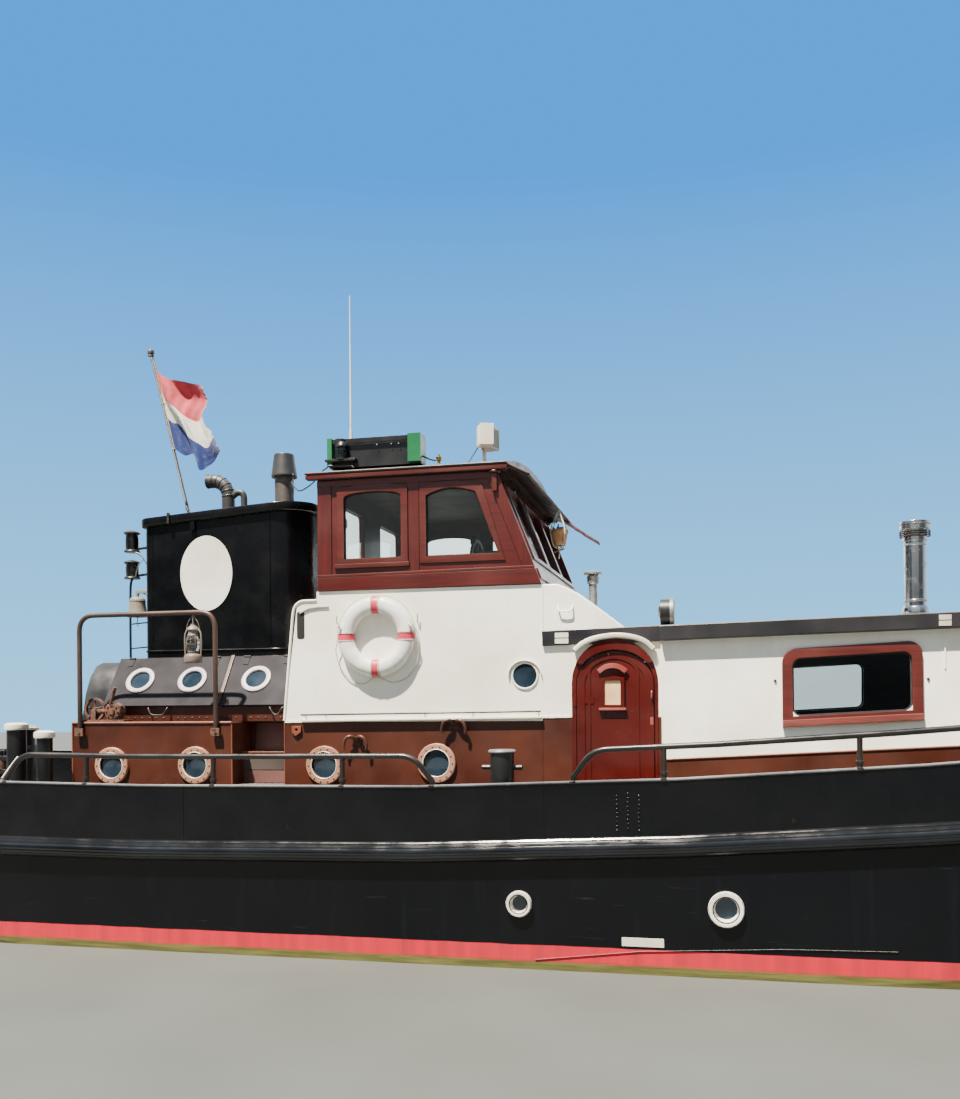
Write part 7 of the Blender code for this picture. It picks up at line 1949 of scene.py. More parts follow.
def build_roof_lights():
    """Sidelights, floodlights, whistle and the antenna's base on the wheelhouse's roof."""
    for (side, sign), glass in zip(SIDES, ("green", "red")):
        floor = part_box(f"sidelight_{side}")[0][2]
        screen = Fitting(f"sidelight_gear_{side}")
        y_out = sign * 1.302
        # Coloured ends of the box, lens with its guard, cap and floor
        for x0, x1 in ((-0.86, -0.735), (-1.648, -1.6)):
            screen.box((x0, sign * 1.322, floor + 0.012), (x1, sign * 1.135, floor + 0.275), glass, 0.005)
        screen.box((-1.598, y_out, floor + 0.22), (-0.87, y_out + sign * 0.006, floor + 0.262), "black",
            0.002)
        screen.box((-1.6, y_out - sign * 0.005, floor + 0.045), (-1.36, y_out + sign * 0.055, floor + 0.062),
            "black", 0.003)
        screen.lathe([(0, 0), (0.055, 0), (0.055, 0.016), (0.044, 0.02), (0.044, 0.115), (0.055, 0.12),
            (0.058, 0.13), (0.04, 0.165), (0.018, 0.175), (0, 0.18)], (-1.5, sign * 1.315, floor + 0.062),
            "black", steps=28)
        screen.lathe([(0, 0), (0.046, 0), (0.052, 0.02), (0.052, 0.065), (0.046, 0.085), (0, 0.085)],
            (-1.5, sign * 1.315, floor + 0.088), "lens_" + glass, steps=28)
        for k in range(3):
            screen.hoop(oblong(0.055, -0.003, 0.06, 0.003), (-1.5, sign * 1.315, floor + 0.105 + 0.022 * k),
                "black", "Z", steps=28)
        for x in (-1.16, -1.02, -0.95):
            screen.lathe([(0, 0), (0.007, 0), (0.006, 0.004), (0, 0.005)], (x, y_out, floor + 0.19), "zinc",
                "Y", sign, 10)
        screen.tube([(-1.63, sign * 1.33, floor + 0.012), (-1.4, sign * 1.33, floor + 0.002),
            (-1.38, sign * 1.33, floor - 0.02)], 0.01, "black", 10)
        screen.done(smooth=45)

    lights = Fitting("floodlight_gear")
    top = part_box("floodlights")[1][2]
    for dy, turn in ((-0.08, 20), (0.08, -20)):
        place = (Matrix.Translation((-0.22, -0.8 + dy, top - 0.1)) @ Matrix.Rotation(radians(turn), 4, "Z"))
        lights.place = place
        lights.box((0.056, -0.072, -0.09), (0.066, 0.072, 0.09), "lamp_glass", 0.002)
        lights.plate(rounded(-0.082, -0.102, 0.082, 0.102, 0.012, 3), (0.062, 0, 0), 0.014, "YZ",
            "white_gear", (rounded(-0.066, -0.084, 0.066, 0.084, 0.008, 3),), 0.002)
        for k in range(5):
            lights.box((-0.075, -0.06 + 0.027 * k, -0.085), (-0.058, -0.052 + 0.027 * k, 0.085),
                "white_gear", 0.001)
    lights.place = Matrix.Identity(4)
    lights.tube([(-0.25, -0.88, top - 0.22), (-0.25, -0.8, top - 0.235), (-0.25, -0.72, top - 0.22)], 0.008,
        "zinc", 10)
    lights.pipe([(-0.29, -0.8, top - 0.16), (-0.36, -0.82, top - 0.27), (-0.4, -0.85, top - 0.34),
        (-0.44, -0.86, top - 0.375)], 5, 0.006, "rubber", 8)
    lights.done(smooth=40)

    fitting = Fitting("roof_whistle")
    foot = 4.268 + crown(-1.2)
    fitting.lathe([(0, 0), (0.035, 0), (0.035, 0.012), (0.018, 0.02), (0.014, 0.05), (0.026, 0.055),
        (0.028, 0.085), (0.016, 0.09), (0.012, 0.11), (0, 0.112)], (-0.592, -1.2, foot), "brass", steps=24)
    fitting.pipe([(-0.74, -1.24, 4.43), (-0.68, -1.225, 4.4), (-0.62, -1.205, 4.385)], 5, 0.008, "rubber", 8)
    fitting.done(smooth=45)

    base = Fitting("antenna_base")
    base.lathe([(0, 0), (0.055, 0), (0.055, 0.012), (0.034, 0.02), (0.033, 0.1), (0.02, 0.32), (0.014, 0.42),
        (0, 0.42)], (-1.56, -0.9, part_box("antenna")[0][2] - 0.002), "white_gear", steps=24)
    base.done(smooth=45)


def build_wheel():
    """Spoked wheel with turned handles and a brass hub."""
    inner, outer = WHEEL_RIM
    wheel = Fitting("ships_wheel_turned")
    wheel.hoop([(inner - 0.002, -0.014), (outer + 0.003, -0.014), (outer + 0.006, -0.006),
        (outer + 0.003, 0.014), (inner - 0.002, 0.014), (inner - 0.005, 0.0)], WHEEL, "wheel_wood", "X",
        steps=64)
    wheel.hoop(oblong(inner + 0.005, 0.012, outer - 0.007, 0.017), WHEEL, "brass", "X", -1, 64)
    wheel.lathe([(0, -0.021), (0.055, -0.021), (0.062, -0.012), (0.062, 0.012), (0.055, 0.02), (0, 0.02)],
        WHEEL, "wheel_wood", "X", steps=40)
    wheel.lathe([(0, 0.018), (0.04, 0.018), (0.03, 0.032), (0.012, 0.04), (0, 0.04)], WHEEL, "brass", "X",
        -1, 32)
    # Spoke's reach and radius
    turned = ((0.05, 0.015), (0.1, 0.012), (0.15, 0.016), (0.195, 0.01), (0.255, 0.014), (0.285, 0.013),
        (0.315, 0.013), (0.326, 0.009), (0.353, 0.014), (0.376, 0.012), (0.385, 0.006))
    for k in range(8):
        a = pi * k / 4
        way = Vector((0, cos(a), sin(a)))
        wheel.tube([Vector(WHEEL) + way * reach for reach, _ in turned], 1.0, "wheel_wood", 12,
            scales=[size for _, size in turned])
    wheel.done(body="ships_wheel", stands_for=("ships_wheel",), slot="mahogany", smooth=45)

    desk = Fitting("helm_gear")
    # Instruments on the console: a compass, two dials, a throttle
    desk.lathe([(0, 0), (0.095, 0), (0.1, 0.02), (0.085, 0.05), (0.05, 0.085), (0, 0.1)],
        (-0.16, -0.3, 3.578), "brass", steps=36)
    for dy in (-0.32, 0.22):
        desk.lathe([(0, 0), (0.06, 0), (0.06, 0.012), (0.05, 0.016), (0, 0.016)], (-0.342, -0.3 + dy, 3.44),
            "brass", "X", -1, 32)
        desk.lathe([(0, 0.015), (0.047, 0.015), (0, 0.018)], (-0.342, -0.3 + dy, 3.44), "plate", "X", -1, 32)
    desk.lathe([(0, 0), (0.04, 0), (0.04, 0.05), (0.02, 0.06), (0, 0.06)], (-0.18, 0.02, 3.578), "black",
        steps=24)
    desk.tube([(-0.18, 0.02, 3.63), (-0.24, 0.02, 3.74)], 0.008, "steel", 10)
    desk.lathe([(0, 0), (0.022, 0.005), (0.026, 0.02), (0.02, 0.035), (0, 0.04)], (-0.246, 0.02, 3.73),
        "black", steps=20)
    desk.done(smooth=45)


# Funnel, flag and after gear
FUNNEL_CORNER_AFT, FUNNEL_CORNER_FORE = 0.07, 0.34
FUNNEL_PIPE_Y = -0.3
# Pale oval on the funnel's sides: middle x and z, half width and half height
MARK = (-3.194, 3.485, 0.29, 0.385)


def funnel_plan(out, steps=12):
    """Funnel's round-cornered plan, moved out by a distance."""
    points = []
    for x, way, start_angle, radius in ((FUNNEL_FORE, 1, 0, FUNNEL_CORNER_FORE),
            (FUNNEL_AFT, 1, 90, FUNNEL_CORNER_AFT), (FUNNEL_AFT, -1, 180, FUNNEL_CORNER_AFT),
            (FUNNEL_FORE, -1, 270, FUNNEL_CORNER_FORE)):
        inset = radius if x == FUNNEL_AFT else -radius
        points += arc((x + inset, way * (FUNNEL_HALF - radius)), radius + out, start_angle, start_angle + 90,
            steps)
    return points


def stack_of_loops(loops):
    """Closed skin over loops of points with equal counts, lowest first."""
    shape = bmesh.new()
    rings = [[shape.verts.new(p) for p in loop] for loop in loops]
    for ring, following in zip(rings, rings[1:]):
        for j in range(len(ring)):
            k = (j + 1) % len(ring)
            shape.faces.new((ring[j], ring[k], following[k], following[j]))
    shape.faces.new(rings[0])
    shape.faces.new(reversed(rings[-1]))
    return shape


def build_funnel():
    """Funnel with its rim, goosenecks, exhaust and pale ovals."""
    funnel = Fitting("funnel_shell")
    black = "funnel"
    base = SKY_TOP + SEAT
    funnel.take(stack_of_loops([[(x, y, z if z else funnel_top(x)) for x, y in funnel_plan(0)]
        for z in (base, 2.9, 3.3, 3.7, 0)]), black)
    # Columns: how far out, how far below the top
    rim = ((0.0, 0.098), (0.03, 0.092), (0.042, 0.08), (0.045, 0.06), (0.045, 0.014), (0.038, 0.002),
        (0.02, 0.0))
    funnel.take(stack_of_loops([[(x, y, funnel_top(x) - down) for x, y in funnel_plan(out)] for out,
        down in rim]), black)
    foot = ((0.0, 0.0), (0.042, 0.0), (0.042, 0.01), (0.012, 0.016), (0.0, 0.03))
    funnel.take(stack_of_loops([[(x, y, base + high) for x, y in funnel_plan(out)] for out, high in foot]),
        black)
    funnel.tube([(x, y, 2.695) for x, y in funnel_plan(0.001)], 0.011, black, 10, True)
    for sign in SIGNS:
        for x, wide in ((FUNNEL_FORE - FUNNEL_CORNER_FORE, 0.012), (-3.8, 0.008)):
            funnel.bar(
                [(x, sign * (FUNNEL_HALF + 0.001), 2.7),
                (x, sign * (FUNNEL_HALF + 0.001), funnel_top(x) - 0.1)], 0.01, wide, black)
        # Bracket under the rim and a clamp on it
        funnel.box((-3.355, sign * FUNNEL_HALF, 3.925), (-3.305, sign * (FUNNEL_HALF + 0.035), 4.02), black,
            0.006)
        funnel.box((-3.6, sign * (FUNNEL_HALF + 0.03), 4.00), (-3.575, sign * (FUNNEL_HALF + 0.065), 4.115),
            "rust_dark", 0.004)
    y = FUNNEL_PIPE_Y
    # Large gooseneck with its flared mouth aft
    x = -3.16
    z = funnel_top(x) - 0.05
    path = [Vector((x, y, z))]
    path += [Vector((u, y, v)) for u, v in arc((x - 0.17, 4.355), 0.17, 0, 90, 14)]
    path += [Vector((x - 0.24, y, 4.525))]
    funnel.tube(path, 0.07, "pipe", 28)
    mouth = path[-1]
    ahead = (path[-1] - path[-2]).normalized()
    funnel.tube([mouth - ahead * 0.022, mouth + ahead * 0.001], 0.0745, "pipe", 28)
    # Near black disc in the mouth: soot, and painted shade of the hollow
    funnel.tube([mouth - ahead * 0.01, mouth + ahead * 0.0015], 0.061, "soot", 24)
    funnel.lathe([(0, -0.01), (0.105, -0.01), (0.105, 0.008), (0.078, 0.014), (0.074, 0.03), (0, 0.03)],
        (x, y, funnel_top(x)), "pipe", steps=32)
    ribs_path = path[1:-1]
    x = -2.98
    z = funnel_top(x) - 0.05
    small = [Vector((x, y, z)), *bend((x, y, z), (x, y, z + 0.32), (x - 0.2, y, z + 0.27), 0.09, 12),
        Vector((x - 0.14, y, z + 0.26))]
    funnel.tube(small, 0.035, "pipe", 20)
    funnel.lathe([(0, -0.008), (0.056, -0.008), (0.056, 0.008), (0.036, 0.014), (0, 0.014)],
        (x, y, funnel_top(x)), "pipe", steps=24)
    x = -2.52
    z = funnel_top(x)
    funnel.lathe([(0, -0.02), (0.128, -0.02), (0.128, 0.01), (0.106, 0.016), (0.1, 0.03), (0.1, 0.39),
        (0, 0.39)], (x, y, z), "exhaust", steps=40)
    funnel.lathe([(0.09, 0.348), (0.132, 0.348), (0.137, 0.358), (0.135, 0.372), (0.106, 0.58), (0.1, 0.59),
        (0.088, 0.586), (0.088, 0.5), (0, 0.5)], (x, y, z), "pipe", steps=40)
    # Near black disc inside the cap: soot, and painted shade of the hollow
    funnel.lathe(oblong(0, 0.501, 0.087, 0.506), (x, y, z), "soot", steps=32)
    funnel.done(stands_for=("funnel",), slot="funnel_black", smooth=40)
    grow("gooseneck_ribs", seed_mesh(ribs_path, False), rib_growth("pipe"),
        {"Spacing": 0.052, "Pipe radius": 0.0705, "Rib radius": 0.0055}, smooth=50)

    mark = Fitting("funnel_mark")
    x, z, wide, high = MARK
    oval = [(x + wide * across, z + high * up) for across, up in circle(1, 72)]
    for sign in SIGNS:
        mark.panel(oval, sign * (FUNNEL_HALF + 0.0012), 0.003, "mark", (), 0.0006)
    mark.done()


def build_stern_gear():
    """Stern lamps, bell, cable and the flagstaff's fittings."""
    lamps = Fitting("stern_lamps")
    x, y = FUNNEL_AFT, -0.55
    black = "black"
    lamps.box((x - 0.012, y - 0.032, 3.395), (x - SEAT, y + 0.032, 3.925), black, 0.004)
    for z, high in ((3.878, 0.23), (3.58, 0.2)):
        middle = (x - 0.255, y, z)
        half = high / 2
        lamps.lathe([(0, -half), (0.08, -half), (0.086, -half + 0.008), (0.08, -half + 0.02),
            (0.066, -half + 0.026), (0.064, half - 0.045), (0.078, half - 0.038), (0.088, half - 0.026),
            (0.08, half - 0.016), (0.03, half), (0, half)], middle, black, steps=36)
        lamps.hoop(oblong(0.063, -half + 0.06, 0.069, half - 0.075), middle, "lamp_glass", "Z", steps=36)
        foot = z - half
        lamps.pipe([(x - 0.008, y, foot + 0.06), (x - 0.09, y, foot + 0.045), (x - 0.19, y, foot + 0.035)],
            4, 0.014, black, 12)
        for k in (-1, 1):
            lamps.tube(
                [(middle[0], y + k * 0.074, foot + 0.02), (middle[0], y + k * 0.078, z + half - 0.03)],
                0.004, black, 8)
    cable = [(x - 0.2, y - 0.03, 3.5), (x - 0.15, y - 0.05, 3.62), (x - 0.1, y - 0.04, 3.69),
        (x - 0.19, y - 0.045, 3.755), (x - 0.12, y - 0.05, 3.72), (x - 0.06, y - 0.02, 3.6),
        (x - 0.03, y - 0.02, 3.46)]
    lamps.pipe(cable, 6, 0.006, "zinc", 8)
    conduit = [(-4.184, y, 2.62), (-4.184, y, 3.0), (-4.18, y, 3.34), (-4.172, y, 3.44), (-4.155, y, 3.482)]
    lamps.pipe(conduit, 5, 0.013, black, 14)
    lamps.tube([(-4.186, y, 2.6), (-4.14, y, 2.57), (-4.1, y, 2.56)], 0.013, black, 14)
    lamps.tube([(x - 0.004, y + 0.01, 3.02), (-4.184, y, 3.00)], 0.007, black, 8)
    lamps.tube([(x - 0.004, y + 0.01, 2.76), (-4.184, y, 2.74)], 0.007, black, 8)
    lamps.done(stands_for=("funnel_lamps",), slot="black_gear", smooth=40)

    bell = Fitting("ship_bell_cast")
    y = -0.62
    centre_x = x - 0.155
    bell.lathe([(0.0, 0.205), (0.045, 0.205), (0.068, 0.198), (0.08, 0.182), (0.084, 0.14), (0.089, 0.09),
        (0.098, 0.045), (0.109, 0.016), (0.117, 0.004), (0.118, 0.0), (0.11, 0.0), (0.1, 0.014),
        (0.088, 0.045), (0.079, 0.09), (0.072, 0.16), (0.0, 0.188)], (centre_x, y, 3.07), "bell", steps=48)
    for z, radius in ((3.095, 0.104), (3.235, 0.083)):
        bell.hoop([(radius - 0.004, -0.004), (radius + 0.003, -0.003), (radius + 0.003, 0.003),
            (radius - 0.004, 0.004)], (centre_x, y, z), "bell", "Z", steps=40)
    bell.lathe([(0, 0.198), (0.018, 0.2), (0.014, 0.215), (0.02, 0.235), (0.02, 0.25), (0, 0.255)],
        (centre_x, y, 3.07), "bell", steps=20)
    bell.box((x - 0.014, y - 0.03, 3.27), (x - SEAT, y + 0.03, 3.39), "bell", 0.004)
    bell.box((centre_x - 0.02, y - 0.014, 3.318), (x - 0.008, y + 0.014, 3.35), "bell", 0.005)
    bell.tube([(x - 0.01, y, 3.28), (x - 0.1, y, 3.325)], 0.008, "bell", 10)
    bell.lathe([(0, 0), (0.006, 0.0), (0.006, 0.13), (0, 0.13)], (centre_x, y, 3.09), "rust_dark", steps=10)
    bell.lathe([(0, 0), (0.018, 0.008), (0.022, 0.02), (0.016, 0.034), (0, 0.04)], (centre_x, y, 3.058),
        "rust_dark", steps=18)
    bell.pipe([(centre_x, y, 3.062), (centre_x - 0.004, y, 3.02), (centre_x + 0.003, y, 2.97)], 4, 0.005,
        "rope", 8)
    bell.done(stands_for=("ship_bell",), slot="bronze", smooth=40)

    # Cable from the exhaust's cap to the sidelight's box, and its clips
    wire = Fitting("roof_cable")
    z = funnel_top(-2.52)
    route = [(-2.425, -0.36, z + 0.3), (-2.34, -0.42, z + 0.2), (-2.25, -0.5, z + 0.16),
        (-2.08, -0.66, z + 0.18), (-1.93, -0.82, z + 0.22), (-1.83, -0.98, 4.4), (-1.77, -1.1, 4.385),
        (-1.7, -1.18, 4.39), (-1.645, -1.22, 4.42)]
    wire.pipe(route, 6, 0.007, "rubber", 8)
    wire.pipe([(-2.425, -0.36, z + 0.3), (-2.39, -0.37, z + 0.35), (-2.41, -0.35, z + 0.38)], 4, 0.007,
        "rubber", 8)
    wire.done(smooth=60)

    staff = Fitting("staff_gear")
    foot = Vector((STAFF_FOOT, STAFF_Y, funnel_top(STAFF_FOOT)))
    top = Vector((STAFF_TOP[0], STAFF_Y, STAFF_TOP[1]))
    staff.lathe([(0, -0.02), (0.035, -0.015), (0.04, 0.01), (0.032, 0.03), (0.012, 0.042), (0, 0.044)],
        tuple(top), "staff", steps=28)
    for share in (0.965, 0.7, 0.43):
        spot = foot + (top - foot) * share
        along = (top - foot).normalized()
        side = along.cross(Vector((0, 1, 0))).normalized()
        loop = [spot + side * 0.022 * cos(radians(a)) + Vector((0, 0.022, 0)) * sin(radians(a))
            for a in range(0, 360, 24)]
        staff.tube(loop, 0.003, "rope", 8, True)
    halyard = [foot + (top - foot) * (k / 14) + Vector((0.004, -0.022, 0)) * (1 if k % 14 else 0.9)
        for k in range(1, 15)]
    staff.tube(halyard, 0.003, "rope", 8)
    staff.bar([foot + (top - foot) * 0.1 + Vector((0, -0.02, 0.0)) + Vector((0, 0, way * 0.05))
        for way in (-1, 1)], 0.012, 0.014, "rust_dark")
    staff.done(smooth=45)


# Lines of the flag, lowest first: share of the hoist, then each point's across, up and out
FLAG_ROWS = (
    (0, ((-3.68, 4.83, -0.03), (-3.55, 4.83, 0), (-3.5, 4.72, 0.06), (-3.43, 4.63, 0.08),
         (-3.31, 4.74, 0.02), (-3.21, 4.84, 0.06))),
    (1 / 3, ((-3.81, 5.19, -0.02), (-3.73, 5.16, 0), (-3.58, 5.00, 0.07), (-3.46, 4.92, 0.09),
             (-3.38, 4.88, 0.03), (-3.29, 4.99, 0.07))),
    (2 / 3, ((-3.86, 5.42, 0.05), (-3.74, 5.33, 0.09), (-3.63, 5.23, 0.1), (-3.51, 5.17, 0.03),
             (-3.42, 5.21, 0.07))),
    (5 / 6, ((-3.91, 5.59, 0.05), (-3.79, 5.51, 0.06), (-3.66, 5.45, 0), (-3.49, 5.41, -0.02),
             (-3.36, 5.36, 0.05))),
    (1, ((-4.01, 5.8, 0.01), (-3.95, 5.73, 0.02), (-3.85, 5.66, 0.04), (-3.69, 5.61, 0.06),
         (-3.51, 5.57, 0.04), (-3.42, 5.54, 0.02))),
)
FLAG_LOWER, FLAG_UPPER = 0.43, 0.965
FLAG_ACROSS, FLAG_STEPS = 60, 12


def even_steps(path, count):
    """The same path in a number of equal steps."""
    runs = [0]
    for one, two in zip(path, path[1:]):
        runs.append(runs[-1] + (two - one).length)
    spots, k = [], 0
    for i in range(count + 1):
        wanted = runs[-1] * i / count
        while k < len(path) - 2 and runs[k + 1] < wanted:
            k += 1
        spots.append(path[k].lerp(path[k + 1], (wanted - runs[k]) / (runs[k + 1] - runs[k])))
    return spots


def build_flag():
    """Bunting that hangs slack from its hoist, its upper corner fallen across it, its fly torn."""
    foot = Vector((STAFF_FOOT, STAFF_Y, funnel_top(STAFF_FOOT)))
    top = Vector((STAFF_TOP[0], STAFF_Y, STAFF_TOP[1]))
    run = (top - foot).normalized()
    beside = Vector((run.z, 0, -run.x)) * (0.016 + 0.002)
    low, high = [foot + (top - foot) * share + beside for share in (FLAG_LOWER, FLAG_UPPER)]
    rows = []
    for share, points in FLAG_ROWS:
        bent = [tuple(low + (high - low) * share)] + [(x, STAFF_Y - out, z) for x, z, out in points]
        rows.append(even_steps([Vector(p) for p in smooth_route(bent, 8)], FLAG_ACROSS))
    shares = [share for share, _ in FLAG_ROWS] + [1]
    shape = bmesh.new()
    lie = shape.loops.layers.uv.new("Cloth")
    grid = []
    for i in range(FLAG_ACROSS + 1):
        column, u = [], i / FLAG_ACROSS
        swell = min(u * 4, 1)
        for j, point in enumerate(smooth_route([row[i] for row in rows], FLAG_STEPS)):
            k, part = divmod(j, FLAG_STEPS)
            v = shares[k] + (shares[k + 1] - shares[k]) * part / FLAG_STEPS
            spot = Vector(point)
            torn = 0.05 * noise.noise(Vector((v * 11, 3.1, 0))) + 0.03 * noise.noise(
                Vector((v * 37, 1.7, 0)))
            spot.x += 0.6 * (torn - 0.02) * u ** 8
            spot.y += (0.01 * sin(17 * u + 5.4 * v + 0.6) + 0.005 * sin(41 * u - 6 * v)) * swell
            column.append((shape.verts.new(spot), (u, v)))
        grid.append(column)
    for one, two in zip(grid, grid[1:]):
        for j in range(len(one) - 1):
            corners = (one[j], two[j], two[j + 1], one[j + 1])
            face = shape.faces.new([corner[0] for corner in corners])
            for loop, corner in zip(face.loops, corners):
                loop[lie].uv = corner[1]
    area = sum(face.calc_area() for face in shape.faces)
    mesh = bpy.data.meshes.new("flag_bunting")
    shape.to_mesh(mesh)
    shape.free()
    mesh.materials.append(FINISH["cloth"])
    cloth = settle("flag_bunting", mesh, "root", ("flag",), 180)
    hem = Fitting("flag_hoist_tape")
    hem.bar([low - beside * 0.1, high - beside * 0.1], 0.004, 0.03, "tape")
    tape = hem.done(smooth=45)


# Mast and tow gear
MAST_X, MAST_PIN, MAST_RAKE = 7.05, 2.8595, -1.5
WINDLASS_X, TOW_X = 8.05, -5.9


def build_mast_gear():
    """Bands, lamp and cleat of the mast, and the gear of windlass and tow post."""
    gear = Fitting("mast_gear")
    rake = radians(MAST_RAKE)
    gear.place = (Matrix.Translation((MAST_X, 0, MAST_PIN)) @ Matrix.Rotation(rake, 4, "Y")
        @ Matrix.Translation((-MAST_X, 0, -MAST_PIN)))
    for z, radius in ((3.25, 0.0835), (7.6, 0.055), (8.95, 0.052)):
        gear.hoop([(radius - 0.006, -0.03), (radius + 0.006, -0.03), (radius + 0.008, 0),
            (radius + 0.006, 0.03), (radius - 0.006, 0.03)], (MAST_X, 0, z), "zinc", "Z", steps=28)
    gear.lathe([(0, 0), (0.077, 0), (0.08, 0.02), (0.066, 0.04), (0, 0.055)], (7.33, 0, 6.74), "black",
        steps=28)
    gear.hoop(oblong(0.0765, -0.05, 0.079, 0.05), (7.33, 0, 6.64), "lamp_glass", "Z", steps=28)
    for sign in SIGNS:
        gear.lathe([(0, -0.01), (0.03, -0.01), (0.034, 0), (0.03, 0.012), (0, 0.014)],
            (MAST_X, sign * 0.65, 7.6), "white_gear", "Y", sign, 20)
        gear.hoop(oblong(0.014, -0.004, 0.022, 0.004), (MAST_X, sign * 0.56, 7.556), "zinc", "Y", steps=18)
    gear.lathe([(0, 0), (0.072, 0), (0.072, 0.02), (0.03, 0.045), (0, 0.05)], (MAST_X, 0, 9.222), "brass",
        steps=28)
    gear.box((MAST_X - 0.05, -0.105, 3.62), (MAST_X + 0.05, -0.076, 3.66), "zinc", 0.004)
    cleat = [(MAST_X, -0.1, 3.53), (MAST_X, -0.115, 3.58), (MAST_X, -0.115, 3.7), (MAST_X, -0.1, 3.75)]
    gear.pipe(cleat, 4, 0.01, "zinc", 10)
    gear.place = Matrix.Identity(4)
    gear.done(body="mast", smooth=45)

    deck = Fitting("foredeck_gear")
    low = deck_z(WINDLASS_X)
    for sign in SIGNS:
        deck.lathe([(0, 0), (0.13, 0), (0.135, 0.02), (0.11, 0.05), (0.105, 0.13), (0.135, 0.18),
            (0.13, 0.2), (0, 0.2)], (WINDLASS_X, sign * 0.565, low + 0.4), "rust_dark", "Y", sign, 32)
        deck.lathe([(0, 0), (0.088, 0), (0.094, 0.012), (0.088, 0.028), (0, 0.034)],
            (8.9, sign * 0.22, deck_z(8.9) + 0.49), "white_gear", steps=28)
    for k in range(24):
        a = 2 * pi * k / 24
        spot = (WINDLASS_X + 0.238 * cos(a), 0.36, low + 0.4 + 0.238 * sin(a))
        deck.box((-0.012, -0.024, -0.012), (0.018, 0.024, 0.012), "rust_dark", 0.002,
            Matrix.Translation(spot) @ Matrix.Rotation(-a, 4, "Y"))
    for k in range(5):
        deck.hoop(oblong(0.155, -0.012, 0.172, 0.012), (WINDLASS_X, -0.28 + 0.1 * k, low + 0.4), "rust", "Y",
            steps=32)
    deck.done(smooth=45)

    tow = Fitting("tow_gear")
    tow.lathe([(0, 0), (0.15, 0), (0.166, 0.01), (0.17, 0.03), (0.15, 0.05), (0, 0.055)],
        (TOW_X, 0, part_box("tow_post")[1][2] - 0.05), "white_gear", steps=36)
    tow.hoop(oblong(0.128, -0.03, 0.138, 0.03), (TOW_X, 0, 1.66), "rust_dark", "Z", steps=32)
    for sign in SIGNS:
        tow.lathe([(0, 0), (0.045, 0), (0.045, 0.012), (0.02, 0.02), (0, 0.02)],
            (-6.2, 0, 1.46 + sign * 0.152), "rust_dark", "Z", sign, 6)
    tow.done(smooth=45)


# Buttons
def paint_frame():
    """Finishes the CAD's own pieces."""
    for row in DRESSED:
        dress(*row)
    for node in ("hull", "bulwark"):
        paint_node(node, node)


class TUG_OT_camera(bpy.types.Operator):
    """Place the photograph's camera"""
    bl_idname = "tug.camera"
    bl_label = "Camera"

    def execute(self, context):
        set_camera()
        return {"FINISHED"}


class TUG_OT_ring(bpy.types.Operator):
    """Build the life ring and hang its grab line"""
    bl_idname = "tug.ring"
    bl_label = "Life ring"

    def execute(self, context):
        FINISH.update(make_finishes(context.scene.tug_paints))
        build_ring(context.scene.tug_sizes)
        return {"FINISHED"}


class TUG_OT_hull(bpy.types.Operator):
    """Fit the rub rail, ports, rivets and deck gear of hull and bulwark"""
    bl_idname = "tug.hull"
    bl_label = "Hull"

    def execute(self, context):
        build_rub_rail()
        build_hull_gear(context.scene.tug_sizes)
        build_deck_gear()
        return {"FINISHED"}


class TUG_OT_rails(bpy.types.Operator):
    """Fit the bulwark rails and the casing's hoops"""
    bl_idname = "tug.rails"
    bl_label = "Rails"

    def execute(self, context):
        build_rails()
        return {"FINISHED"}


class TUG_OT_casing(bpy.types.Operator):
    """Fit the casing's ports, steps, skylight, hand pump and lantern"""
    bl_idname = "tug.casing"
    bl_label = "Casing"

    def execute(self, context):
        build_casing_gear(context.scene.tug_sizes)
        build_hand_pump()
        build_lantern()
        return {"FINISHED"}


class TUG_OT_house(bpy.types.Operator):
    """Fit the white house, its doors and the salon"""
    bl_idname = "tug.house"
    bl_label = "House and salon"

    def execute(self, context):
        build_house_gear()
        for side, sign in SIDES:
            build_door(side, sign)
        build_salon_gear(context.scene.tug_sizes)
        build_roof_gear()
        return {"FINISHED"}


class TUG_OT_wheelhouse(bpy.types.Operator):
    """Fit the wheelhouse's joinery, glass, wheel and roof gear"""
    bl_idname = "tug.wheelhouse"
    bl_label = "Wheelhouse"

    def execute(self, context):
        build_wheelhouse_gear(context.scene.tug_sizes)
        build_hanging_pot()
        build_roof_lights()
        build_wheel()
        return {"FINISHED"}


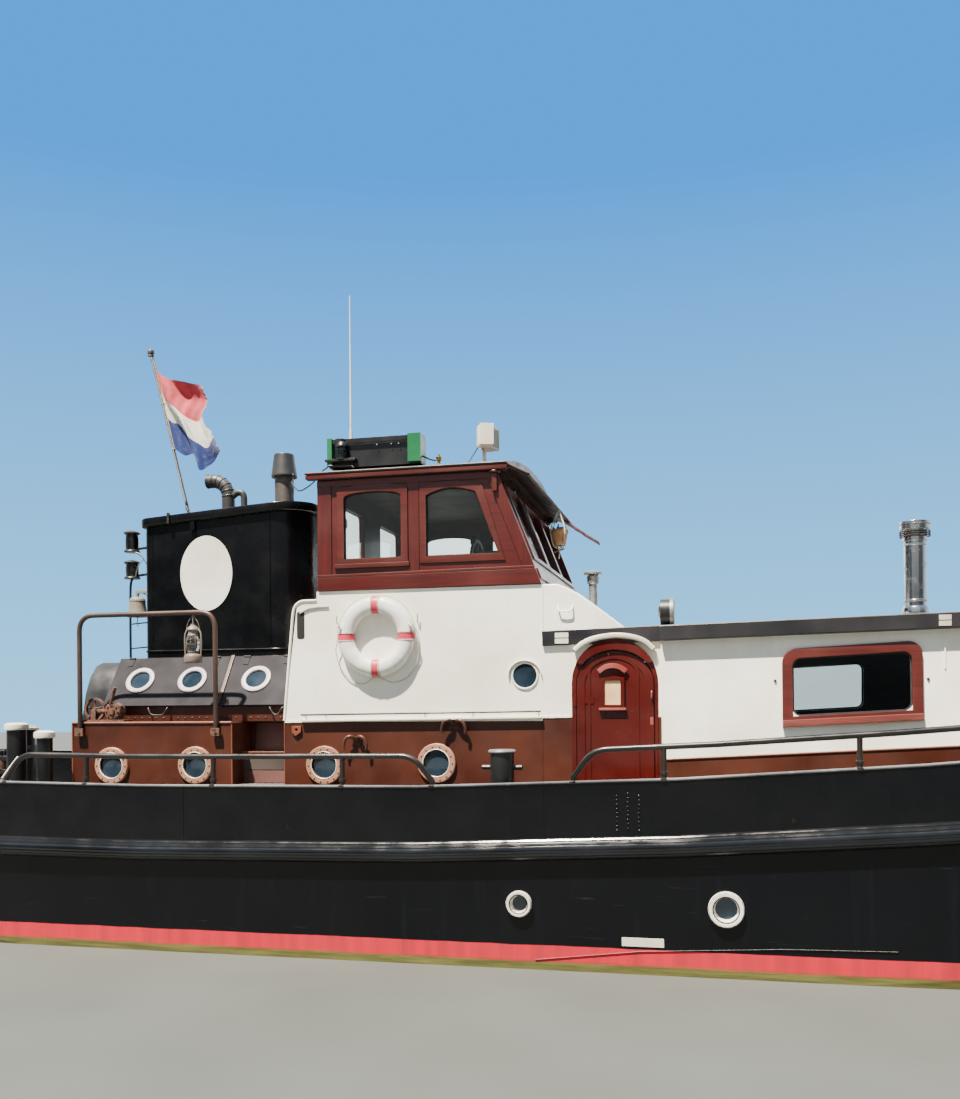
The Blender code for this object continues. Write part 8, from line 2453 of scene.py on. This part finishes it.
class TUG_OT_funnel(bpy.types.Operator):
    """Build the funnel, its pipes, lamps, bell and flag"""
    bl_idname = "tug.funnel"
    bl_label = "Funnel and flag"

    def execute(self, context):
        build_funnel()
        build_stern_gear()
        build_flag()
        return {"FINISHED"}


class TUG_OT_mast(bpy.types.Operator):
    """Fit the mast, windlass and tow post"""
    bl_idname = "tug.mast"
    bl_label = "Mast and tow gear"

    def execute(self, context):
        build_mast_gear()
        return {"FINISHED"}


class TUG_OT_frame(bpy.types.Operator):
    """Paint the fixed frame"""
    bl_idname = "tug.frame"
    bl_label = "Paint"

    def execute(self, context):
        paint_frame()
        return {"FINISHED"}


class TUG_OT_stage(bpy.types.Operator):
    """Light the boat and lay the floor at the waterline"""
    bl_idname = "tug.stage"
    bl_label = "Stage"

    def execute(self, context):
        set_stage()
        return {"FINISHED"}


OPERATORS = (TUG_OT_camera, TUG_OT_ring, TUG_OT_hull, TUG_OT_rails, TUG_OT_casing, TUG_OT_house,
    TUG_OT_wheelhouse, TUG_OT_funnel, TUG_OT_mast, TUG_OT_frame, TUG_OT_stage)


class TUG_PT_panel(bpy.types.Panel):
    """Buttons, colours and sizes of the tug"""
    bl_idname = "TUG_PT_panel"
    bl_label = "Harbour tug"
    bl_space_type = "VIEW_3D"
    bl_region_type = "UI"
    bl_category = "Tug"

    def draw(self, context):
        for operator in OPERATORS:
            self.layout.operator(operator.bl_idname)
        for group in (context.scene.tug_paints, context.scene.tug_sizes):
            for name in type(group).__annotations__:
                self.layout.prop(group, name)


CLASSES = (TugPaints, TugSizes, *OPERATORS, TUG_PT_panel)


def register():
    for one in CLASSES:
        bpy.utils.register_class(one)
    bpy.types.Scene.tug_paints = bpy.props.PointerProperty(type=TugPaints)
    bpy.types.Scene.tug_sizes = bpy.props.PointerProperty(type=TugSizes)


def unregister():
    del bpy.types.Scene.tug_paints
    del bpy.types.Scene.tug_sizes
    for one in reversed(CLASSES):
        bpy.utils.unregister_class(one)


def main():
    register()
    for operator in OPERATORS:
        family, name = operator.bl_idname.split(".")
        if getattr(getattr(bpy.ops, family), name)() != {"FINISHED"}:
            raise RuntimeError(f"{operator.bl_label} didn't finish")


if __name__ == "__main__":
    main()
